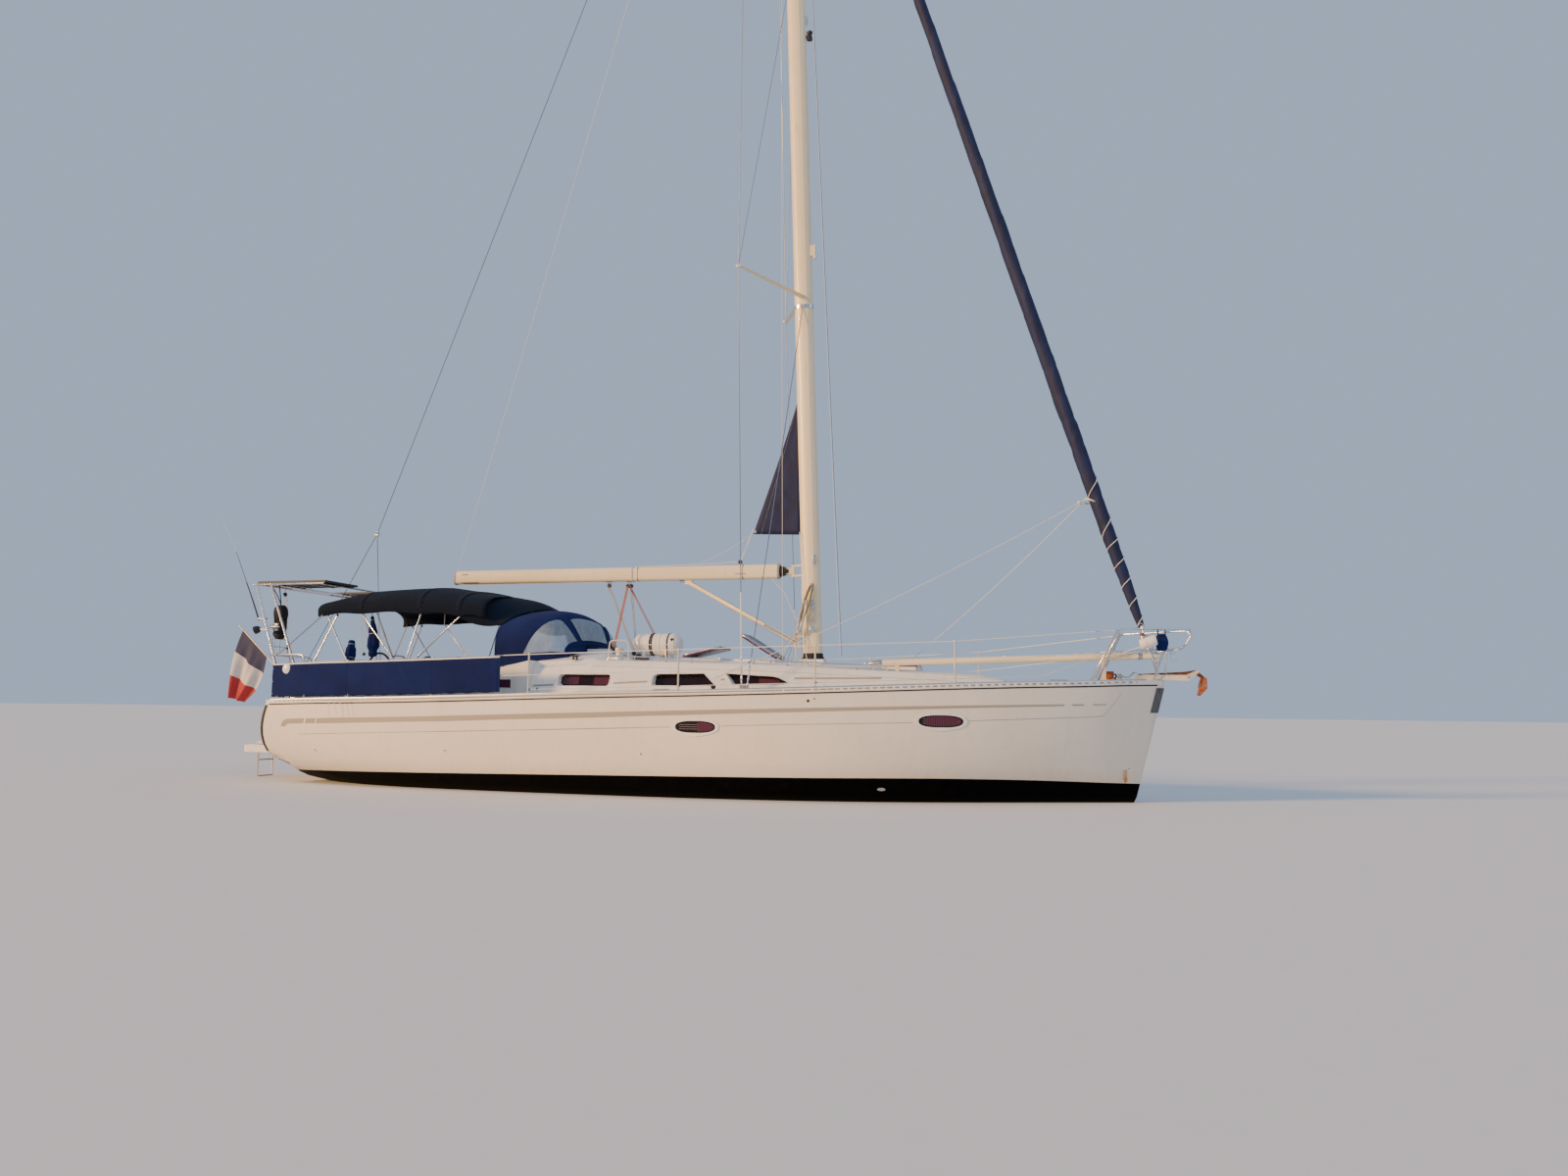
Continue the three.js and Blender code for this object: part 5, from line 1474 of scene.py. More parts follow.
class YACHT_OT_bimini(bpy.types.Operator):
    """Bimini cloth over its bows, with seams, and the panel that joins it to the sprayhood"""

    bl_idname = "yacht.bimini"
    bl_label = "Bimini"

    def execute(self, context):
        shares = [i / 40 for i in range(41)]
        xs = steps_with(BIMINI[0][0], BIMINI[-1][0], 40, [row[0] for row in BIMINI[1:-1]])
        rows = [[bimini_point(x, s) for s in shares] for x in xs]
        top = cloth("bimini_cloth", rows, "roof canvas", "stretched", ["bimini_frame_finished"])
        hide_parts("bimini_canopy")
        refined("bimini_frame", "steel", angle=80)

        lift = Vector((0, 0, 0.004))
        seams = Shape()
        lines = []
        for x in [row[0] for row in BIMINI[1:-1]]:
            for d in (-0.045, 0.045):
                lines.append([bimini_point(x + d, s / 60) + lift for s in range(61)])
            seams.grid([[bimini_point(x + d, s / 60) + lift for s in range(61)] for d in (-0.05, 0.05)])
        for share, out in ((0.012, -0.004), (0.988, 0.004)):
            stops = steps_with(BIMINI[0][0], BIMINI[-1][0], 60)
            lines.append([bimini_point(x, share) + Vector((0, out, 0)) for x in stops])
        sleeve = seams.piece("bimini_seams", "roof canvas", slot="navy_canvas", outward=False)
        walled(sleeve, 0.002)
        repeated(
            "bimini_stitches", "pegs", "navy rope", lines, slot="navy_canvas",
            Spacing=sizes().stitch, Radius=0.0016, Length=0.012,
        )

        joint = []
        for i in range(17):
            t = i / 16
            row = []
            for k in range(41):
                s = k / 40
                out = abs(2 * s - 1)
                x = -3.32 - 0.42 * out ** 3
                start = spread(hoop_line(x, *eased(BIMINI, x), 0.03), [s])[0]
                end = hood_point(-2.66 - 0.32 * out ** 2, 0.185 + 0.63 * s, 0.012)
                crown = 4 * t * (1 - t)
                row.append(start.lerp(end, t) + Vector((0, 0, crown * (0.05 - 0.13 * out ** 2))))
            joint.append(row)
        cloth("hood_joining_cloth", joint, "roof canvas", "stretched", ["bimini_cloth", "sprayhood_cloth"])
        return {"FINISHED"}


# Clear panels of the sprayhood: corners as x and the share of the way across
SIDE_PANEL = ((-2.56, 0.03), (-2.3, 0.165), (-2.15, 0.25), (-1.925, 0.245), (-1.925, 0.04))
HOOD_WINDOWS = (
    SIDE_PANEL,
    tuple((x, 1 - share) for x, share in SIDE_PANEL),
    ((-2.115, 0.315), (-1.925, 0.3), (-1.925, 0.7), (-2.115, 0.685)),
)


def inside(outline, x, y):
    """Whether a point lies in an outline, by counting the sides that it passes."""
    odd = False
    for (ax, ay), (bx, by) in zip(outline, outline[1:] + outline[:1]):
        if (ay > y) != (by > y) and x < ax + (bx - ax) * (y - ay) / (by - ay):
            odd = not odd
    return odd


class YACHT_OT_sprayhood(bpy.types.Operator):
    """Sprayhood with clear panels in bound frames, on its two bows"""

    bl_idname = "yacht.sprayhood"
    bl_label = "Sprayhood"

    def execute(self, context):
        xs = steps_with(HOOD[0][0], HOOD[-1][0], 74)
        shares = steps_with(0.0, 1.0, 150)

        def pick(i, j):
            if i + 1 >= len(xs):
                return 0
            x, s = (xs[i] + xs[i + 1]) / 2, (shares[j] + shares[j + 1]) / 2
            return int(any(inside(outline, x, s) for outline in HOOD_WINDOWS))

        rows = []
        for x in xs:
            row = []
            for s in shares:
                between = max(0.0, math.sin(math.pi * (x + 3.01) / 0.51)) if x < -2.5 else 0.0
                row.append(hood_point(x, s) - Vector((0, 0, 0.008 * between)))
            rows.append(row)
        # below its front edge the cloth drops to the roof, clear of the sliding hatch
        fall = []
        for x, y, z in rows[-1]:
            foot = 2.246 if abs(y) < 0.4 else top_of("coachroof", -1.893, y, 2.35) + 0.004
            fall.append(Vector((-1.889, y, min(z, foot))))
        rows += [[a.lerp(b, t) for a, b in zip(rows[-1], fall)] for t in (0.33, 0.66, 1.0)]
        hood = cloth(
            "sprayhood_cloth", rows, ["canvas", "vinyl"], "stretched",
            ["sprayhood_frame_finished"], pick=pick,
        )
        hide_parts("sprayhood")
        refined("sprayhood_frame", "steel", angle=80)
        binding = Shape()
        lines = []
        for outline in HOOD_WINDOWS:
            ring = [
                hood_point(ax + (bx - ax) * i / 12, ay + (by - ay) * i / 12, 0.004)
                for (ax, ay), (bx, by) in zip(outline, outline[1:] + outline[:1])
                for i in range(12)
            ]
            binding.tube(ring, 0.014, 8, closed=True, flat=0.35)
            lines.append(ring + [ring[0]])
        for x in (-3.01, -1.9):
            binding.tube([hood_point(x, s / 60) for s in range(61)], 0.012, 8, flat=0.6)
        binding.tube([p + Vector((0.003, 0, 0)) for p in fall], 0.012, 8, flat=0.5)
        binding.piece("sprayhood_binding", "canvas", slot="navy_canvas")
        repeated(
            "sprayhood_stitches", "pegs", "tape", lines, slot="navy_canvas",
            Spacing=sizes().stitch, Radius=0.0014, Length=0.009,
        )
        return {"FINISHED"}


CLOTH_SPAN = (-6.84, -2.52)
STANCHIONS = (4.18, 2.3, 0.33, -2.04, -3.7, -5.3)
STANCHION_HEIGHT = 0.625
HULL_ROWS = (
    (-6.93, 1.64, 1.265), (-6.0, 1.8, 1.29), (-4.4, 1.99, 1.32), (-2.95, 2.085, 1.36),
    (-1.03, 2.15, 1.42), (0.4, 2.16, 1.455), (1.89, 2.085, 1.5), (3.1, 1.88, 1.545),
    (4.2, 1.56, 1.59), (5.1, 1.2, 1.625), (5.85, 0.83, 1.65), (6.45, 0.47, 1.675), (7.0, 0.022, 1.695),
)
RAIL_INSET = 0.062


def beam_at(x):
    return eased(HULL_ROWS, x)[0]


def joint_at(x):
    return eased(HULL_ROWS, x)[1]


def rail_y(x):
    return beam_at(x) - RAIL_INSET


def deck_at(x, y):
    return joint_at(x) + 0.03 + 0.04 * max(beam_at(x) - abs(y), 0)


class YACHT_OT_weather_cloths(bpy.types.Operator):
    """Weather cloths laced to the rails, with a white top binding and lashings to the toe rail"""

    bl_idname = "yacht.weather_cloths"
    bl_label = "Weather cloths"

    def execute(self, context):
        aft, fore = CLOTH_SPAN
        for name, side in SIDES:
            posts = [aft] + [x for x in reversed(STANCHIONS) if aft < x < fore] + [fore]

            def point(x, v):
                y = rail_y(x) + 0.0193
                low, high = joint_at(x) + 0.095, deck_at(x, y) + STANCHION_HEIGHT - 0.03
                i = max(k for k in range(len(posts) - 1) if posts[k] <= x + 1e-9)
                t = (x - posts[i]) / (posts[i + 1] - posts[i])
                belly = math.sin(math.pi * t) * math.sin(math.pi * min(v * 0.9 + 0.1, 1)) * 0.022
                middle = math.sin(math.pi * v)
                slack = 0.01 * math.sin(7.1 * x + 5.0 * v + side) * middle * math.sin(math.pi * t)
                away = ((x + 4.15) * 1.3 + (v - 0.6) * 0.55) / 0.05
                fold = 0.014 * math.exp(-(away ** 2)) * middle
                scallop = 0.012 * math.sin(math.pi * ((x * 3.3) % 1.0)) * (1 - v) ** 6
                out = max(belly + slack, 0.0) + fold
                return Vector((x, side * (y + out), low + (high - low) * v + scallop))

            xs = steps_with(aft, fore, 90, posts[1:-1])
            rows = [[point(x, v / 14) for x in xs] for v in range(15)]
            sheet = cloth("weather_cloth_" + name + "_cloth", rows, "canvas", "hung", ["guard_rail_" + name])
            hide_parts("weather_cloth_" + name)
            trim = Shape()
            trim.tube([point(x, 1.0) for x in xs], 0.011, 8, flat=0.8)
            trim.piece("weather_cloth_binding_" + name, "tape", slot="navy_canvas")
            hem = Shape()
            for x in (aft, -5.3, -3.7, fore):
                hem.tube(
                    [point(x, v / 14) + Vector((0, side * 0.002, 0)) for v in range(15)], 0.016, 6,
                    flat=0.25
                )
            hem.piece("weather_cloth_hems_" + name, "canvas", slot="navy_canvas")
            lash, pale = Shape(), Shape()
            for k in range(15):
                x = aft + 0.12 + k * (fore - aft - 0.2) / 14
                foot = Vector((x + 0.015, side * (beam_at(x) - 0.018), joint_at(x) + 0.062))
                top = point(x, 0.045) + Vector((0, side * 0.004, 0))
                loop = pale if k in (0, 2, 5) else lash
                loop.tube([top, top.lerp(foot, 0.5) + Vector((0, side * 0.004, 0)), foot], 0.0022, 6)
                loop.tube([top + Vector((-0.012, 0, 0)), foot + Vector((-0.02, 0, 0))], 0.0022, 6)
                lash.turned(
                    disc(0.008, 0, 0.003, 0.003),
                    top - Vector((0, side * 0.002, 0)), (0, side, 0), 10,
                )
            # tied to the aft post
            for v in (0.12, 0.5, 0.88):
                end = point(aft, v)
                pale.tube([end + Vector((0.01, side * 0.006, 0)), end + Vector((-0.03, 0, -0.01))], 0.003, 6)
            lash.piece("weather_cloth_lashings_" + name, "navy rope", slot="navy_canvas")
            pale.piece("weather_cloth_ties_" + name, "white rope", slot="navy_canvas")
            badge = Shape()
            spot = point(aft + 0.3, 0.86)
            disk = [(0, 0.002), (0.07, 0.002), (0.078, 0.008), (0.066, 0.016), (0, 0.018)]
            badge.turned(disk, spot, (0, side, 0), 24)
            badge.piece("weather_cloth_patch_" + name, "gelcoat", slot="navy_canvas", angle=50)
            stitches = [[point(x, v) + Vector((0, side * 0.003, 0)) for x in xs] for v in (0.05, 0.93)]
            repeated(
                "weather_cloth_stitches_" + name, "pegs", "navy rope", stitches, slot="navy_canvas",
                Spacing=sizes().stitch, Radius=0.0014, Length=0.012,
            )
        return {"FINISHED"}


# Mast, boom, rigging and sails

RAKE = -0.0364
MAST_CHORD, MAST_WIDTH = 0.31, 0.165
MASTHEAD = (0.549, 0.0, 21.2)
BOOM_END = (-4.55, 0.0, 3.45)
TRAVELLER_X, TRAVELLER_HALF = -1.13, 0.62
SPREADER_TIPS = {"lower": (0.89, 1.37, 7.99), "upper": (0.79, 1.06, 13.97)}
MAST_BOOT_Z = 2.062
CHAINPLATE = (1.14, 1.57)
BRIDLE = (-6.82, 1.32)
STAY_FOOT, STAY_HEAD = Vector((6.914, 0, 1.85)), Vector((1.277, 0, 19.48))


def mast_x(z):
    return 1.78 + RAKE * (z - 2.05)


def mast_side(z, turn, out=0.0):
    """A point on the mast's skin at a height. Turn 0 is forward, 90 to port."""
    angle = math.radians(turn)
    return Vector(
        (
            mast_x(z) + (MAST_CHORD / 2 + out) * math.cos(angle),
            (MAST_WIDTH / 2 + out) * math.sin(angle),
            z,
        )
    )


def pulley(shape, centre, across, radius):
    """A block: a sheave between two cheeks."""
    across = Vector(across).normalized()
    for low, high, r in ((-0.013, -0.009, 1.0), (-0.006, 0.006, 0.86), (0.009, 0.013, 1.0)):
        shape.turned(disc(radius * r, low, high), centre, across, 16)
    shape.turned(disc(radius * 0.3, -0.017, 0.017), centre, across, 10)


def turnbuckle(shape, foot, head, start, size=1.0):
    """A rigging screw along a wire, its lower end at a distance from the foot."""
    foot, axis = Vector(foot), (Vector(head) - Vector(foot)).normalized()
    profile = (
        (0, 0), (9, 0), (11, 20), (9, 34), (8, 60), (13, 66), (15, 80), (12, 92), (12, 210),
        (15, 222), (13, 236), (8, 242), (8, 300), (11, 310), (10, 350), (7, 362), (0, 362),
    )
    shape.turned([(r * size / 1000, start + h * size / 1000) for r, h in profile], foot, axis, 12)


def lashed(points, radius, pitch, start, end, step=0.02):
    """A line wound round a path: points, the path's radius, the pitch and where it starts and ends."""
    a, b = Vector(points[0]), Vector(points[-1])
    axis = (b - a).normalized()
    aside = axis.orthogonal().normalized()
    across = axis.cross(aside)
    made = []
    count = max(int((end - start) / step), 2)
    for i in range(count + 1):
        d = start + (end - start) * i / count
        r = radius(d) if callable(radius) else radius
        turn = 2 * math.pi * d / pitch
        made.append(a + axis * d + (aside * math.cos(turn) + across * math.sin(turn)) * r)
    return made


def free_line(name, finish, points, radius, body="hull"):
    """A rope with a free end."""
    path = [Vector(p) for p in points]
    shape = Shape()
    shape.tube(path, radius, 8)
    made = shape.piece(name, finish, body, "sailcloth")
    return made


def hank(name, finish, top, foot, out, loops, wide, radius=0.0052):
    """A rope hung in long coils from one point, its loops side by side, ending in a short tail."""
    top, foot, out = Vector(top), Vector(foot), Vector(out).normalized()
    reach = (foot - top).length / 2
    down = (foot - top).normalized()
    aside = down.cross(out).normalized()
    path = []
    for i in range(loops * 26 + 9):
        turn = i / 26
        angle = 2 * math.pi * turn
        tall = reach * (0.95 + 0.05 * math.sin(1.9 * turn))
        half = wide / 2 * (1 + 0.25 * math.sin(2.3 * turn + 1.0))
        path.append(
            top
            + down * (reach - tall * math.cos(angle))
            + aside * half * math.sin(angle)
            + out * (2.35 * radius * turn + radius)
        )
    return free_line(name, finish, path, radius)


def mast_slot():
    """The sail's slot down the mast's aft face, and the rubber boot at the deck."""
    # The slot is drawn as a black strip: painted shade inside the open slot
    slot = Shape()
    slot.smooth = False
    low, high = 2.25, 21.1
    rows = []
    for i in range(40):
        z = low + (high - low) * i / 39
        x = mast_x(z) - MAST_CHORD / 2 * math.cos(math.pi / 14) - 0.0012
        rows.append([(x + 0.004, -0.01, z), (x, -0.01, z), (x, 0.01, z), (x + 0.004, 0.01, z)])
    slot.grid(rows)
    slot.piece("mast_sail_slot", "black", slot="spar_paint")

    trim = Shape()
    boot = ((0.0, 0.002), (0.0, 0.02), (0.028, 0.018), (0.036, 0.006), (0.085, 0.004), (0.088, 0.001))
    rows = [[mast_side(MAST_BOOT_Z + h, t * 10, out) for t in range(36)] for h, out in boot]
    trim.grid(rows, closed=True)
    trim.piece("mast_boot", "rubber", slot="spar_paint")


def mast_fittings():
    """Spreader roots, exits of the halyards, rails and winch bases on the mast."""
    gear = Shape()
    for z in (7.74, 13.74):
        rows = [
            [mast_side(z + h, t * 12, out) for t in range(30)]
            for h, out in ((-0.03, 0.001), (-0.03, 0.006), (0.03, 0.006), (0.03, 0.001))
        ]
        gear.grid(rows, closed=True)
    for z, turn in ((12.64, 0), (19.62, 0), (3.62, 60), (3.62, -60), (2.9, 75), (2.9, -75)):
        at = mast_side(z, turn, 0.004)
        out = (mast_side(z, turn, 0.05) - at).normalized()
        gear.block(at + Vector((-0.02, -0.03, -0.075)), at + Vector((0.02, 0.03, 0.075)))
        gear.turned([(0, 0), (0.022, 0), (0.022, 0.03), (0.014, 0.036), (0, 0.036)], at, out, 14)
    for side in (-1, 1):
        for z in (2.66, 2.72):
            gear.tube(
                [
                    mast_side(z, side * 62, 0.002), mast_side(z, side * 66, 0.03),
                    mast_side(z, side * 84, 0.04), mast_side(z, side * 94, 0.002)
                ],
                0.006, 8
            )
        spot = mast_side(2.52, side * 78, 0)
        gear.turned(
            [
                (0, 0), (0.045, 0.002), (0.045, 0.02), (0.032, 0.03), (0.03, 0.075), (0.044, 0.088),
                (0.044, 0.098), (0.02, 0.104), (0, 0.104)
            ],
            spot, (0, side, 0), 20
        )
    gear.piece("mast_fittings", "steel", slot="stainless", bevel=0.002)


def mast_lights():
    """Lamps of the mast and the wind vane over it."""
    lamps = Shape()
    lamps.turned(
        [(0, 0), (0.036, 0), (0.042, 0.01), (0.042, 0.05), (0.03, 0.062), (0, 0.064)],
        mast_side(8.6, 0, 0.05), DOWN, 16
    )
    lamps.turned(
        [(0, 0), (0.03, 0), (0.036, 0.012), (0.036, 0.07), (0.026, 0.084), (0, 0.086)],
        (mast_x(21.2) - 0.02, 0.05, 21.23), UP, 16
    )
    lamps.piece("mast_lamps", "lamp", slot="spar_paint")
    radar = Shape()
    radar.turned(
        [(0, 0), (0.05, 0), (0.05, 0.02), (0.035, 0.09), (0.05, 0.12), (0.05, 0.14), (0, 0.14)],
        mast_side(12.3, 0, 0.055), UP, 18
    )
    radar.block(
        mast_side(12.36, 0, -0.02) + Vector((0, -0.02, -0.02)),
        mast_side(12.36, 0, 0.05) + Vector((0, 0.02, 0.02))
    )
    radar.piece("mast_steaming_light", "black", slot="spar_paint", bevel=0.001)
    vane = Shape()
    tip = Vector((mast_x(21.2) + 0.46, 0, 21.62))
    vane.turned([(0, -0.05), (0.012, -0.05), (0.014, 0.02), (0.006, 0.05), (0, 0.05)], tip, UP, 12)
    for t in turns(3):
        end = tip + Vector((0.07 * math.cos(t), 0.07 * math.sin(t), -0.03))
        vane.tube([tip + Vector((0, 0, -0.03)), end], 0.003, 6)
        vane.ball(end, 0.018, (1, 1, 0.8), 6, 10)
    vane.tube([tip + Vector((-0.11, 0, 0.03)), tip + Vector((0.13, 0, 0.03))], 0.004, 6)
    vane.prism(
        [
            tip + Vector((-0.11, 0, 0.0)), tip + Vector((-0.2, 0, -0.01)), tip + Vector((-0.2, 0, 0.07)),
            tip + Vector((-0.11, 0, 0.06))
        ],
        (0, 0.002, 0)
    )
    vane.piece("mast_wind_vane", "black", slot="spar_paint")


def spreaders():
    """The four spreaders with the covers over their ends."""
    ends = Shape()
    for name, side in SIDES:
        for level, (x, y, z) in SPREADER_TIPS.items():
            refined(f"spreader_{level}_{name}", "spar", angle=50, bevel=0.004)
            rows = []
            for d, grow in ((-0.05, 0.001), (-0.045, 0.006), (0.004, 0.008), (0.012, 0.002)):
                w, h, out = 0.04 + grow, 0.015 + grow, side * (y - 0.012 + d)
                rows.append([(x + w * math.cos(t), out, z + h * math.sin(t)) for t in turns(16)])
            ends.grid(rows, closed=True, capped=True)
    ends.piece("spreader_end_covers", "tape", slot="spar_paint", angle=60)


def mast_ropes():
    """Halyards down the mast, and their fan to the blocks at its foot."""
    feet = Shape()
    ropes = {colour + " rope": Shape() for colour in ("white", "blue", "orange", "navy", "grey")}
    thick, thin = sizes().rope, sizes().line

    def fall(finish, top, foot, radius):
        ropes[finish].tube(sagging(top, foot, 0.02, 24), radius, 7)

    fall("white rope", mast_side(19.6, 0, 0.03), (2.24, -0.12, 2.13), thin)
    fall("navy rope", mast_side(19.6, 20, 0.03), (2.2, 0.16, 2.12), thin)
    fall("blue rope", mast_side(12.64, -30, 0.03), mast_side(2.7, -70, 0.045), thin)
    fall("white rope", mast_side(20.9, -80, 0.02), mast_side(2.76, -86, 0.045), thin)
    fall("orange rope", mast_side(20.9, 80, 0.02), mast_side(2.76, 86, 0.045), thin)
    fall("white rope", mast_side(20.7, -110, 0.015), (CHAINPLATE[0] + 0.35, -0.75, 2.02), thin)
    # falls that gather at the mast's foot and fan out to their blocks on the roof
    knot = Vector((1.585, -0.105, 2.5))
    for k, (finish, x, y) in enumerate(
        (
            ("grey rope", 1.22, -0.46), ("white rope", 1.29, -0.4), ("grey rope", 1.36, -0.34),
            ("orange rope", 1.43, -0.28), ("grey rope", 1.5, -0.3), ("blue rope", 1.57, -0.34),
            ("grey rope", 1.66, -0.26), ("white rope", 1.75, -0.24),
        )
    ):
        foot = Vector((x, y, top_of("coachroof", x, y) + 0.02))
        start = knot + Vector((0.008 * (k - 4), -0.006 * (k % 3), 0.02 * (k % 4)))
        ropes[finish].tube(sagging(start, foot, 0.012 * (k % 3), 10), thick * 0.8, 7)
        block = [(0, -0.004), (0.022, -0.004), (0.022, 0.012), (0.01, 0.022), (0, 0.024)]
        feet.turned(block, foot - Vector((0, 0, 0.02)), UP, 14)
    for side in (-1, 1):
        ropes["white rope"].tube(
            [
                mast_side(4.06, side * 140, 0.04), mast_side(2.85, side * 120, 0.04),
                (1.56, side * 0.21, 2.075)
            ],
            thick, 7
        )
    feet.piece("mast_foot_blocks", "steel", slot="stainless")
    for finish, shape in ropes.items():
        shape.piece("mast_ropes_" + finish.split()[0], finish, slot="sailcloth")


def halyard_coils():
    """Spare halyard in long coils, each one rope hung from its cleat."""
    out = Vector((-0.1, -1, 0))
    hank("halyard_coil_upper", "grey rope", (1.8, -0.107, 3.24), (1.62, -0.125, 2.62), out, 6, 0.07, 0.006)
    hank(
        "halyard_coil_lower", "white rope", (1.715, -0.118, 2.98), (1.575, -0.135, 2.46), out, 6, 0.064,
        0.0055
    )
    hank(
        "halyard_coil_port", "blue rope", (1.74, 0.112, 3.05), (1.68, 0.12, 2.5), Vector((-0.1, 1, 0)), 5,
        0.06
    )


class YACHT_OT_mast(bpy.types.Operator):
    """Mast with its slot, boot, lights, rope coils and masthead gear, and the spreaders"""

    bl_idname = "yacht.mast"
    bl_label = "Mast and spreaders"

    def execute(self, context):
        refined("mast", "spar", angle=42, bevel=0.002)
        mast_slot()
        mast_fittings()
        mast_lights()
        spreaders()
        mast_ropes()
        halyard_coils()
        return {"FINISHED"}


def rounded(point, z0):
    """A point moved out from the boom's line onto its squared section, with room for a rope."""
    x, y, z = point
    z -= z0
    k = (abs(y / 0.076) ** 4 + abs(z / 0.122) ** 4) ** -0.25
    return (x, y * k, z0 + z * k)


def boom_spar():
    """The boom's end castings, slots, bails and blocks."""
    x0, _, z0 = BOOM_END
    steel, black, dark = Shape(), Shape(), Shape()
    for x, way in ((x0, -1), (1.22, 1)):
        rows = []
        for d, shrink in ((0.03, -0.003), (0.0, -0.003), (-0.006, 0.004), (-0.012, 0.02)):
            w, h = 0.07 - shrink, 0.116 - shrink
            ring = []
            for t in turns(24):
                c, s = math.cos(t), math.sin(t)
                r = (abs(c / w) ** 4 + abs(s / h) ** 4) ** -0.25
                ring.append((x - way * d, r * c, z0 + r * s))
            rows.append(ring)
        dark.grid(rows, closed=True, capped=True)
    for dz in (-0.05, 0.05):
        pulley(steel, (x0 + 0.006, 0, z0 + dz), TO_PORT, 0.035)
    dark.piece("boom_end_castings", "grey tape", "boom", "spar_paint", angle=40)
    slot = Shape()
    slot.block((x0 + 0.1, -0.007, z0 + 0.1145), (1.15, 0.007, z0 + 0.1175))
    slot.block((x0 + 0.14, -0.074, z0 - 0.098), (x0 + 0.46, -0.0702, z0 - 0.088))
    for x in (-1.18, 0.62):
        slot.block((x - 0.004, -0.0712, z0 - 0.1), (x + 0.004, 0.0712, z0 + 0.1))
        slot.block((x - 0.004, -0.055, z0 - 0.1172), (x + 0.004, 0.055, z0 + 0.1172))
    slot.piece("boom_slots", "black", "boom", "spar_paint")
    for x in (-1.34, -1.7, -0.42):
        steel.tube(
            [
                (x - 0.03, 0, z0 - 0.115), (x - 0.03, 0, z0 - 0.145), (x + 0.03, 0, z0 - 0.145),
                (x + 0.03, 0, z0 - 0.115)
            ],
            0.005, 8
        )
        black.block((x - 0.05, -0.02, z0 - 0.121), (x + 0.05, 0.02, z0 - 0.1155))
    steel.block((0.5, -0.02, z0 + 0.1155), (0.62, 0.02, z0 + 0.128))
    pulley(black, (0.56, 0, z0 + 0.165), TO_PORT, 0.034)
    blocks = [(-1.31, -0.19), (-1.37, -0.19), (-1.7, -0.18)]
    for x, dz in blocks:
        pulley(black, (x, 0, z0 + dz), TO_PORT, 0.034)
        steel.tube([(x, 0, z0 + dz + 0.03), (x, 0, z0 - 0.14)], 0.005, 6)
    for side in (-1, 1):
        steel.tube(
            [
                (x0 + 0.16, side * 0.07, z0 + 0.04), (x0 + 0.16, side * 0.086, z0 + 0.05),
                (x0 + 0.26, side * 0.086, z0 + 0.05), (x0 + 0.26, side * 0.07, z0 + 0.04)
            ],
            0.005, 8
        )
        steel.tube(
            [
                (0.5, side * 0.07, z0 - 0.03), (0.5, side * 0.09, z0 - 0.03),
                (0.66, side * 0.09, z0 - 0.03), (0.66, side * 0.07, z0 - 0.03)
            ],
            0.005, 8
        )
    steel.piece("boom_fittings", "steel", "boom", "stainless")
    black.piece("boom_blocks", "black", "boom", "spar_paint", bevel=0.001)


def mainsheet():
    """The mainsheet, from the boom down to the traveller on the coachroof."""
    z0 = BOOM_END[2]
    car_x, span = TRAVELLER_X, TRAVELLER_HALF
    gear = Shape()
    track = Shape()
    rows = [
        [
            (car_x + dx, y, top_of("coachroof", car_x, y) + dz)
            for dx, dz in ((-0.02, 0.0), (-0.02, 0.028), (0.02, 0.028), (0.02, 0.0))
        ]
        for y in (-span + 2 * span * i / 24 for i in range(25))
    ]
    track.grid(rows, closed=True, capped=True)
    track.piece("traveller_track", "alloy", slot="stainless")
    base = top_of("coachroof", car_x, 0.0) + 0.03
    gear.block((car_x - 0.045, -0.07, base), (car_x + 0.045, 0.07, base + 0.03))
    for y in (-0.035, 0.0, 0.035):
        pulley(gear, (car_x, y, base + 0.07), TO_PORT, 0.036)
    for side in (-1, 1):
        end = top_of("coachroof", car_x, side * span)
        gear.block((car_x - 0.03, side * span - 0.02, end), (car_x + 0.03, side * span + 0.02, end + 0.045))
    gear.piece("traveller_car", "black", slot="spar_paint", bevel=0.002)
    # falls of the sheet: rope, its radius, the block on the boom and the place of its foot on the roof
    anchors = Shape()
    for name, finish, radius, head, foot in (
        ("starboard", "orange rope", 0.0095, (-1.37, 0, z0 - 0.18), (-1.37, -0.5)),
        ("port", "blue rope", 0.0075, (-1.31, 0, z0 - 0.21), (-1.4, 0.5)),
        ("fore", "orange rope", 0.0065, (-1.34, 0, z0 - 0.19), (-0.82, 0.3)),
        ("aft", "grey rope", 0.0065, (-1.7, 0, z0 - 0.19), (car_x, -0.25)),
    ):
        top = top_of("coachroof", *foot)
        pulley(anchors, (*foot, top + 0.075), TO_PORT, 0.032)
        anchors.tube([(*foot, top - 0.004), (*foot, top + 0.05)], 0.009, 8)
        falls = Shape()
        for dx in (-0.012, 0.012):
            start = Vector((foot[0] + dx, foot[1], top + 0.1))
            falls.tube(sagging(Vector(head) + Vector((dx, 0, 0)), start, 0.0, 16), radius, 7)
        made = falls.piece("mainsheet_" + name, finish, None, "sailcloth")
        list(foot)
        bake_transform(made)
        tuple(head)
    anchors.piece("mainsheet_feet", "black", slot="spar_paint", bevel=0.001)


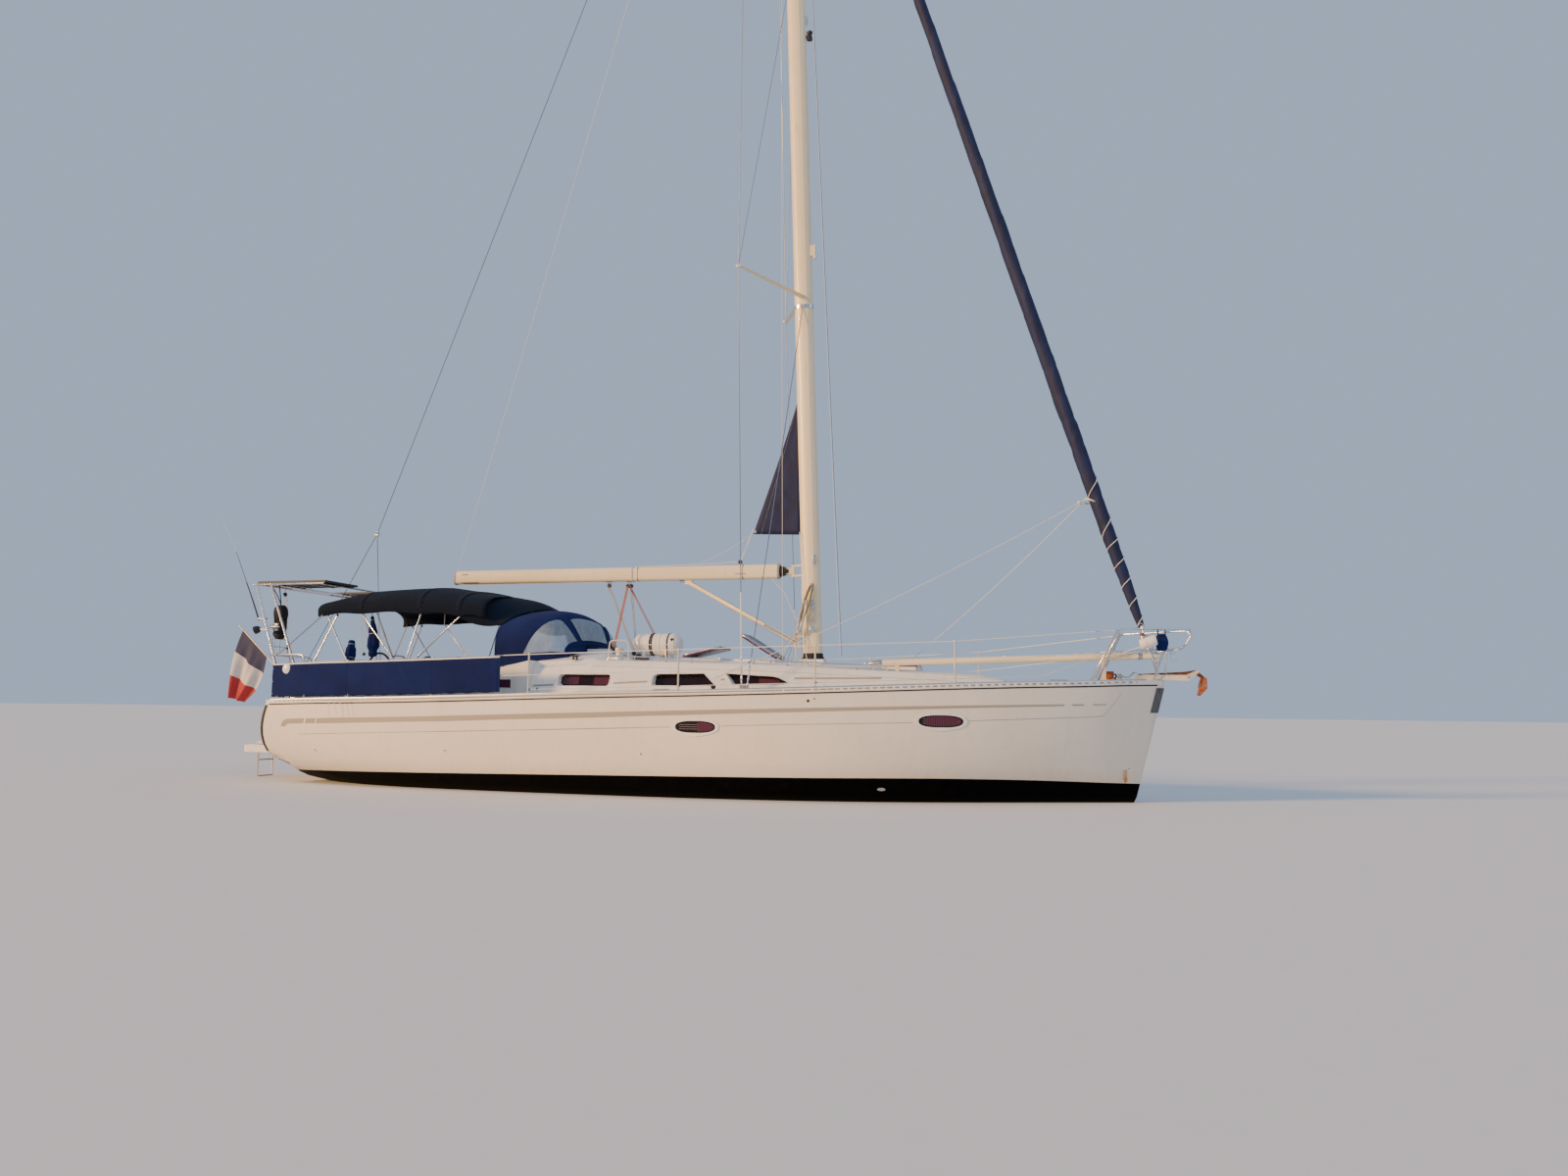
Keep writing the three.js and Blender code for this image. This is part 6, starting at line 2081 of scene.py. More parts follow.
def clew_line():
    """The line from the sail's clew to the block on the boom, its run aft, and the sheet's loose tails."""
    z0 = BOOM_END[2]
    link = Shape()
    for dy in (-0.014, 0.014):
        link.tube([(0.775, dy, 4.145), (0.565, dy, z0 + 0.175)], 0.0045, 7)
    made = link.piece("clew_line", "white rope", None, "sailcloth")
    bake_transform(made)
    run = Shape()
    run.tube(
        [
            (0.56, 0.0, z0 + 0.172), (0.22, 0.0, z0 + 0.15), (-0.6, 0.0, z0 + 0.132),
            (-1.25, 0.0, z0 + 0.124)
        ],
        0.006, 7
    )
    for x in (-1.27, -1.285):
        loop = [(x, 0.078 * math.cos(t), z0 + 0.126 * math.sin(t)) for t in turns(16)]
        run.tube([rounded(p, z0) for p in loop], 0.006, 7, closed=True)
    run.piece("boom_top_line", "white rope", "boom", "sailcloth")
    for name, points in (
        (
            "long",
            [
                (-1.33, -0.03, z0 - 0.17), (-1.26, -0.05, z0 - 0.3), (-1.17, -0.07, z0 - 0.46),
                (-1.12, -0.08, z0 - 0.56)
            ]
        ),
        ("short", [(-1.7, -0.01, z0 - 0.17), (-1.695, -0.03, z0 - 0.24), (-1.69, -0.03, z0 - 0.3)]),
    ):
        free_line("boom_tail_" + name, "orange rope", curve_points(points, 6), sizes().line, body="boom")


def gooseneck_gaiter():
    """The ribbed gaiter over the gooseneck."""
    z0 = BOOM_END[2]
    gaiter = Shape()
    rows = []
    for i in range(37):
        t = i / 36
        r = 0.08 - 0.036 * t + 0.007 * math.cos(2 * math.pi * 5 * t)
        x = 1.232 + 0.14 * t
        rows.append([(x, r * 0.78 * math.cos(a), z0 + r * 1.12 * math.sin(a)) for a in turns(28)])
    gaiter.grid(rows, closed=True, capped=True)
    gaiter.piece("gooseneck_gaiter", "rubber", "boom", "black_cover", angle=80)


def boom_lines():
    """The topping lift, the outhaul and the tackle of the vang."""
    x0, _, z0 = BOOM_END
    lift = Shape()
    lift.tube(
        sagging((MASTHEAD[0] + 0.01, 0, MASTHEAD[2] - 0.03), (x0 + 0.02, 0, z0 + 0.125), 0.05, 60), 0.0045,
        7
    )
    made = lift.piece("topping_lift", "white rope", None, "sailcloth")
    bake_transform(made)
    outhaul = Shape()
    outhaul.tube(
        [
            (x0 - 0.02, -0.03, z0 + 0.05), (x0 - 0.02, -0.03, z0 - 0.11), (x0 + 0.3, -0.035, z0 - 0.124),
            (-1.8, -0.035, z0 - 0.124)
        ],
        0.004, 6
    )
    outhaul.tube(
        [(1.1, -0.05, z0 - 0.12), (1.32, -0.07, z0 - 0.35), (1.56, -0.09, 2.6), (1.6, -0.1, 2.14)], 0.0045,
        6
    )
    outhaul.piece("boom_outhaul", "white rope", "boom", "sailcloth")
    vang = Shape()
    foot, head = Vector((1.45, 0, 2.36)), Vector((-0.3, 0, 3.29))
    for dy in (-0.05, 0.05):
        vang.tube([foot + Vector((-0.12, dy * 0.6, -0.02)), head + Vector((0.1, dy * 0.6, -0.08))], 0.0045, 6)
    vang.piece("vang_tackle", "blue rope", "boom", "sailcloth")


class YACHT_OT_boom(bpy.types.Operator):
    """Boom with its end castings, sheets, topping lift and vang"""

    bl_idname = "yacht.boom"
    bl_label = "Boom"

    def execute(self, context):
        refined("boom", "spar", angle=50, bevel=0.002)
        refined("boom_vang", "spar", angle=50)
        boom_spar()
        mainsheet()
        clew_line()
        gooseneck_gaiter()
        boom_lines()
        return {"FINISHED"}


class YACHT_OT_stays(bpy.types.Operator):
    """Shrouds, backstay and forestay wires with their turnbuckles and the furling gear"""

    bl_idname = "yacht.stays"
    bl_label = "Stays and shrouds"

    def execute(self, context):
        for name in (
            "backstay", "cap_shroud_starboard", "cap_shroud_port", "lower_shroud_starboard",
            "lower_shroud_port"
        ):
            refined(name, "wire", angle=80)
        refined("forestay", "steel", angle=40)
        screws = Shape()
        covers = Shape()
        x, y = CHAINPLATE
        for _, side in SIDES:
            z = deck_at(x, y) + 0.02
            cap = Vector((x - 0.03, side * y, z))
            low = Vector((x + 0.04, side * (y - 0.015), z))
            turnbuckle(screws, cap, (0.89, side * 1.37, 7.99), 0.07, 1.15)
            turnbuckle(screws, low, (mast_x(7.73), side * 0.0885, 7.73), 0.07, 1.15)
            for foot in (cap, low):
                screws.block(foot + Vector((-0.05, -0.045, -0.024)), foot + Vector((0.05, 0.045, -0.014)))
            bx, by = BRIDLE
            foot = Vector((bx, side * by, deck_at(bx, by)))
            turnbuckle(screws, foot, (-6.15, 0, 4.26), 0.05, 1.0)
            screws.turned(
                [(0, 0), (0.03, 0), (0.03, 0.012), (0, 0.014)], foot + Vector((0, 0, -0.002)), UP, 14
            )
            covers.tube([Vector((0.89, side * 1.37, 7.99)).lerp(cap, s) for s in (0.78, 0.97)], 0.011, 8)
        screws.turned(
            [(0, -0.02), (0.045, -0.02), (0.05, 0), (0.045, 0.02), (0, 0.02)], (-6.15, 0, 4.26), TO_PORT, 18
        )
        screws.piece("rigging_screws", "steel", slot="stainless", angle=40)
        covers.piece("shroud_covers", "tape", slot="stay_wire")
        drum = Shape()
        axis = (STAY_HEAD - STAY_FOOT).normalized()
        line = lashed([STAY_FOOT + axis * 0.36, STAY_FOOT + axis * 0.6], 0.072, 0.011, 0.0, 0.12, step=0.012)
        drum.tube(line, 0.0055, 6)
        lead = [line[-1], (6.62, -0.34, 2.06), (6.2, -0.62, 2.12)]
        lead += [
            (px, -(rail_y(px) - 0.02), deck_at(px, rail_y(px)) + 0.1)
            for px in (5.3, 4.18, 2.3, 0.33, -2.04)
        ]
        drum.tube([Vector(p) for p in lead], 0.0045, 6)
        drum.piece("furling_line", "white rope", slot="sailcloth")
        return {"FINISHED"}


# Rolled headsail: distance along the stay and radius
ROLL = (
    (0.66, 0.02), (0.7, 0.046), (1.1, 0.075), (2.2, 0.103), (4.2, 0.11), (8.0, 0.102), (12.5, 0.083),
    (16.2, 0.051), (17.3, 0.03), (17.4, 0.014)
)


def roll_radius(d):
    """Radius of the rolled sail at a distance along the stay."""
    return along(ROLL, d)


class YACHT_OT_headsail(bpy.types.Operator):
    """Headsail rolled on its stay with its sun strip outside, its wraps, clew and sheets"""

    bl_idname = "yacht.headsail"
    bl_label = "Headsail"

    def execute(self, context):
        axis = (STAY_HEAD - STAY_FOOT).normalized()
        aside = axis.cross(Vector(TO_PORT)).normalized()
        across = axis.cross(aside)
        rng = random.Random(SEED)
        phase = [rng.uniform(0, 6.28) for _ in range(6)]
        sail = Shape()
        rows = []
        sides = 36
        count = 420
        for i in range(count + 1):
            d = ROLL[0][0] + (ROLL[-1][0] - ROLL[0][0]) * i / count
            base = roll_radius(d)
            leech = (d / 1.15 + 0.1 * math.sin(d * 1.7)) % 1.0
            ring = []
            for j in range(sides):
                share = j / sides
                lag = (share - leech) % 1.0
                edge = 0.085 * (1 - lag) if lag > 0.06 else 0.085 * lag / 0.06
                ripple = math.sin(13 * share * 6.283 + d * 5.1 + phase[0])
                wrinkle = 0.022 * ripple * math.sin(d * 2.3 + phase[1])
                wrinkle += 0.03 * math.sin(3 * share * 6.283 - d * 3.4 + phase[2])
                tuck = -0.05 * math.exp(-(((d / 0.42) % 1.0 - 0.5) / 0.1) ** 2) * (1 if d < 5.0 else 0.4)
                r = base * (0.955 + edge + wrinkle + tuck)
                turn = 2 * math.pi * share
                ring.append(STAY_FOOT + axis * d + (aside * math.cos(turn) + across * math.sin(turn)) * r)
            rows.append(ring)
        sail.grid(rows, closed=True, capped=True)
        roll = sail.piece("headsail_roll_sail", "strip", slot="sailcloth", angle=50)
        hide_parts("headsail_roll")
        wraps = Shape()
        wraps.tube(
            lashed([STAY_FOOT, STAY_HEAD], lambda d: roll_radius(d) * 1.04 + 0.004, 0.3, 0.74, 2.1), 0.006,
            7
        )
        wraps.tube(
            lashed([STAY_FOOT, STAY_HEAD], lambda d: roll_radius(d) * 1.04 + 0.004, 0.62, 2.1, 3.05), 0.006,
            7
        )
        clew = Vector((5.985, -0.1, 4.4))
        for spin in (0.0, 0.5):
            wraps.tube(
                [
                    clew + Vector(
                        (
                            0.09 * math.cos(t) + 0.02, 0.13 * math.sin(t) + 0.1,
                            0.02 * math.sin(2 * t) + 0.03 * spin
                        )
                    )
                    for t in turns(24)
                ],
                0.0065, 7, closed=True,
            )
        cars = {-1: Vector((0.74, -1.755, 1.7)), 1: Vector((2.55, 1.5, 1.7))}
        sheets = Shape()
        for side, car in cars.items():
            start = clew + Vector((-0.08, side * 0.02, 0.0))
            sheets.tube(sagging(start, car, 0.1, 30), sizes().rope, 8)
            knot = start + (car - start).normalized() * 0.06
            for k in range(3):
                sheets.ball(
                    knot + Vector((0.012 * k - 0.012, 0.01 * (k - 1), 0.008 * (k % 2))), 0.018,
                    (1.3, 0.9, 0.9), 6, 10
                )
        sheets.piece("headsail_sheets", "white rope", slot="sailcloth")
        wraps.piece("headsail_wraps", "white rope", slot="sailcloth")
        return {"FINISHED"}


class YACHT_OT_clew(bpy.types.Operator):
    """The mainsail's clew with its sun strip, standing out of the mast"""

    bl_idname = "yacht.clew"
    bl_label = "Mainsail clew"

    def execute(self, context):
        rows = []
        for i in range(25):
            t = i / 24
            z_luff = 4.03 + (6.19 - 4.03) * t
            luff_x = mast_x(z_luff) - MAST_CHORD / 2 + 0.004
            leech_z = 4.06 + (6.19 - 4.06) * t
            reach = (1 - t) ** 1.06
            leech_x = luff_x - reach * (mast_x(4.05) - MAST_CHORD / 2 - 0.765)
            row = []
            for k in range(13):
                s = k / 12
                x = luff_x + (leech_x - luff_x) * s
                z = z_luff + (leech_z - z_luff) * s
                wave = 0.01 * math.sin(math.pi * s) * math.sin(9 * t + 3 * s) * reach
                row.append(Vector((x, wave, z)))
            rows.append(row)
        sail = cloth(
            "mainsail_clew_cloth", rows, "strip", "stretched", ["mast"], slot="sailcloth", thickness=0.004
        )
        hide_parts("mainsail_clew")
        trim = Shape()
        corner = Vector((0.8, 0, 4.1))
        trim.turned(disc(0.026, -0.006, 0.006, 0.012), corner, TO_PORT, 20)
        trim.piece("mainsail_clew_ring", "steel", slot="stainless")
        seams = [[row[10] + Vector((0, d, 0)) for row in rows] for d in (-0.003, 0.003)]
        repeated(
            "mainsail_clew_stitches", "pegs", "white rope", seams, slot="sailcloth", Spacing=sizes().stitch,
            Radius=0.0014, Length=0.012
        )
        line = Shape()
        line.tube(sagging(corner, (-0.2, 0, 3.585), 0.05, 16), sizes().line, 7)
        line.piece("clew_outhaul", "white rope", slot="sailcloth")
        return {"FINISHED"}


# Deck and coachroof

TRACK_Y = 1.755  # genoa tracks, out from the centreline
# Coachroof rows: x, half-width at the deck, half-width at the top edge
ROOF_ROWS = (
    (-2.29, 1.59, 1.34), (-1.4, 1.575, 1.28), (-0.6, 1.55, 1.21), (0.9, 1.43, 1.1), (2.02, 1.26, 0.95),
    (3.15, 0.98, 0.76), (4.35, 0.61, 0.46), (4.74, 0.43, 0.33),
)


def roof_base(x):
    return eased(ROOF_ROWS, min(max(x, -2.29), 4.74))[0]


def roof_top(x):
    return eased(ROOF_ROWS, min(max(x, -2.29), 4.74))[1]


def laid(shape, name, xs, inner, outer, columns=8, out=0.002):
    """A thin skin laid on a node's top between two lines y(x), with its edges turned down."""
    rows = []
    for x in xs:
        a, b = inner(x), outer(x)
        ys = [a + (b - a) * k / columns for k in range(columns + 1)]
        row = [Vector((x, y, top_of(name, x, y) + out)) for y in ys]
        rows.append([row[0] - Vector((0, 0, out * 2))] + row + [row[-1] - Vector((0, 0, out * 2))])
    made = shape.grid(rows)
    for end in (made[0], made[-1]):
        low = [shape.bm.verts.new(v.co - Vector((0, 0, out * 2))) for v in end[1:-1]]
        for j in range(len(low) - 1):
            shape.face([end[j + 1], end[j + 2], low[j + 1], low[j]])


def cleat(shape, place, along_x=1.0, size=0.26):
    """A horn cleat on two feet."""
    place = Vector(place)
    for way in (-1, 1):
        shape.turned(
            [(0, -0.004), (0.026, -0.004), (0.022, 0.006), (0.013, 0.016), (0.014, 0.045), (0, 0.05)],
            place + Vector((way * size * 0.18 * along_x, way * size * 0.18 * (1 - along_x), 0)), UP, 14
        )
    horn = [
        place + Vector((t * size / 2 * along_x, t * size / 2 * (1 - along_x), 0.048 + 0.01 * t * t))
        for t in [k / 6 - 1 for k in range(13)]
    ]
    shape.tube(horn, [0.005 + 0.01 * (1 - abs(k / 6 - 1) ** 2.2) for k in range(13)], 12)


class YACHT_OT_rails(bpy.types.Operator):
    """Pulpits, pushpits, guard rails and their fittings"""

    bl_idname = "yacht.rails"
    bl_label = "Rails"

    def execute(self, context):
        for tag, _ in SIDES:
            for name in ("pulpit", "pushpit"):
                refined(f"{name}_{tag}", "steel", angle=70)
            refined("guard_rail_" + tag, "pale plate", angle=70)
        fittings, sleeves = Shape(), Shape()
        for _, side in SIDES:
            for x in STANCHIONS:
                y = side * rail_y(x)
                z = deck_at(x, rail_y(x))
                fittings.turned(
                    [
                        (0, -0.004), (0.034, -0.004), (0.034, 0.004), (0.02, 0.01), (0.0185, 0.055),
                        (0.0145, 0.058)
                    ],
                    (x, y, z), UP, 16
                )
                fittings.turned(
                    [(0.0135, 0), (0.017, 0.002), (0.016, 0.018), (0.006, 0.024), (0, 0.024)],
                    (x, y, z + STANCHION_HEIGHT - 0.014), UP, 14
                )
                fittings.turned(disc(0.008, -0.019, 0.019), (x, y, z + STANCHION_HEIGHT * 0.5), AHEAD, 10)
                for dx, dy in ((0.022, 0), (-0.022, 0), (0, 0.022), (0, -0.022)):
                    fittings.turned(
                        [(0, 0), (0.004, 0), (0.003, 0.003), (0, 0.003)], (x + dx, y + dy, z + 0.004), UP, 8
                    )
            # the guard wires run in white plastic from post to post, and end in rigging screws at the pulpit
            for share, radius, bow in (
                (0.985, 0.0065, (6.358, 0.655, 2.44)), (0.5, 0.005, (6.09, 0.64, 2.125))
            ):
                bow = Vector((bow[0], side * bow[1], bow[2]))
                heads = [
                    Vector((x, side * rail_y(x), deck_at(x, rail_y(x)) + STANCHION_HEIGHT * share))
                    for x in STANCHIONS[:5]
                ]
                last = heads[3].lerp(heads[4], 0.26)
                sleeves.tube([heads[0].lerp(bow, 0.86)] + heads[:4] + [last], radius, 8)
                turnbuckle(fittings, bow, heads[0], 0.03, 0.62)
        fittings.piece("rail_fittings", "pale plate", slot="stainless", angle=50)
        sleeves.piece("guard_wire_sleeves", "tape", slot="stay_wire")
        return {"FINISHED"}


def locker_seam():
    """The seam round the anchor locker's lid."""
    lid = Shape()
    outline = [(6.14, -0.3), (6.14, 0.3), (5.66, 0.46), (5.66, -0.46)]
    ring = []
    for a, b in zip(outline, outline[1:] + outline[:1]):
        for t in (0.06, 0.35, 0.65, 0.94):
            x, y = a[0] + (b[0] - a[0]) * t, a[1] + (b[1] - a[1]) * t
            ring.append(Vector((x, y, top_of("deck", x, y) + 0.003)))
    lid.tube(curve_points(ring, 3, closed=True), 0.005, 6, closed=True, flat=0.7)
    lid.piece("locker_lid_seam", "caulk", slot="deck_gelcoat")


def toe_rail(alloy, slots, side):
    """The toe rail of one side: a light capping and dark slots."""
    cap = [(x, side * (beam_at(x) - 0.0175), joint_at(x) + 0.061) for x in stops_of(-6.85, 6.75, 0.1)]
    alloy.tube(cap, 0.0165, 8, flat=0.28)
    for face in (0.0012, -0.0362):
        lines = [(x, side * (beam_at(x) + face), joint_at(x) + 0.036) for x in stops_of(-6.7, 6.6, 0.1)]
        slots.grid(
            [
                [Vector(p) + Vector((dx, 0, dz)) for dz in (-0.009, 0.009)] for p in lines
                for dx in (-0.022, 0.022)
            ]
        )


def genoa_track(black, alloy, side):
    """The genoa track of one side, with its car."""
    y = side * TRACK_Y
    track = [Vector((x, y, top_of("deck", x, y))) for x in stops_of(-0.95, 1.05, 0.1)]
    for rise, half, tall in ((0.0, 0.016, 0.01), (0.01, 0.008, 0.008), (0.018, 0.016, 0.006)):
        alloy.grid(
            [
                [
                    p + Vector((0, dy, rise + dz))
                    for dy, dz in ((-half, 0), (half, 0), (half, tall), (-half, tall))
                ]
                for p in track
            ],
            closed=True, capped=True,
        )
    car = Vector((0.74, y, top_of("deck", 0.74, y) + 0.014))
    black.block(car + Vector((-0.065, -0.024, 0)), car + Vector((0.065, 0.024, 0.028)))
    pulley(black, car + Vector((0, 0, 0.058)), (0, 1, 0.1), 0.034)
    for end in (track[0], track[-1]):
        black.block(end + Vector((-0.02, -0.02, 0)), end + Vector((0.02, 0.02, 0.032)))


def windlass(steel):
    """The windlass ahead of the anchor locker's lid, and the chain to the anchor."""
    rusty, chain = Shape(), Shape()
    base = Vector((6.36, 0.0, top_of("deck", 6.36, 0.0)))
    steel.turned(
        [(0, -0.004), (0.085, -0.004), (0.085, 0.012), (0.06, 0.03), (0.05, 0.06), (0, 0.06)], base, UP, 28
    )
    steel.turned(
        [
            (0, 0), (0.055, 0), (0.062, 0.01), (0.04, 0.028), (0.04, 0.04), (0.062, 0.058), (0.055, 0.07),
            (0.03, 0.074), (0, 0.075)
        ],
        base + Vector((0, 0, 0.055)), UP, 28
    )
    rusty.block(base + Vector((-0.17, -0.06, 0.0)), base + Vector((-0.06, 0.06, 0.16)))
    rusty.turned(
        [(0, -0.09), (0.035, -0.09), (0.04, -0.07), (0.04, 0.07), (0.035, 0.09), (0, 0.09)],
        base + Vector((-0.11, 0, 0.1)), TO_PORT, 20
    )
    run = curve_points(
        [
            base + Vector((0.05, 0.03, 0.09)), base + Vector((0.14, 0.02, 0.075)),
            Vector((6.58, 0.0, 1.862)), Vector((6.66, 0.0, 1.885))
        ], 20
    )
    pitch = 0.03
    length = sum((b - a).length for a, b in zip(run, run[1:]))
    places = spread(run, [k * pitch / length for k in range(int(length / pitch))])
    for k, (a, b) in enumerate(zip(places, places[1:])):
        way = (b - a).normalized()
        wide = way.cross(Vector(UP if k % 2 else TO_PORT)).normalized()
        ring = [a + way * (0.02 * math.cos(t)) + wide * (0.0105 * math.sin(t)) for t in turns(14)]
        chain.tube(ring, 0.0042, 6, closed=True)
    chain.piece("anchor_chain", "zinc", slot="rusty_iron", angle=80)
    rusty.piece("windlass_motor", "rust", slot="rusty_iron", bevel=0.012, angle=30)


class YACHT_OT_deck(bpy.types.Operator):
    """Deck with non-skid panels, slotted toe rail, tracks, cleats, windlass and chain"""

    bl_idname = "yacht.deck"
    bl_label = "Deck"

    def execute(self, context):
        refined("deck", "gelcoat", angle=28)
        skid, slots, steel, black, alloy = (Shape() for _ in range(5))
        for _, side in SIDES:
            # side decks, in panels parted by smooth strips
            for a, b in ((-2.15, -1.08), (-1.02, 0.52), (0.58, 2.24), (2.3, 3.6), (3.66, 4.5)):
                laid(
                    skid, "deck", stops_of(a, b, 0.13), lambda x: side * (roof_base(x) + 0.05),
                    lambda x: side * (beam_at(x) - 0.1)
                )
            for a, b in ((-6.55, -5.32), (-5.26, -3.72), (-3.66, -2.4)):
                laid(
                    skid, "deck", stops_of(a, b, 0.13),
                    lambda x: side * along(((-6.7, 1.46), (-2.29, 1.63)), x),
                    lambda x: side * (beam_at(x) - 0.1), 4
                )
            for a, b in ((4.84, 5.5), (5.56, 6.05)):
                laid(
                    skid, "deck", stops_of(a, b, 0.11), lambda x: side * 0.03,
                    lambda x: side * (beam_at(x) - 0.11)
                )
            toe_rail(alloy, slots, side)
            genoa_track(black, alloy, side)
            # cleats inside the toe rail, filler caps, and a small cleat on the roof
            for x in (5.55, 0.05, -6.35):
                place = (x, side * (beam_at(x) - 0.1), top_of("deck", x, side * (beam_at(x) - 0.1)))
                cleat(steel, place)
            for x, y in ((-1.85, 1.8), (3.85, 1.28)):
                steel.turned(
                    [
                        (0, -0.002), (0.032, -0.002), (0.032, 0.004), (0.026, 0.006), (0.026, 0.003),
                        (0, 0.003)
                    ],
                    (x, side * y, top_of("deck", x, side * y)), UP, 24
                )
            spot = Vector((-1.636, side * 1.345, top_of("coachroof", -1.636, side * 1.3) + 0.002))
            cleat(black, spot, 1.0, 0.16)
            # blocks at the foot of the stanchions for the furling line
            if side < 0:
                for x in (2.3, 0.33, -2.04):
                    pulley(
                        black, (x, side * (rail_y(x) - 0.02), deck_at(x, rail_y(x)) + 0.1), (0, 0.2, 1),
                        0.022
                    )
        skid.piece("deck_nonskid", "nonskid", slot="deck_gelcoat", angle=50)
        slots.piece("toe_rail_slots", "grey tape", slot="deck_gelcoat", outward=False)
        alloy.piece("deck_tracks", "alloy", slot="stainless", angle=50)

        windlass(steel)
        locker_seam()
        z = top_of("deck", 5.72, 0)
        steel.tube(
            [
                (5.72, -0.05, z + 0.004), (5.7, -0.04, z + 0.02), (5.7, 0.04, z + 0.02),
                (5.72, 0.05, z + 0.004)
            ],
            0.006, 8
        )
        steel.piece("deck_steelwork", "steel", slot="stainless", angle=50)
        black.piece("deck_blocks", "black", slot="black_cover", bevel=0.0015)
        return {"FINISHED"}


# Window outlines in side view
SIDE_WINDOWS = (
    (
        (-1.795, 1.59), (-1.065, 1.59), (-1.02, 1.635), (-1.02, 1.72), (-1.065, 1.765), (-1.795, 1.765),
        (-1.84, 1.72), (-1.84, 1.635)
    ),
    ((-0.33, 1.605), (0.64, 1.605), (0.42, 1.79), (-0.3, 1.775), (-0.345, 1.74), (-0.345, 1.64)),
    ((0.9, 1.62), (1.64, 1.64), (1.7, 1.665), (1.54, 1.735), (1.46, 1.752), (0.76, 1.79)),
)
# Hatches: name, hinge x, x of the free edge, half-width
LIDS = (
    ("saloon_hatch_aft", -0.3, 0.36, 0.3), ("saloon_hatch_fore", 1.25, 0.55, 0.3),
    ("forecabin_hatch", 3.45, 2.89, 0.26)
)


def dense(outline, step=0.03):
    """An outline with points added along its sides."""
    made = []
    for a, b in zip(outline, outline[1:] + outline[:1]):
        count = max(int(math.dist(a, b) / step), 1)
        made += [(a[0] + (b[0] - a[0]) * k / count, a[1] + (b[1] - a[1]) * k / count) for k in range(count)]
    return made


def hatch_lids():
    """The hatch lids in their frames, with their handles."""
    for name, hinge, edge, half in LIDS:
        refined(name, "lid", angle=35, bevel=0.004)
        low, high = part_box(name)
        lid = tree_of(name)
        border = dense(
            [
                (low[0] + 0.012, low[1] + 0.012), (high[0] - 0.012, low[1] + 0.012),
                (high[0] - 0.012, high[1] - 0.012), (low[0] + 0.012, high[1] - 0.012)
            ],
            0.05
        )
        ring = []
        for x, y in border:
            place = lid.ray_cast(Vector((x, y, 3.0)), Vector(DOWN))[0]
            if place:
                ring.append(place + Vector((0, 0, 0.002)))
        frame_shape = Shape()
        frame_shape.tube(ring, 0.016, 8, closed=True, flat=0.35)
        for sy in (-0.5, 0.5):
            x = low[0] + 0.07 if hinge > edge else high[0] - 0.07
            place = lid.ray_cast(Vector((x, sy * half, 3.0)), Vector(DOWN))[0]
            frame_shape.turned(
                [(0, -0.002), (0.02, -0.002), (0.018, 0.008), (0.008, 0.01), (0, 0.01)], place, UP, 14
            )
        frame_shape.piece(name + "_frame", "alloy", name, "smoked_acrylic", angle=50)


def handrails(steel, side):
    """The handrails of one side, on their feet."""
    for a, b in ((-1.15, 0.55), (1.1, 3.05)):
        run = [(x, side * (roof_top(x) - 0.1)) for x in stops_of(a, b, 0.1)]
        rail = [Vector((x, y, top_of("coachroof", x, y) + 0.062)) for x, y in run]
        steel.tube(
            [rail[0] + Vector((-0.03, 0, -0.062))] + rail + [rail[-1] + Vector((0.03, 0, -0.062))], 0.0115,
            12
        )
        for k in range(1, 4):
            at = rail[len(rail) * k // 4]
            steel.turned(
                [(0.01, 0.0), (0.009, 0.05), (0.018, 0.056), (0.022, 0.064), (0, 0.064)], at, DOWN, 14
            )


def clutches(black, side):
    """Clutches ahead of a halyard winch, and organisers further forward."""
    for k in range(4):
        y = side * (0.86 + 0.036 * k)
        z = top_of("coachroof", -0.72, y)
        black.block((-0.84, y - 0.014, z - 0.004), (-0.62, y + 0.014, z + 0.036))
        black.block((-0.86, y - 0.01, z + 0.036), (-0.7, y + 0.01, z + 0.048))
    for k in range(4):
        at = Vector((0.98 + 0.006 * k, side * (0.62 + 0.066 * k), 0))
        at.z = top_of("coachroof", at.x, at.y)
        black.turned(
            [
                (0, -0.003), (0.03, -0.003), (0.03, 0.004), (0.024, 0.008), (0.024, 0.018), (0.03, 0.022),
                (0.028, 0.027), (0, 0.028)
            ],
            at, UP, 18
        )


def companionway(steel):
    """The sliding hatch, its rails and the washboards below it."""
    refined("companionway_hatch", "acrylic", angle=35, bevel=0.004)
    low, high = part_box("companionway_hatch")
    grab = Shape()
    x, z = low[0] + 0.05, high[2]
    grab.tube(
        [(x, -0.1, z - 0.002), (x, -0.09, z + 0.004), (x, 0.09, z + 0.004), (x, 0.1, z - 0.002)], 0.004, 8
    )
    grab.piece("companionway_grab", "steel", "companionway_hatch", "stainless")
    for _, side in SIDES:
        steel.block((-2.235, side * 0.372 - 0.014, 2.2046), (-1.255, side * 0.372 + 0.014, 2.2066))
    boards = Shape()
    for k in range(3):
        z = 1.42 + 0.165 * k
        boards.block((-2.275, -0.335, z), (-2.258, 0.335, z + 0.16))
    boards.piece("washboards", "mahogany", slot="teak", bevel=0.003)


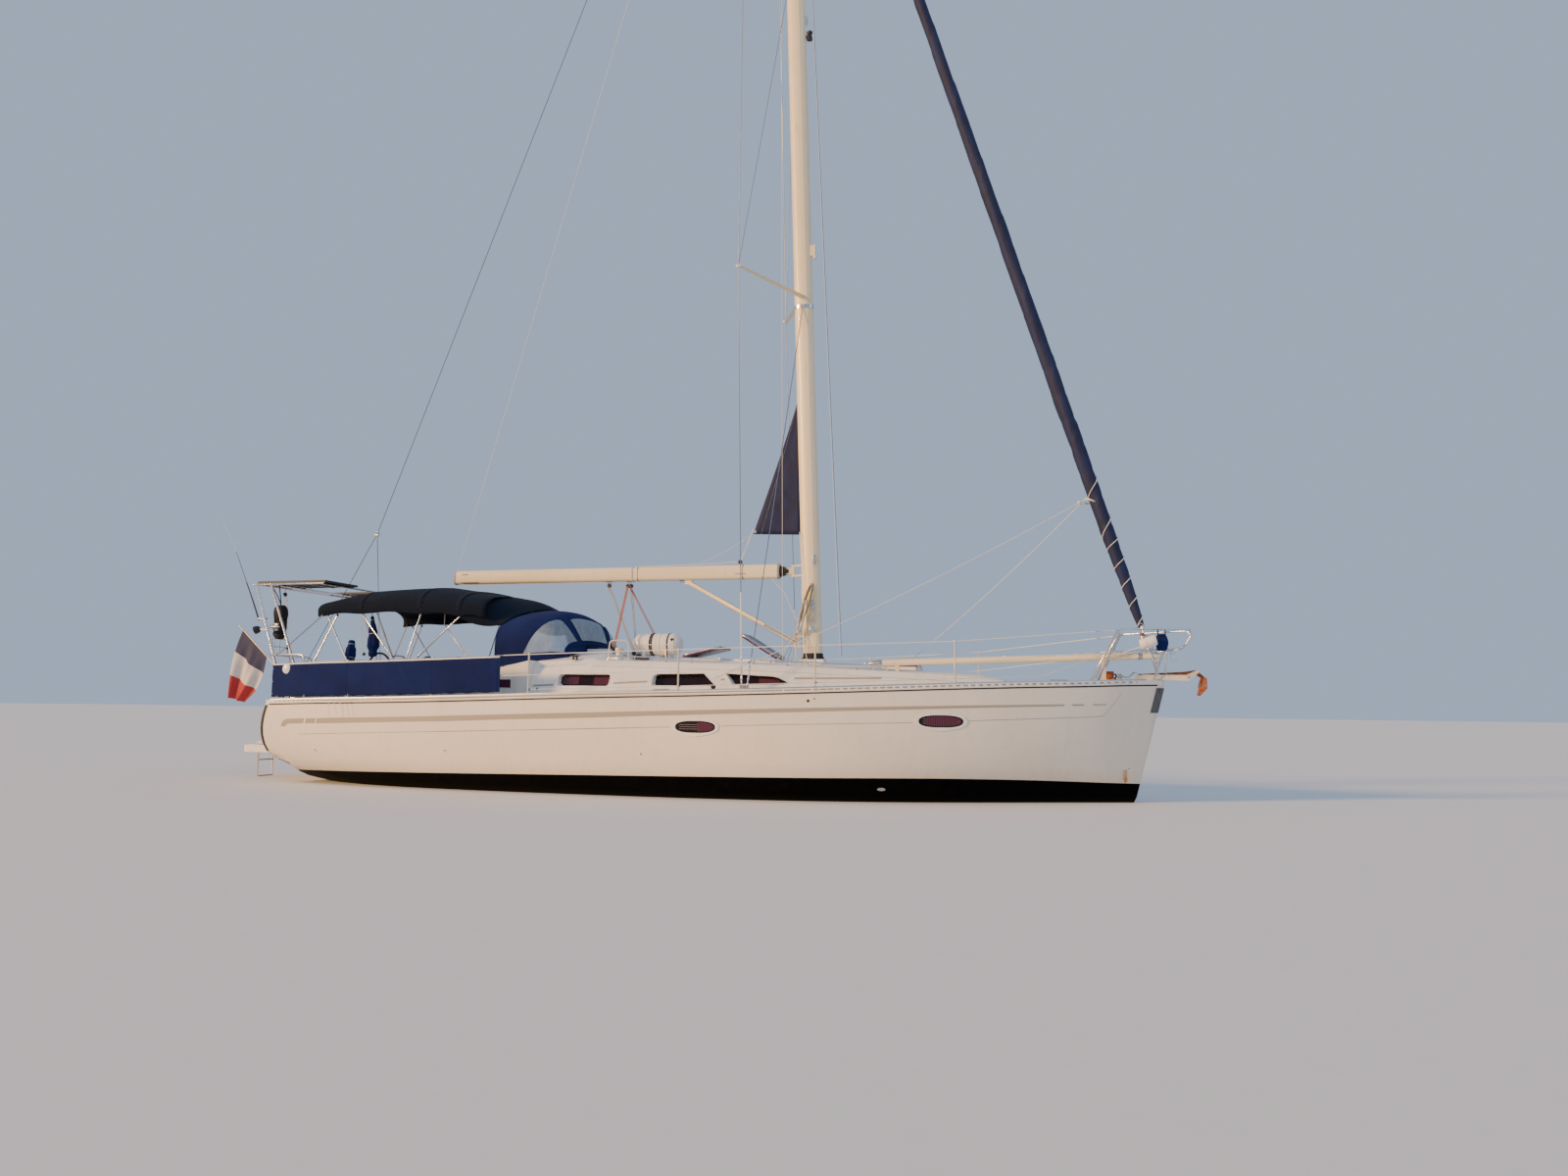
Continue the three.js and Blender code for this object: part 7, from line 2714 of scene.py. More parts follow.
class YACHT_OT_coachroof(bpy.types.Operator):
    """Coachroof with framed windows, curtains, stripes, handrails, hatch lids, clutches and instruments"""

    bl_idname = "yacht.coachroof"
    bl_label = "Coachroof"

    def execute(self, context):
        refined("coachroof", "gelcoat", angle=30, bevel=0.006)
        frames, drapes, stripes, steel, black, skid = (Shape() for _ in range(6))
        for name, side in SIDES:
            pane = "cabin_window_" + name
            refined(pane, "acrylic", angle=30)
            for outline in SIDE_WINDOWS:
                rim(frames, ("coachroof", pane), side, dense(list(outline)), -0.006, 0.02, 0.006)
            for a, b, low, high in (
                (-1.8, -1.55, 1.612, 1.745), (-1.31, -1.05, 1.612, 1.745), (1.24, 1.54, 1.655, 1.722)
            ):
                patch(drapes, pane, side, dense([(a, low), (b, low), (b, high), (a, high)], 0.1), 0.0015)
            for a, b, z0, z1 in (
                (-2.24, -1.9, 1.588, 1.604), (-0.95, -0.42, 1.634, 1.662), (0.7, 0.76, 1.7, 1.702),
                (1.78, 3.03, 1.728, 1.743)
            ):
                ribbon(
                    stripes, "coachroof", side, stops_of(a, b, 0.1),
                    lambda x: z0 + (z1 - z0) * (x - a) / (b - a), lambda x: 0.013
                )
            ribbon(
                stripes, "coachroof", side, stops_of(-2.2, 4.2, 0.15),
                lambda x: top_of("coachroof", x, side * (roof_top(x) - 0.04)) - 0.095, lambda x: 0.002
            )
            black.turned(
                [(0, -0.003), (0.02, -0.003), (0.02, 0.006), (0, 0.008)],
                (-2.161, side_of("coachroof", -2.161, 1.537, side), 1.537), (0, side, 0), 14
            )
            handrails(steel, side)
            # non-skid on the roof's sides
            for a, b in ((-1.22, -0.4), (-0.34, 0.46), (2.0, 2.8), (2.86, 3.6)):
                laid(
                    skid, "coachroof", stops_of(a, b, 0.1), lambda x: side * 0.37,
                    lambda x: side * (roof_top(x) - 0.16), 6
                )
            clutches(black, side)
        hatch_lids()
        companionway(steel)
        # instruments on the roof's aft face, and the mast collar
        for y in (-0.62, 0.62):
            at = hit("coachroof", (-3.2, y, 2.02), AHEAD)[0]
            black.turned(
                [(0, -0.004), (0.06, -0.004), (0.06, 0.008), (0.052, 0.012), (0, 0.012)], at, ASTERN, 24
            )
        collar = [
            [mast_side(2.052 + h, t * 12, out) for t in range(30)]
            for h, out in ((-0.004, 0.055), (0.006, 0.055), (0.012, 0.035), (0.014, 0.002))
        ]
        steel.grid(collar, closed=True)
        frames.piece("window_frames", "gelcoat", slot="deck_gelcoat", angle=50)
        drapes.piece("window_curtains", "curtain", slot="smoked_acrylic")
        stripes.piece("coachroof_stripes", "stripe", slot="deck_gelcoat")
        skid.piece("coachroof_nonskid", "nonskid", slot="deck_gelcoat", angle=50)
        steel.piece("coachroof_steelwork", "steel", slot="stainless", angle=50)
        black.piece("coachroof_blocks", "black", slot="black_cover", bevel=0.002)
        for name, _ in SIDES:
            refined("halyard_winch_" + name, "pale plate", angle=50, bevel=0.0015)
        return {"FINISHED"}


RAFT_Z = 2.285  # height of the canister's axis


class YACHT_OT_life_raft(bpy.types.Operator):
    """Life raft canister with its moulded bands, joint and straps"""

    bl_idname = "yacht.life_raft"
    bl_label = "Life raft"

    def execute(self, context):
        refined("life_raft", "gelcoat", angle=40, bevel=0.004)
        low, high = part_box("life_raft")
        straps, band = Shape(), Shape()

        def round_it(x, out, count=44):
            ring = []
            centre = Vector((x, 0, RAFT_Z))
            for t in turns(count):
                way = Vector((0, math.cos(t), math.sin(t)))
                place = tree_of("life_raft").ray_cast(centre + way * 0.6, -way)[0]
                ring.append((place or centre + way * 0.15) + way * out)
            return ring

        for x in (-0.9, -0.87, -0.6):
            straps.tube(round_it(x, 0.0035), 0.012, 6, closed=True, flat=0.25)
        for x in (-1.08, -0.74, -0.5):
            band.tube(round_it(x, 0.001), 0.01, 6, closed=True, flat=0.7)
        for side in (-1, 1):
            joint = []
            for x in stops_of(low[0] + 0.03, high[0] - 0.03, 0.03):
                place = tree_of("life_raft").ray_cast(
                    Vector((x, side * 0.6, RAFT_Z)), Vector((0, -side, 0))
                )[0]
                joint.append(place + Vector((0, side * 0.002, 0)))
            band.tube(joint, 0.008, 6, flat=0.6)
            mark = tree_of("life_raft").ray_cast(Vector((-0.52, side * 0.6, 2.36)), Vector((0, -side, 0)))[0]
            straps.turned([(0, -0.002), (0.034, -0.002), (0.03, 0.004), (0, 0.004)], mark, (0, side, 0.3), 18)
        straps.piece("life_raft_straps", "cover", slot="black_cover", angle=60)
        band.piece("life_raft_bands", "gelcoat", slot="deck_gelcoat", angle=60)
        return {"FINISHED"}


# Cockpit

HUB = (-5.48, 0.72, 1.76)
# Planked floors and seats: name, x, y and height
PLANKED = (
    ("seat_starboard", -4.87, -2.39, -1.155, -0.425, 1.4),
    ("seat_port", -4.87, -2.39, 0.425, 1.155, 1.4),
    ("helm_seat_starboard", -6.61, -6.27, -1.15, -0.325, 1.33),
    ("helm_seat_port", -6.61, -6.27, 0.325, 1.15, 1.33),
    ("sole", -4.88, -2.42, -0.37, 0.37, 0.9),
    ("helm_sole", -6.22, -4.93, -1.14, 1.14, 0.9),
    ("walkway", -6.77, -6.27, -0.27, 0.27, 0.9),
)


def coaming_at(x):
    return 1.84 + (x + 2.9) * 0.19 / 3.6


def planked(name, x0, x1, y0, y1, z):
    """Teak planks along the boat on a bed of caulk."""
    plank, seam = sizes().plank, sizes().seam
    count = int((y1 - y0) / (plank + seam))
    first = (y0 + y1) / 2 - (count - 1) * (plank + seam) / 2
    bed = Shape()
    bed.block((x0, y0, z - 0.002), (x1, y1, z + 0.005))
    bed.piece(name + "_caulk", "caulk", slot="teak")
    repeated(
        name + "_planks",
        "boards",
        "teak",
        slot="teak",
        Rows=count,
        Row_step=(0, plank + seam, 0),
        Columns=1,
        Board=(x1 - x0 - 0.02, plank, 0.012),
        First=((x0 + x1) / 2, first, z + 0.002),
    )


class YACHT_OT_cockpit(bpy.types.Operator):
    """Cockpit moulding with its planks, winches, side windows, table and locker seams"""

    bl_idname = "yacht.cockpit"
    bl_label = "Cockpit"

    def execute(self, context):
        refined("cockpit", "gelcoat", angle=28, bevel=0.008)
        refined("cockpit_table", "teak", angle=35, bevel=0.004)
        for row in PLANKED:
            planked(*row)
        steel, black, panes, frames, rope = (Shape() for _ in range(5))
        drum = (
            (0.094, -0.02), (0.094, 0.091), (0.06, 0.122), (0.057, 0.196), (0.084, 0.226), (0.084, 0.26),
            (0, 0.274)
        )
        jaws = (
            (0.083, 0.231), (0.091, 0.233), (0.092, 0.24), (0.087, 0.244), (0.092, 0.248), (0.091, 0.255),
            (0.083, 0.257)
        )
        for _, side in SIDES:
            for x in (-3.65, -4.35):
                foot = Vector((x, side * 1.335, coaming_at(x) - 0.04))
                steel.turned([(0, -0.02), *drum], foot, UP, 40)
                black.turned(jaws, foot, UP, 40)
                black.turned(
                    [(0, 0.262), (0.03, 0.267), (0.028, 0.277), (0.012, 0.278), (0, 0.27)], foot, UP, 20
                )
                for t in turns(20):
                    way = Vector((math.cos(t), math.sin(t), 0))
                    steel.tube([foot + way * 0.061 + Vector((0, 0, h)) for h in (0.124, 0.198)], 0.003, 6)
                # turns of the sheet on the drum
                if x == -3.65:
                    wound = [
                        (0.064 * math.cos(k * 0.35), side * 0.064 * math.sin(k * 0.35), 0.13 + 0.00077 * k)
                        for k in range(72)
                    ]
                    rope.tube([foot + Vector(p) for p in wound], sizes().rope, 8)
            outline = dense([(-2.86, 1.55), (-2.6, 1.55), (-2.6, 1.68), (-2.86, 1.68)], 0.05)
            patch(panes, "cockpit", side, outline, 0.002)
            rim(frames, "cockpit", side, outline, -0.004, 0.014, 0.005)
            # lids of the lockers under the seats, and their catches
            for x0, x1 in ((-4.8, -3.7), (-3.6, -2.5)):
                edge = [
                    (x0, side * 0.398, 1.02), (x1, side * 0.398, 1.02), (x1, side * 0.398, 1.32),
                    (x0, side * 0.398, 1.32)
                ]
                black.tube(edge, 0.0025, 6, closed=True)
                steel.turned(
                    [(0, -0.002), (0.022, -0.002), (0.02, 0.006), (0, 0.007)],
                    ((x0 + x1) / 2, side * 0.4, 1.27), (0, -side, 0), 16
                )
            # cleat and backrest piping on the coaming
            cleat(steel, (-5.6, side * 1.36, coaming_at(-5.6)), 1.0, 0.2)
            line = [(x, side * 1.19, coaming_at(x) + 0.001) for x in stops_of(-4.85, -2.95, 0.2)]
            frames.tube(line, 0.01, 8, flat=0.6)
        # fiddles, hinges and the grab bar of the table
        for name, side in SIDES:
            y = side * 0.142
            fiddle = Shape()
            fiddle.block((-4.33, y - 0.008, 1.556), (-2.97, y + 0.008, 1.58))
            fiddle.piece("table_fiddle_" + name, "teak", slot="teak", bevel=0.003)
            y = side * 0.155
            for x in (-4.15, -3.65, -3.15):
                steel.block((x - 0.035, y - 0.022, 1.5445), (x + 0.035, y + 0.022, 1.5475))
                steel.tube([(x - 0.035, y, 1.549), (x + 0.035, y, 1.549)], 0.004, 8)
        bar = curve_points(
            [
                (-4.335, -0.12, 1.3), (-4.42, -0.12, 1.42), (-4.42, -0.1, 1.72), (-4.42, 0.1, 1.72),
                (-4.42, 0.12, 1.42), (-4.335, 0.12, 1.3)
            ],
            6
        )
        steel.tube(bar, sizes().tube, 12)
        for x in (-3.95, -3.35):
            black.turned(disc(0.042, 0, 0.004, 0.036), (x, 0.05, 1.558), UP, 24)
        steel.piece("cockpit_steelwork", "steel", slot="stainless", angle=50)
        black.piece("cockpit_blacks", "black", slot="black_cover", angle=50)
        panes.piece("coaming_windows", "curtain", slot="smoked_acrylic")
        frames.piece("cockpit_mouldings", "gelcoat", slot="deck_gelcoat", angle=50)
        rope.piece("winch_turns", "white rope", slot="sailcloth")
        return {"FINISHED"}


class YACHT_OT_helms(bpy.types.Operator):
    """Pedestals with compass, throttle and displays, and the leather-bound wheels"""

    bl_idname = "yacht.helms"
    bl_label = "Steering"

    def execute(self, context):
        steel, black, glass = Shape(), Shape(), Shape()
        x, _, z = HUB
        for name, side in SIDES:
            y = side * HUB[1]
            refined("pedestal_" + name, "gelcoat", angle=35, bevel=0.018)
            top = Vector((-5.24, y, 1.899))
            black.turned(
                [(0, -0.004), (0.088, -0.004), (0.092, 0.012), (0.086, 0.04), (0.07, 0.046), (0, 0.046)],
                top, UP, 32
            )
            glass.ball(top + Vector((0, 0, 0.042)), 0.068, (1, 1, 0.75), 10, 28)
            # display pod, leaning back towards the helm
            lean = Matrix.Rotation(math.radians(-18), 3, "Y")
            black.block((-5.392, y - 0.13, 1.8), (-5.345, y + 0.13, 1.92), lean, (-5.36, y, 1.86))
            for dy in (-0.062, 0.062):
                glass.block(
                    (-5.395, y + dy - 0.05, 1.816), (-5.39, y + dy + 0.05, 1.904), lean, (-5.36, y, 1.86)
                )
            # grab hoop ahead of the pedestal
            hoop = [
                (-5.17, y - 0.09, 1.62), (-5.12, y - 0.17, 1.72), (-5.11, y - 0.17, 2.0),
                (-5.13, y - 0.12, 2.07), (-5.13, y + 0.12, 2.07), (-5.11, y + 0.17, 2.0),
                (-5.12, y + 0.17, 1.72), (-5.17, y + 0.09, 1.62)
            ]
            steel.tube(curve_points(hoop, 5), sizes().tube, 12)
            # wheel: leather over the rim, tapered spokes and a hub cap
            refined("wheel_" + name, "steel", angle=50)
            rim_path = [(x, y + 0.365 * math.cos(t), z + 0.365 * math.sin(t)) for t in turns(96)]
            leather = Shape()
            leather.tube(rim_path, 0.0172, 14, closed=True)
            leather.piece(f"wheel_{name}_leather", "leather", "wheel_" + name, "stainless", angle=80)
            inner = [
                (x, y + 0.3482 * math.cos(t), z + 0.3482 * math.sin(t))
                for t in [2 * math.pi * k / 97 for k in range(98)]
            ]
            repeated(
                f"wheel_{name}_stitches", "pegs", "white rope", [inner], "wheel_" + name, "sailcloth",
                Spacing=0.018, Radius=0.0016, Length=0.011
            )
            spokes = Shape()
            for t in turns(5):
                way = Vector((0, math.cos(t + math.pi / 2), math.sin(t + math.pi / 2)))
                centre = Vector((x, y, z))
                spokes.tube(
                    [centre + way * d for d in (0.03, 0.1, 0.24, 0.35)], [0.017, 0.0125, 0.0095, 0.009], 12
                )
            spokes.turned(
                [(0, -0.032), (0.02, -0.052), (0.036, -0.04), (0.049, -0.029), (0.049, 0.02), (0, 0.02)],
                (x, y, z), AHEAD, 32
            )
            spokes.piece(f"wheel_{name}_spokes", "steel", "wheel_" + name, "stainless", angle=50)
        # throttle lever beside the starboard helm
        lever = Vector((-5.3, -0.72 - 0.118, 1.74))
        steel.turned(
            [(0, -0.01), (0.034, -0.01), (0.034, 0.012), (0.024, 0.02), (0, 0.02)], lever, TO_STARBOARD, 20
        )
        steel.tube(
            [
                lever + Vector((0, -0.012, 0)), lever + Vector((0.02, -0.026, 0.07)),
                lever + Vector((0.03, -0.028, 0.15))
            ],
            0.0065, 10
        )
        black.ball(lever + Vector((0.032, -0.028, 0.165)), 0.021, (1, 1, 1.2), 8, 16)
        steel.piece("helm_steelwork", "steel", slot="stainless", angle=50)
        black.piece("helm_instruments", "black", slot="black_cover", bevel=0.003, angle=50)
        glass.piece("helm_displays", "glass", slot="smoked_acrylic", angle=50)
        return {"FINISHED"}


TIED_AT = (0.18, 0.52, 0.84)  # shares of a furled cloth's length


def furled(name, finish, line, radii, slot="navy_canvas", sides=26, seed=3):
    """A cloth furled round a line and tied: soft, pinched under each tie, with its folds along it."""
    rng = random.Random(seed)
    phase = [rng.uniform(0, 6.28) for _ in range(4)]
    path = curve_points(line, 10)
    shape, ties = Shape(), Shape()
    axis = (path[-1] - path[0]).normalized()
    aside = axis.orthogonal().normalized()
    across = axis.cross(aside)
    rows = []
    count = len(path)
    for i, point in enumerate(path):
        share = i / (count - 1)
        base = along([(k / (len(radii) - 1), r) for k, r in enumerate(radii)], share)
        pinch = 1 - 0.22 * max(math.exp(-(((share - s) / 0.045) ** 2)) for s in TIED_AT)
        ring = []
        for turn in turns(sides):
            fold = 0.1 * math.sin(4 * turn + 3 * share + phase[0])
            fold += 0.06 * math.sin(7 * turn - 5 * share + phase[1])
            r = base * pinch * (1 + fold * math.sin(math.pi * share) ** 0.4)
            ring.append(point + (aside * math.cos(turn) + across * math.sin(turn)) * r)
        rows.append(ring)
    shape.grid(rows, closed=True, capped=True)
    piece = shape.piece(name, finish, slot=slot, angle=70)
    for s in TIED_AT:
        at = path[int(s * (count - 1))]
        base = along([(k / (len(radii) - 1), r) for k, r in enumerate(radii)], s) * 0.84
        ties.tube(
            [at + (aside * math.cos(t) + across * math.sin(t)) * base for t in turns(20)], 0.004, 6,
            closed=True
        )
    ties.piece(name + "_ties", "white rope", slot="sailcloth")
    return piece


# Stern

ARCH_BARS = (-7.44, -7.16, -6.2)
ARCH_Z, ARCH_HALF = 3.24, 1.4
HINGE = (-7.18, 0.47)
LADDER_PIN = (-8.202, 0.586)
STAFF = (Vector((-7.003, -1.15, 1.736)), Vector((-7.93, -1.15, 2.56)))


def furled_curtains():
    """The furled side curtain that hangs from the bimini, and the roll lashed to its leg."""
    furled(
        "curtain_roll", "canvas", [(-5.46, -1.02, 2.72), (-5.4, -1.06, 2.42), (-5.37, -1.09, 2.06)],
        [0.02, 0.042, 0.08, 0.1, 0.062]
    )
    furled(
        "leg_roll", "canvas",
        [(-5.74, -1.14, 2.31), (-5.72, -1.2, 2.02), (-5.7, -1.26, coaming_at(-5.7) + 0.01)],
        [0.045, 0.08, 0.086, 0.074, 0.05], seed=5
    )
    strap = Shape()
    strap.tube([(-5.48, -1.01, 3.06), (-5.46, -1.02, 2.715)], 0.007, 8, flat=0.3)
    strap.piece("curtain_strap", "cover", slot="navy_canvas")


def bimini_legs(steel, black, side):
    """The bimini's aft struts and crossed legs on one side."""
    tube = sizes().tube
    for a, b in (
        ((-6.26, 1.215, 2.735), (-6.8, 1.585, 2.062)),
        ((-6.16, 1.225, 2.72), (-5.54, 1.335, coaming_at(-5.54) + 0.02)),
        ((-5.97, 1.235, 2.725), (-6.44, 1.345, coaming_at(-6.44) + 0.02)),
    ):
        top, foot = Vector((a[0], side * a[1], a[2])), Vector((b[0], side * b[1], b[2]))
        steel.tube([top, foot], tube, 12)
        for end in (top, foot):
            black.ball(end, tube * 1.7, (1, 1, 1.1), 6, 12)


def stern_tackle(black, rope, side):
    """The tackle between the arch and the pushpit on one side."""
    head, tail = Vector((-7.15, side * 1.05, 3.1)), Vector((-7.04, side * 1.05, 2.2))
    pulley(black, head, (1, 0, 0.1), 0.036)
    pulley(black, tail, (1, 0, 0.1), 0.032)
    rope.tube([head + Vector((0, 0, 0.03)), (-7.158, side * 1.05, 3.225)], 0.005, 7)
    rope.tube([tail - Vector((0, 0, 0.03)), (-7.04, side * 1.05, 2.075)], 0.005, 7)
    for dy in (-0.026, 0.026):
        rope.tube([head + Vector((0, dy, 0)), tail + Vector((0, dy * 0.8, 0))], sizes().line, 7)
    rope.tube(sagging(head + Vector((0, 0.03, 0)), (-7.042, side * 0.93, 2.078), 0.0), sizes().line, 7)
    rope.tube(
        lashed(
            [(-7.04, side * 0.9, 2.06), (-7.04, side * 0.98, 2.06)], 0.0175, 0.009, 0.0, 0.08, step=0.004
        ),
        sizes().line, 6
    )


def aerial_and_lamps(steel, black, rope):
    """The whip aerial on the starboard aft post, the lamps and the pushpit's rack."""
    # whip aerial on the starboard aft post
    steel.block((-7.36, -1.425, 2.655), (-7.205, -1.385, 2.68))
    black.tube(
        curve_points([(-7.352, -1.405, 2.64), (-7.49, -1.405, 2.96), (-7.64, -1.405, 3.28)], 5),
        [0.0135, 0.0132, 0.0128, 0.0124, 0.0118, 0.0112, 0.0106, 0.01, 0.0094, 0.0088, 0.0082], 12
    )
    black.tube(
        [(-7.64, -1.405, 3.28), (-7.75, -1.405, 3.52), (-7.88, -1.405, 3.8)], [0.0052, 0.0046, 0.004], 8
    )
    rope.tube([(-7.88, -1.405, 3.8), (-8.04, -1.405, 4.1), (-8.2, -1.405, 4.36)], [0.0032, 0.0026, 0.0018], 6)
    # round lamp on a bracket
    steel.block((-7.32, -1.425, 2.475), (-7.15, -1.405, 2.505))
    black.turned(
        [
            (0, -0.05), (0.035, -0.05), (0.058, -0.02), (0.066, 0.02), (0.066, 0.045), (0.056, 0.048),
            (0.05, 0.03), (0, 0.028)
        ],
        (-7.37, -1.41, 2.485), (-0.9, -0.25, -0.35), 28
    )
    steel.tube([(-7.33, -1.41, 2.49), (-7.37, -1.41, 2.545)], 0.006, 8)
    # stern light and rack on the pushpit
    black.turned(
        [(0, 0), (0.03, 0), (0.034, 0.012), (0.034, 0.052), (0.026, 0.064), (0, 0.066)],
        (-7.04, 0.62, 2.07), UP, 20
    )
    for z in (2.335, 2.205):
        steel.tube([(-6.95, -1.5, z), (-7.05, -1.42, z), (-7.05, -1.05, z)], 0.009, 10)
    for x, y in ((-6.95, -1.5), (-7.05, -1.42), (-7.05, -1.24), (-7.05, -1.06)):
        steel.tube([(x, y, 2.06), (x, y, 2.335)], 0.009, 10)


class YACHT_OT_arch(bpy.types.Operator):
    """Stern arch with its solar panels, aerial, lamp, tackles and the bimini's struts"""

    bl_idname = "yacht.arch"
    bl_label = "Stern arch"

    def execute(self, context):
        refined("stern_arch", "steel", angle=50)
        steel, black, alloy, back, rope = (Shape() for _ in range(5))
        cell = sizes().cell
        for name, side in SIDES:
            refined("solar_panel_" + name, "black", angle=35, bevel=0.0015)
            low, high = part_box("solar_panel_" + name)
            repeated(
                f"solar_cells_{name}",
                "boards",
                "cell",
                slot="solar_cells",
                Rows=6,
                Row_step=(0, cell + 0.004, 0),
                Columns=9,
                Column_step=(cell + 0.004, 0, 0),
                Board=(cell, cell, 0.004),
                First=(
                    (low[0] + high[0]) / 2 - 4 * (cell + 0.004),
                    (low[1] + high[1]) / 2 - 2.5 * (cell + 0.004), high[2]
                ),
            )
            back.block(
                (low[0] + 0.03, low[1] + 0.03, low[2] - 0.0015),
                (high[0] - 0.03, high[1] - 0.03, low[2] + 0.002)
            )
            for x in (low[0] + 0.4, low[0] + 0.85):
                alloy.block(
                    (x - 0.012, low[1] + 0.02, low[2] - 0.012), (x + 0.012, high[1] - 0.02, low[2] - 0.001)
                )
            black.block(
                (low[0] + 0.1, low[1] + 0.3, low[2] - 0.03), (low[0] + 0.22, low[1] + 0.42, low[2] - 0.002)
            )
            for x in ARCH_BARS:
                for y in (low[1] + 0.06, high[1] - 0.06):
                    steel.turned(disc(0.01, -0.02, 0.02), (x + 0.004, y, ARCH_Z), UP, 10)
            # caps where tubes meet, and the posts' feet on the deck
            for x in ARCH_BARS[:2]:
                steel.ball((x, side * ARCH_HALF, ARCH_Z), 0.0245, rings=8, sides=14)
            for foot_x in (-6.33, -6.72):
                place = (foot_x, side * 1.47, deck_at(foot_x, 1.47))
                steel.turned(
                    [
                        (0, -0.004), (0.045, -0.004), (0.045, 0.004), (0.026, 0.01), (0.0225, 0.07),
                        (0, 0.07)
                    ],
                    place, (-0.36, 0, 1), 20
                )
            steel.ball((-6.15, side * ARCH_HALF, ARCH_Z), 0.019, rings=6, sides=12)
            bimini_legs(steel, black, side)
            stern_tackle(black, rope, side)
        aerial_and_lamps(steel, black, rope)
        steel.piece("arch_fittings", "steel", slot="stainless", angle=50)
        black.piece("arch_blacks", "black", slot="black_cover", bevel=0.001, angle=50)
        alloy.piece("solar_rails", "alloy", slot="stainless")
        back.piece("solar_backs", "cover", slot="solar_cells")
        rope.piece("arch_ropes", "white rope", slot="sailcloth")
        furled_curtains()
        return {"FINISHED"}


HANGING_LINES = (
    ((-5.47, -2.015, 1.375), (-5.472, -2.02, 1.24), (-5.466, -2.012, 1.1)),
    ((-5.4, -2.015, 1.375), (-5.36, -2.022, 1.25), (-5.31, -2.014, 1.11)),
    ((-5.3, -2.015, 1.38), (-5.26, -2.022, 1.27), (-5.22, -2.014, 1.14)),
)


class YACHT_OT_lines(bpy.types.Operator):
    """Light lines tied to the toe rail that hang over the topsides"""

    bl_idname = "yacht.lines"
    bl_label = "Hanging lines"

    def execute(self, context):
        for k, points in enumerate(HANGING_LINES):
            path = []
            for p in curve_points([Vector(p) for p in points], 6):
                p.y = min(p.y, side_of("hull", p.x, min(p.z, 1.29), -1) - 0.01)
                path.append(p)
            free_line(f"hanging_line_{k + 1}", "white rope", path, 0.004)
        return {"FINISHED"}


class YACHT_OT_motor(bpy.types.Operator):
    """Outboard motor under its tied black cover"""

    bl_idname = "yacht.motor"
    bl_label = "Motor cover"

    def execute(self, context):
        table = (
            (2.33, 0.05, 0.046), (2.345, 0.066, 0.06), (2.4, 0.108, 0.088), (2.6, 0.104, 0.092),
            (2.7, 0.112, 0.098), (2.79, 0.118, 0.102), (2.86, 0.098, 0.088), (2.9, 0.06, 0.055)
        )
        rows = []
        for i in range(49):
            z = 2.33 + 0.57 * i / 48
            a, b = eased(table, min(z, 2.8999))
            tie = 1 - 0.1 * math.exp(-(((z - 2.47) / 0.022) ** 2))
            tie -= 0.06 * math.exp(-(((z - 2.66) / 0.016) ** 2))
            ring = []
            for turn in turns(40):
                crease = 0.035 * math.sin(5 * turn + 9 * z)
                crease += 0.022 * math.sin(9 * turn - 14 * z) * math.sin(20 * z)
                r = tie * (1 + crease * min(1, (z - 2.33) * 12, (2.91 - z) * 12))
                ring.append((-7.07 + a * math.cos(turn) * r, -1.23 + b * math.sin(turn) * r, z))
            rows.append(ring)
        shape = Shape()
        shape.grid(rows, closed=True, capped=True)
        cover = shape.piece("outboard_cover_cloth", "cover", slot="black_cover", angle=75)
        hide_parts("outboard_cover")
        ties = Shape()
        for z, grow in ((2.47, 0.93), (2.66, 0.965)):
            a, b = eased(table, z)
            ties.tube(
                [(-7.07 + a * grow * math.cos(t), -1.23 + b * grow * math.sin(t), z) for t in turns(36)],
                0.006, 8, closed=True
            )
        ties.tube([(-7.07, -1.23, 2.895), (-7.1, -1.29, 3.05), (-7.155, -1.395, 3.23)], 0.011, 8, flat=0.3)
        ties.tube([(-7.09, -1.21, 2.895), (-7.12, -1.2, 3.05), (-7.158, -1.19, 3.23)], 0.011, 8, flat=0.3)
        ties.piece("outboard_cover_ties", "cover", slot="black_cover")
        clamp = Shape()
        for y in (-1.315, -1.345):
            clamp.block((-7.115, y - 0.01, 2.47), (-7.022, y + 0.01, 2.59))
        clamp.tube([(-7.12, -1.33, 2.5), (-7.16, -1.33, 2.5), (-7.16, -1.3, 2.5)], 0.006, 8)
        clamp.piece("outboard_clamp", "alloy", slot="stainless", bevel=0.002)
        return {"FINISHED"}


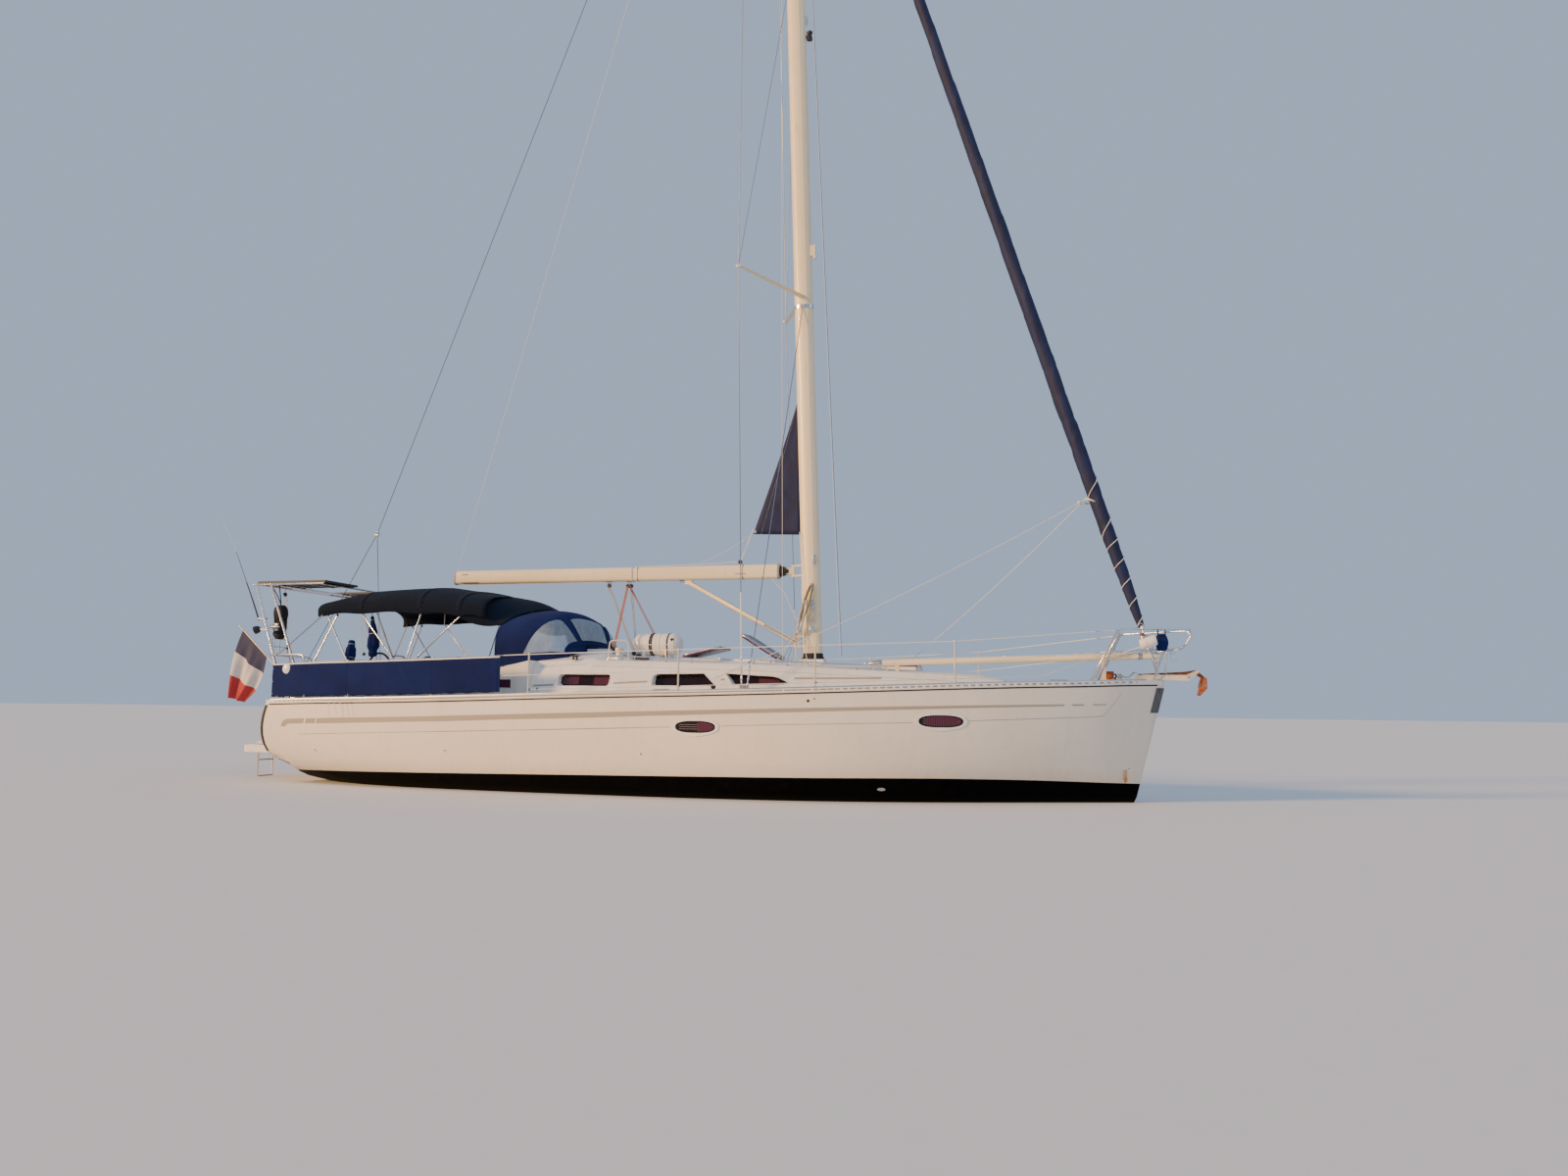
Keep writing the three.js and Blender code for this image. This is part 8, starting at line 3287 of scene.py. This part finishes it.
class YACHT_OT_platform(bpy.types.Operator):
    """Swim platform with its planks and hinges, and the boarding ladder"""

    bl_idname = "yacht.platform"
    bl_label = "Platform and ladder"

    def execute(self, context):
        refined("swim_platform", "gelcoat", angle=35, bevel=0.01)
        plank, seam = sizes().plank, sizes().seam
        bed = Shape()
        bed.block((-8.05, -0.52, 0.5585), (-7.31, 0.52, 0.5605))
        bed.piece("platform_caulk", "caulk", "swim_platform", "teak")
        repeated(
            "platform_planks",
            "boards",
            "teak",
            body="swim_platform",
            slot="teak",
            Rows=19,
            Row_step=(0, plank + seam, 0),
            Columns=1,
            Board=(0.72, plank, 0.006),
            First=(-7.68, -9 * (plank + seam), 0.5595),
        )
        edge = Shape()
        outline = [(-8.11, -0.58), (-7.25, -0.58), (-7.25, 0.58), (-8.11, 0.58)]
        edge.tube([(x, y, 0.5602) for x, y in dense(outline, 0.06)], 0.006, 8, closed=True, flat=0.6)
        edge.piece("platform_edge", "gelcoat", "swim_platform", "deck_gelcoat")
        fitting, pins = Shape(), Shape()
        for y in (-0.5, 0.5):
            pins.turned(
                [(0, -0.062), (0.01, -0.062), (0.012, -0.058), (0.012, 0.058), (0.01, 0.062), (0, 0.062)],
                (HINGE[0], y, HINGE[1]), TO_PORT, 16
            )
        for y in (-0.218, 0.218):
            fitting.turned(disc(0.026, -0.012, 0.012, 0.0165), (LADDER_PIN[0], y, LADDER_PIN[1]), TO_PORT, 24)
            for dx in (0.03, 0.07):
                fitting.turned(disc(0.008, -0.01, 0.01), (LADDER_PIN[0] + dx, y, 0.576), TO_PORT, 10)
        fitting.piece("ladder_lugs", "steel", "swim_platform", "stainless", angle=50)
        pins.piece("platform_pins", "steel", slot="stainless", angle=50)
        refined("boarding_ladder", "pale plate", angle=50)
        treads, caps = Shape(), Shape()
        for share in (0.3, 0.58, 0.86):
            z = LADDER_PIN[1] - share
            treads.block(
                (LADDER_PIN[0] - 0.0215, -0.172, z - 0.0095), (LADDER_PIN[0] + 0.0215, 0.172, z + 0.0095)
            )
        for y in (-0.19, 0.19):
            caps.turned(
                [(0, -0.012), (0.013, -0.012), (0.0155, -0.006), (0.0155, 0.03), (0, 0.03)],
                (LADDER_PIN[0], y, LADDER_PIN[1] - 1.0), UP, 18
            )
        treads.piece("ladder_treads", "teak", "boarding_ladder", "teak", bevel=0.003)
        caps.piece("ladder_feet", "rubber", "boarding_ladder", "black_cover", angle=50)
        return {"FINISHED"}


class YACHT_OT_ensign(bpy.types.Operator):
    """Ensign hanging in folds from its staff"""

    bl_idname = "yacht.ensign"
    bl_label = "Ensign"

    def execute(self, context):
        refined("ensign_staff", "spar", angle=50)
        foot, head = STAFF
        axis = (head - foot).normalized()
        ends = Shape()
        ends.ball(head + axis * 0.004, 0.021, rings=8, sides=16)
        ends.turned(
            [(0, -0.03), (0.024, -0.03), (0.027, 0.0), (0.024, 0.1), (0.0145, 0.105), (0, 0.105)], foot,
            axis, 20
        )
        ends.piece("ensign_staff_ends", "gelcoat", slot="teak", angle=50)
        # hoist along the staff, fly falling from it, its lower edge gathered more than its upper one
        hoist = (Vector((-7.365, -1.15, 2.052)), Vector((-7.868, -1.15, 2.502)))
        low = curve_points([hoist[0], (-7.43, -1.15, 1.78), (-7.56, -1.15, 1.5), (-7.78, -1.15, 1.285)], 12)
        top = curve_points([hoist[1], (-7.975, -1.15, 2.18), (-8.045, -1.15, 1.78), (-8.06, -1.15, 1.36)], 12)
        rows = []
        for i in range(25):
            v = i / 24
            row = []
            for k in range(41):
                s = k / 40
                a, b = spread(low, [s])[0], spread(top, [s])[0]
                place = a.lerp(b, v)
                gather = min(s * 2.2, 1.0)
                wave = 0.034 * math.sin(2 * math.pi * (1.6 * v + 0.25 * s))
                wave += 0.014 * math.sin(2 * math.pi * (3.3 * v - 0.5 * s) + 1.0)
                sway = 0.01 * gather * math.cos(2 * math.pi * 1.6 * v)
                sag = 0.012 * math.sin(math.pi * s) * math.sin(9 * v)
                row.append(place + Vector((sway, gather * wave, sag)))
            rows.append(row)
        flag = cloth(
            "ensign_cloth", rows, "ensign", "hung", ["ensign_staff"], slot="ensign_cloth", thickness=0.0014
        )
        shares = flag.data.attributes.new("across", "FLOAT", "POINT")
        for index in range(len(flag.data.vertices)):
            shares.data[index].value = (index % 41) / 40
        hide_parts("ensign")
        seams = Shape()
        for v in (0.02, 0.98):
            place = hoist[0].lerp(hoist[1], v)
            at = foot + axis * (place - foot).dot(axis)
            wide = axis.orthogonal().normalized()
            high = axis.cross(wide)
            ring = [at + (wide * math.cos(t) + high * math.sin(t)) * 0.016 for t in turns(14)]
            seams.tube(ring, 0.0025, 6, closed=True)
        seams.piece("ensign_ties", "white rope", slot="sailcloth")
        return {"FINISHED"}


# Bow

POLE = (Vector((2.79, -0.6, 1.967)), Vector((6.82, -0.4, 2.085)))


def pulpit_bag():
    """The navy bag in the pulpit."""
    bag = Shape()
    rows = []
    for i in range(17):
        t = i / 16
        ring = []
        for turn in turns(28):
            puff = math.sin(math.pi * min(max(t, 0.03), 0.97)) ** 0.22
            r = 1 + 0.05 * math.sin(3 * turn + 6 * t) + 0.03 * math.sin(7 * turn - 5 * t)
            r *= (abs(math.cos(turn)) ** 4 + abs(math.sin(turn)) ** 4) ** -0.25
            ring.append(
                (
                    6.96 + 0.085 * puff * r * math.cos(turn), -0.36 + 0.05 * puff * r * math.sin(turn),
                    2.16 + 0.24 * t
                )
            )
        rows.append(ring)
    bag.grid(rows, closed=True, capped=True)
    bag = bag.piece("pulpit_bag", "canvas", slot="navy_canvas", angle=80)
    straps = Shape()
    for x in (6.91, 7.01):
        straps.tube([(x, -0.36, 2.39), (x, -0.345, 2.43), (x, -0.32, 2.485)], 0.008, 8, flat=0.3)
    straps.piece("pulpit_bag_straps", "canvas", slot="navy_canvas")


def roller(steel, black):
    """The roller wheel, its pin and the keeper over the shank."""
    pin = (7.33, 0, 1.8)
    black.turned(
        [(0, -0.046), (0.036, -0.046), (0.022, -0.01), (0.022, 0.01), (0.036, 0.046), (0, 0.046)], pin,
        TO_PORT, 24
    )
    steel.turned(disc(0.012, -0.068, 0.068), pin, TO_PORT, 14)
    for side in (-1, 1):
        steel.turned(disc(0.022, 0.059, 0.066, 0.012), pin, (0, side, 0), 6)
    steel.tube(
        [(7.02, -0.058, 1.84), (7.02, -0.058, 1.905), (7.02, 0.058, 1.905), (7.02, 0.058, 1.84)], 0.006, 10
    )


def anchor_details(steel, rust):
    """The shank's eye with its shackle, the weld beads and the fluke's rib."""
    rust.turned(
        [(0.01, -0.014), (0.026, -0.014), (0.03, 0.0), (0.026, 0.014), (0.01, 0.014)],
        (6.668, 0.033, 1.822), TO_PORT, 18
    )
    steel.tube(
        curve_points(
            [
                (6.66, 0.01, 1.822), (6.63, 0.008, 1.85), (6.61, 0.033, 1.862), (6.63, 0.058, 1.85),
                (6.66, 0.056, 1.822)
            ],
            5
        ),
        0.006, 8
    )
    rust.tube(
        curve_points([(7.52, 0, 1.792), (7.555, 0, 1.72), (7.545, 0, 1.64), (7.48, 0, 1.548)], 6),
        [0.018] * 6 + [0.014] * 6 + [0.01] * 7, 10
    )
    for side in (-1, 1):
        rust.tube(
            curve_points(
                [(7.502, side * 0.022, 1.799), (7.484, side * 0.09, 1.73), (7.472, side * 0.15, 1.652)], 6
            ),
            0.008, 8
        )
        rust.tube(
            curve_points(
                [(7.56, side * 0.186, 1.642), (7.52, side * 0.13, 1.6), (7.472, side * 0.066, 1.542)], 6
            ),
            0.009, 8
        )


def pole_gear(steel, grey):
    """The pole's end castings, jaws, trip lines, and the grey strap at its fore end."""
    start, end = POLE
    axis = (end - start).normalized()
    length = (end - start).length
    for near, way in ((start, axis), (end, -axis)):
        grey.turned(
            [
                (0, -0.004), (0.024, -0.004), (0.034, 0.01), (0.038, 0.09), (0.05, 0.15), (0.05, 0.19),
                (0.0475, 0.195), (0, 0.195)
            ],
            near, way, 28
        )
        steel.tube(
            [
                near + Vector((0, 0, -0.022)), near - way * 0.05 + Vector((0, 0, -0.028)),
                near - way * 0.075 + Vector((0, 0, -0.008)), near - way * 0.06 + Vector((0, 0, 0.018)),
                near + Vector((0, 0, 0.022))
            ],
            0.0085, 10
        )
    for share in (0.12, 0.5, 0.88):
        at = start + axis * (length * share)
        steel.tube(
            [
                at + Vector((-0.03, 0, 0.044)), at + Vector((-0.026, 0, 0.064)),
                at + Vector((0.026, 0, 0.064)), at + Vector((0.03, 0, 0.044))
            ],
            0.0035, 8
        )
    grey.block(end + Vector((-0.02, -0.03, 0.026)), end + Vector((0.085, 0.022, 0.058)))
    grey.tube(
        [
            end + Vector((-0.01, -0.036, 0.02)), end + Vector((0.055, -0.048, -0.115)),
            end + Vector((0.09, -0.05, -0.155))
        ],
        0.021, 8, flat=0.3
    )
    trip = Shape()
    trip.tube(
        sagging(
            start + axis * 0.18 + Vector((0, 0, 0.05)), end - axis * 0.18 + Vector((0, 0, 0.05)), 0.0, 8
        ),
        sizes().line, 7
    )
    ring = lashed([start + axis * 0.35, start + axis * 0.55], 0.0505, 0.008, 0.0, 0.08, step=0.006)
    trip.tube(ring, sizes().line, 6)
    trip.tube(
        lashed([end - axis * 0.75, end - axis * 0.5], 0.0505, 0.008, 0.0, 0.08, step=0.006), sizes().line, 6
    )
    trip.tube(
        curve_points(
            [(6.665, -0.585, 2.205), (6.45, -0.545, 2.14), (6.25, -0.5, 2.075), (6.05, -0.485, 2.065)], 6
        ),
        sizes().rope, 8
    )
    trip.piece("pole_lines", "white rope", slot="sailcloth")


def barrel(steel, grey, rust, cream):
    """The barrel and burner housing clamped to the starboard pulpit."""
    foot, lean = (6.66, -0.6, 2.235), (0.93, 0.12, 0.3)
    cream.turned(
        [(0, 0), (0.066, 0.004), (0.078, 0.03), (0.078, 0.2), (0.07, 0.225), (0, 0.23)], foot, lean, 28
    )
    cream.turned(disc(0.082, 0.07, 0.082, 0.0795), foot, lean, 28)
    grey.turned(
        [(0, 0), (0.03, 0), (0.034, 0.05), (0.022, 0.075), (0.012, 0.08), (0, 0.08)], (6.7, -0.605, 2.3),
        (-0.15, 0, 1), 20
    )
    rust.turned(disc(0.034, 0, 0.028), (6.69, -0.612, 2.372), (-0.15, 0, 1), 18)
    cream.ball((6.69, -0.615, 2.472), 0.027, (1, 1, 1.1), 8, 14)
    steel.tube(
        curve_points(
            [(6.62, -0.62, 2.478), (6.66, -0.62, 2.535), (6.7, -0.62, 2.52), (6.72, -0.62, 2.478)], 5
        ),
        0.006, 8
    )


class YACHT_OT_bow(bpy.types.Operator):
    """Bow roller, rusty anchor, the stowed pole with its ends, and the gear hung on the pulpit"""

    bl_idname = "yacht.bow"
    bl_label = "Bow gear"

    def execute(self, context):
        refined("bow_roller", "pale plate", angle=40, bevel=0.002)
        refined("anchor", "rust", angle=35, bevel=0.006)
        refined("spinnaker_pole", "spar", angle=50)
        steel, black, grey, rust, cream = (Shape() for _ in range(5))
        roller(steel, black)
        anchor_details(steel, rust)
        pole_gear(steel, grey)
        barrel(steel, grey, rust, cream)
        # post and bracket ahead of it
        steel.tube([(7.045, -0.055, 2.17), (7.012, -0.035, 1.885)], 0.013, 12)
        steel.tube([(7.045, -0.055, 2.17), (7.05, -0.172, 2.196)], 0.009, 10)
        steel.tube([(7.08, -0.172, 2.196), (7.092, -0.172, 2.035), (7.17, -0.172, 2.032)], 0.007, 8)
        steel.tube([(7.085, -0.172, 2.13), (7.15, -0.172, 2.135)], 0.005, 8)
        steel.piece("bow_steelwork", "steel", slot="stainless", angle=50)
        black.piece("bow_blacks", "black", slot="black_cover", angle=50)
        grey.piece("bow_castings", "alloy", slot="stainless", angle=50)
        rust.piece("bow_rusty_parts", "rust", slot="rusty_iron", angle=60)
        cream.piece("pulpit_barrel", "gelcoat", slot="deck_gelcoat", angle=50)
        pulpit_bag()
        return {"FINISHED"}


# The panel and the order of work


class YACHT_PT_panel(bpy.types.Panel):
    """Sizes, colours and steps of the yacht"""

    bl_idname = "YACHT_PT_panel"
    bl_label = "Cruising yacht"
    bl_space_type = "VIEW_3D"
    bl_region_type = "UI"
    bl_category = "Yacht"

    def draw(self, context):
        for group in (sizes(), paints()):
            box = self.layout.box()
            for name in group.__annotations__:
                box.prop(group, name)
        for step in STEPS:
            self.layout.operator(step.bl_idname)


STEPS = (
    YACHT_OT_finishes,
    YACHT_OT_stage,
    YACHT_OT_hull,
    YACHT_OT_underwater,
    YACHT_OT_bimini,
    YACHT_OT_sprayhood,
    YACHT_OT_weather_cloths,
    YACHT_OT_mast,
    YACHT_OT_boom,
    YACHT_OT_stays,
    YACHT_OT_headsail,
    YACHT_OT_clew,
    YACHT_OT_rails,
    YACHT_OT_deck,
    YACHT_OT_coachroof,
    YACHT_OT_life_raft,
    YACHT_OT_cockpit,
    YACHT_OT_helms,
    YACHT_OT_arch,
    YACHT_OT_lines,
    YACHT_OT_motor,
    YACHT_OT_platform,
    YACHT_OT_ensign,
    YACHT_OT_bow,
)
CLASSES = (YachtSizes, YachtColours) + STEPS + (YACHT_PT_panel,)


def register():
    for entry in CLASSES:
        bpy.utils.register_class(entry)
    bpy.types.Scene.yacht_sizes = bpy.props.PointerProperty(type=YachtSizes)
    bpy.types.Scene.yacht_colours = bpy.props.PointerProperty(type=YachtColours)


def unregister():
    del bpy.types.Scene.yacht_colours
    del bpy.types.Scene.yacht_sizes
    for entry in reversed(CLASSES):
        bpy.utils.unregister_class(entry)


def main():
    register()
    for step in STEPS:
        family, name = step.bl_idname.split(".")
        getattr(getattr(bpy.ops, family), name)()


if __name__ == "__main__":
    main()
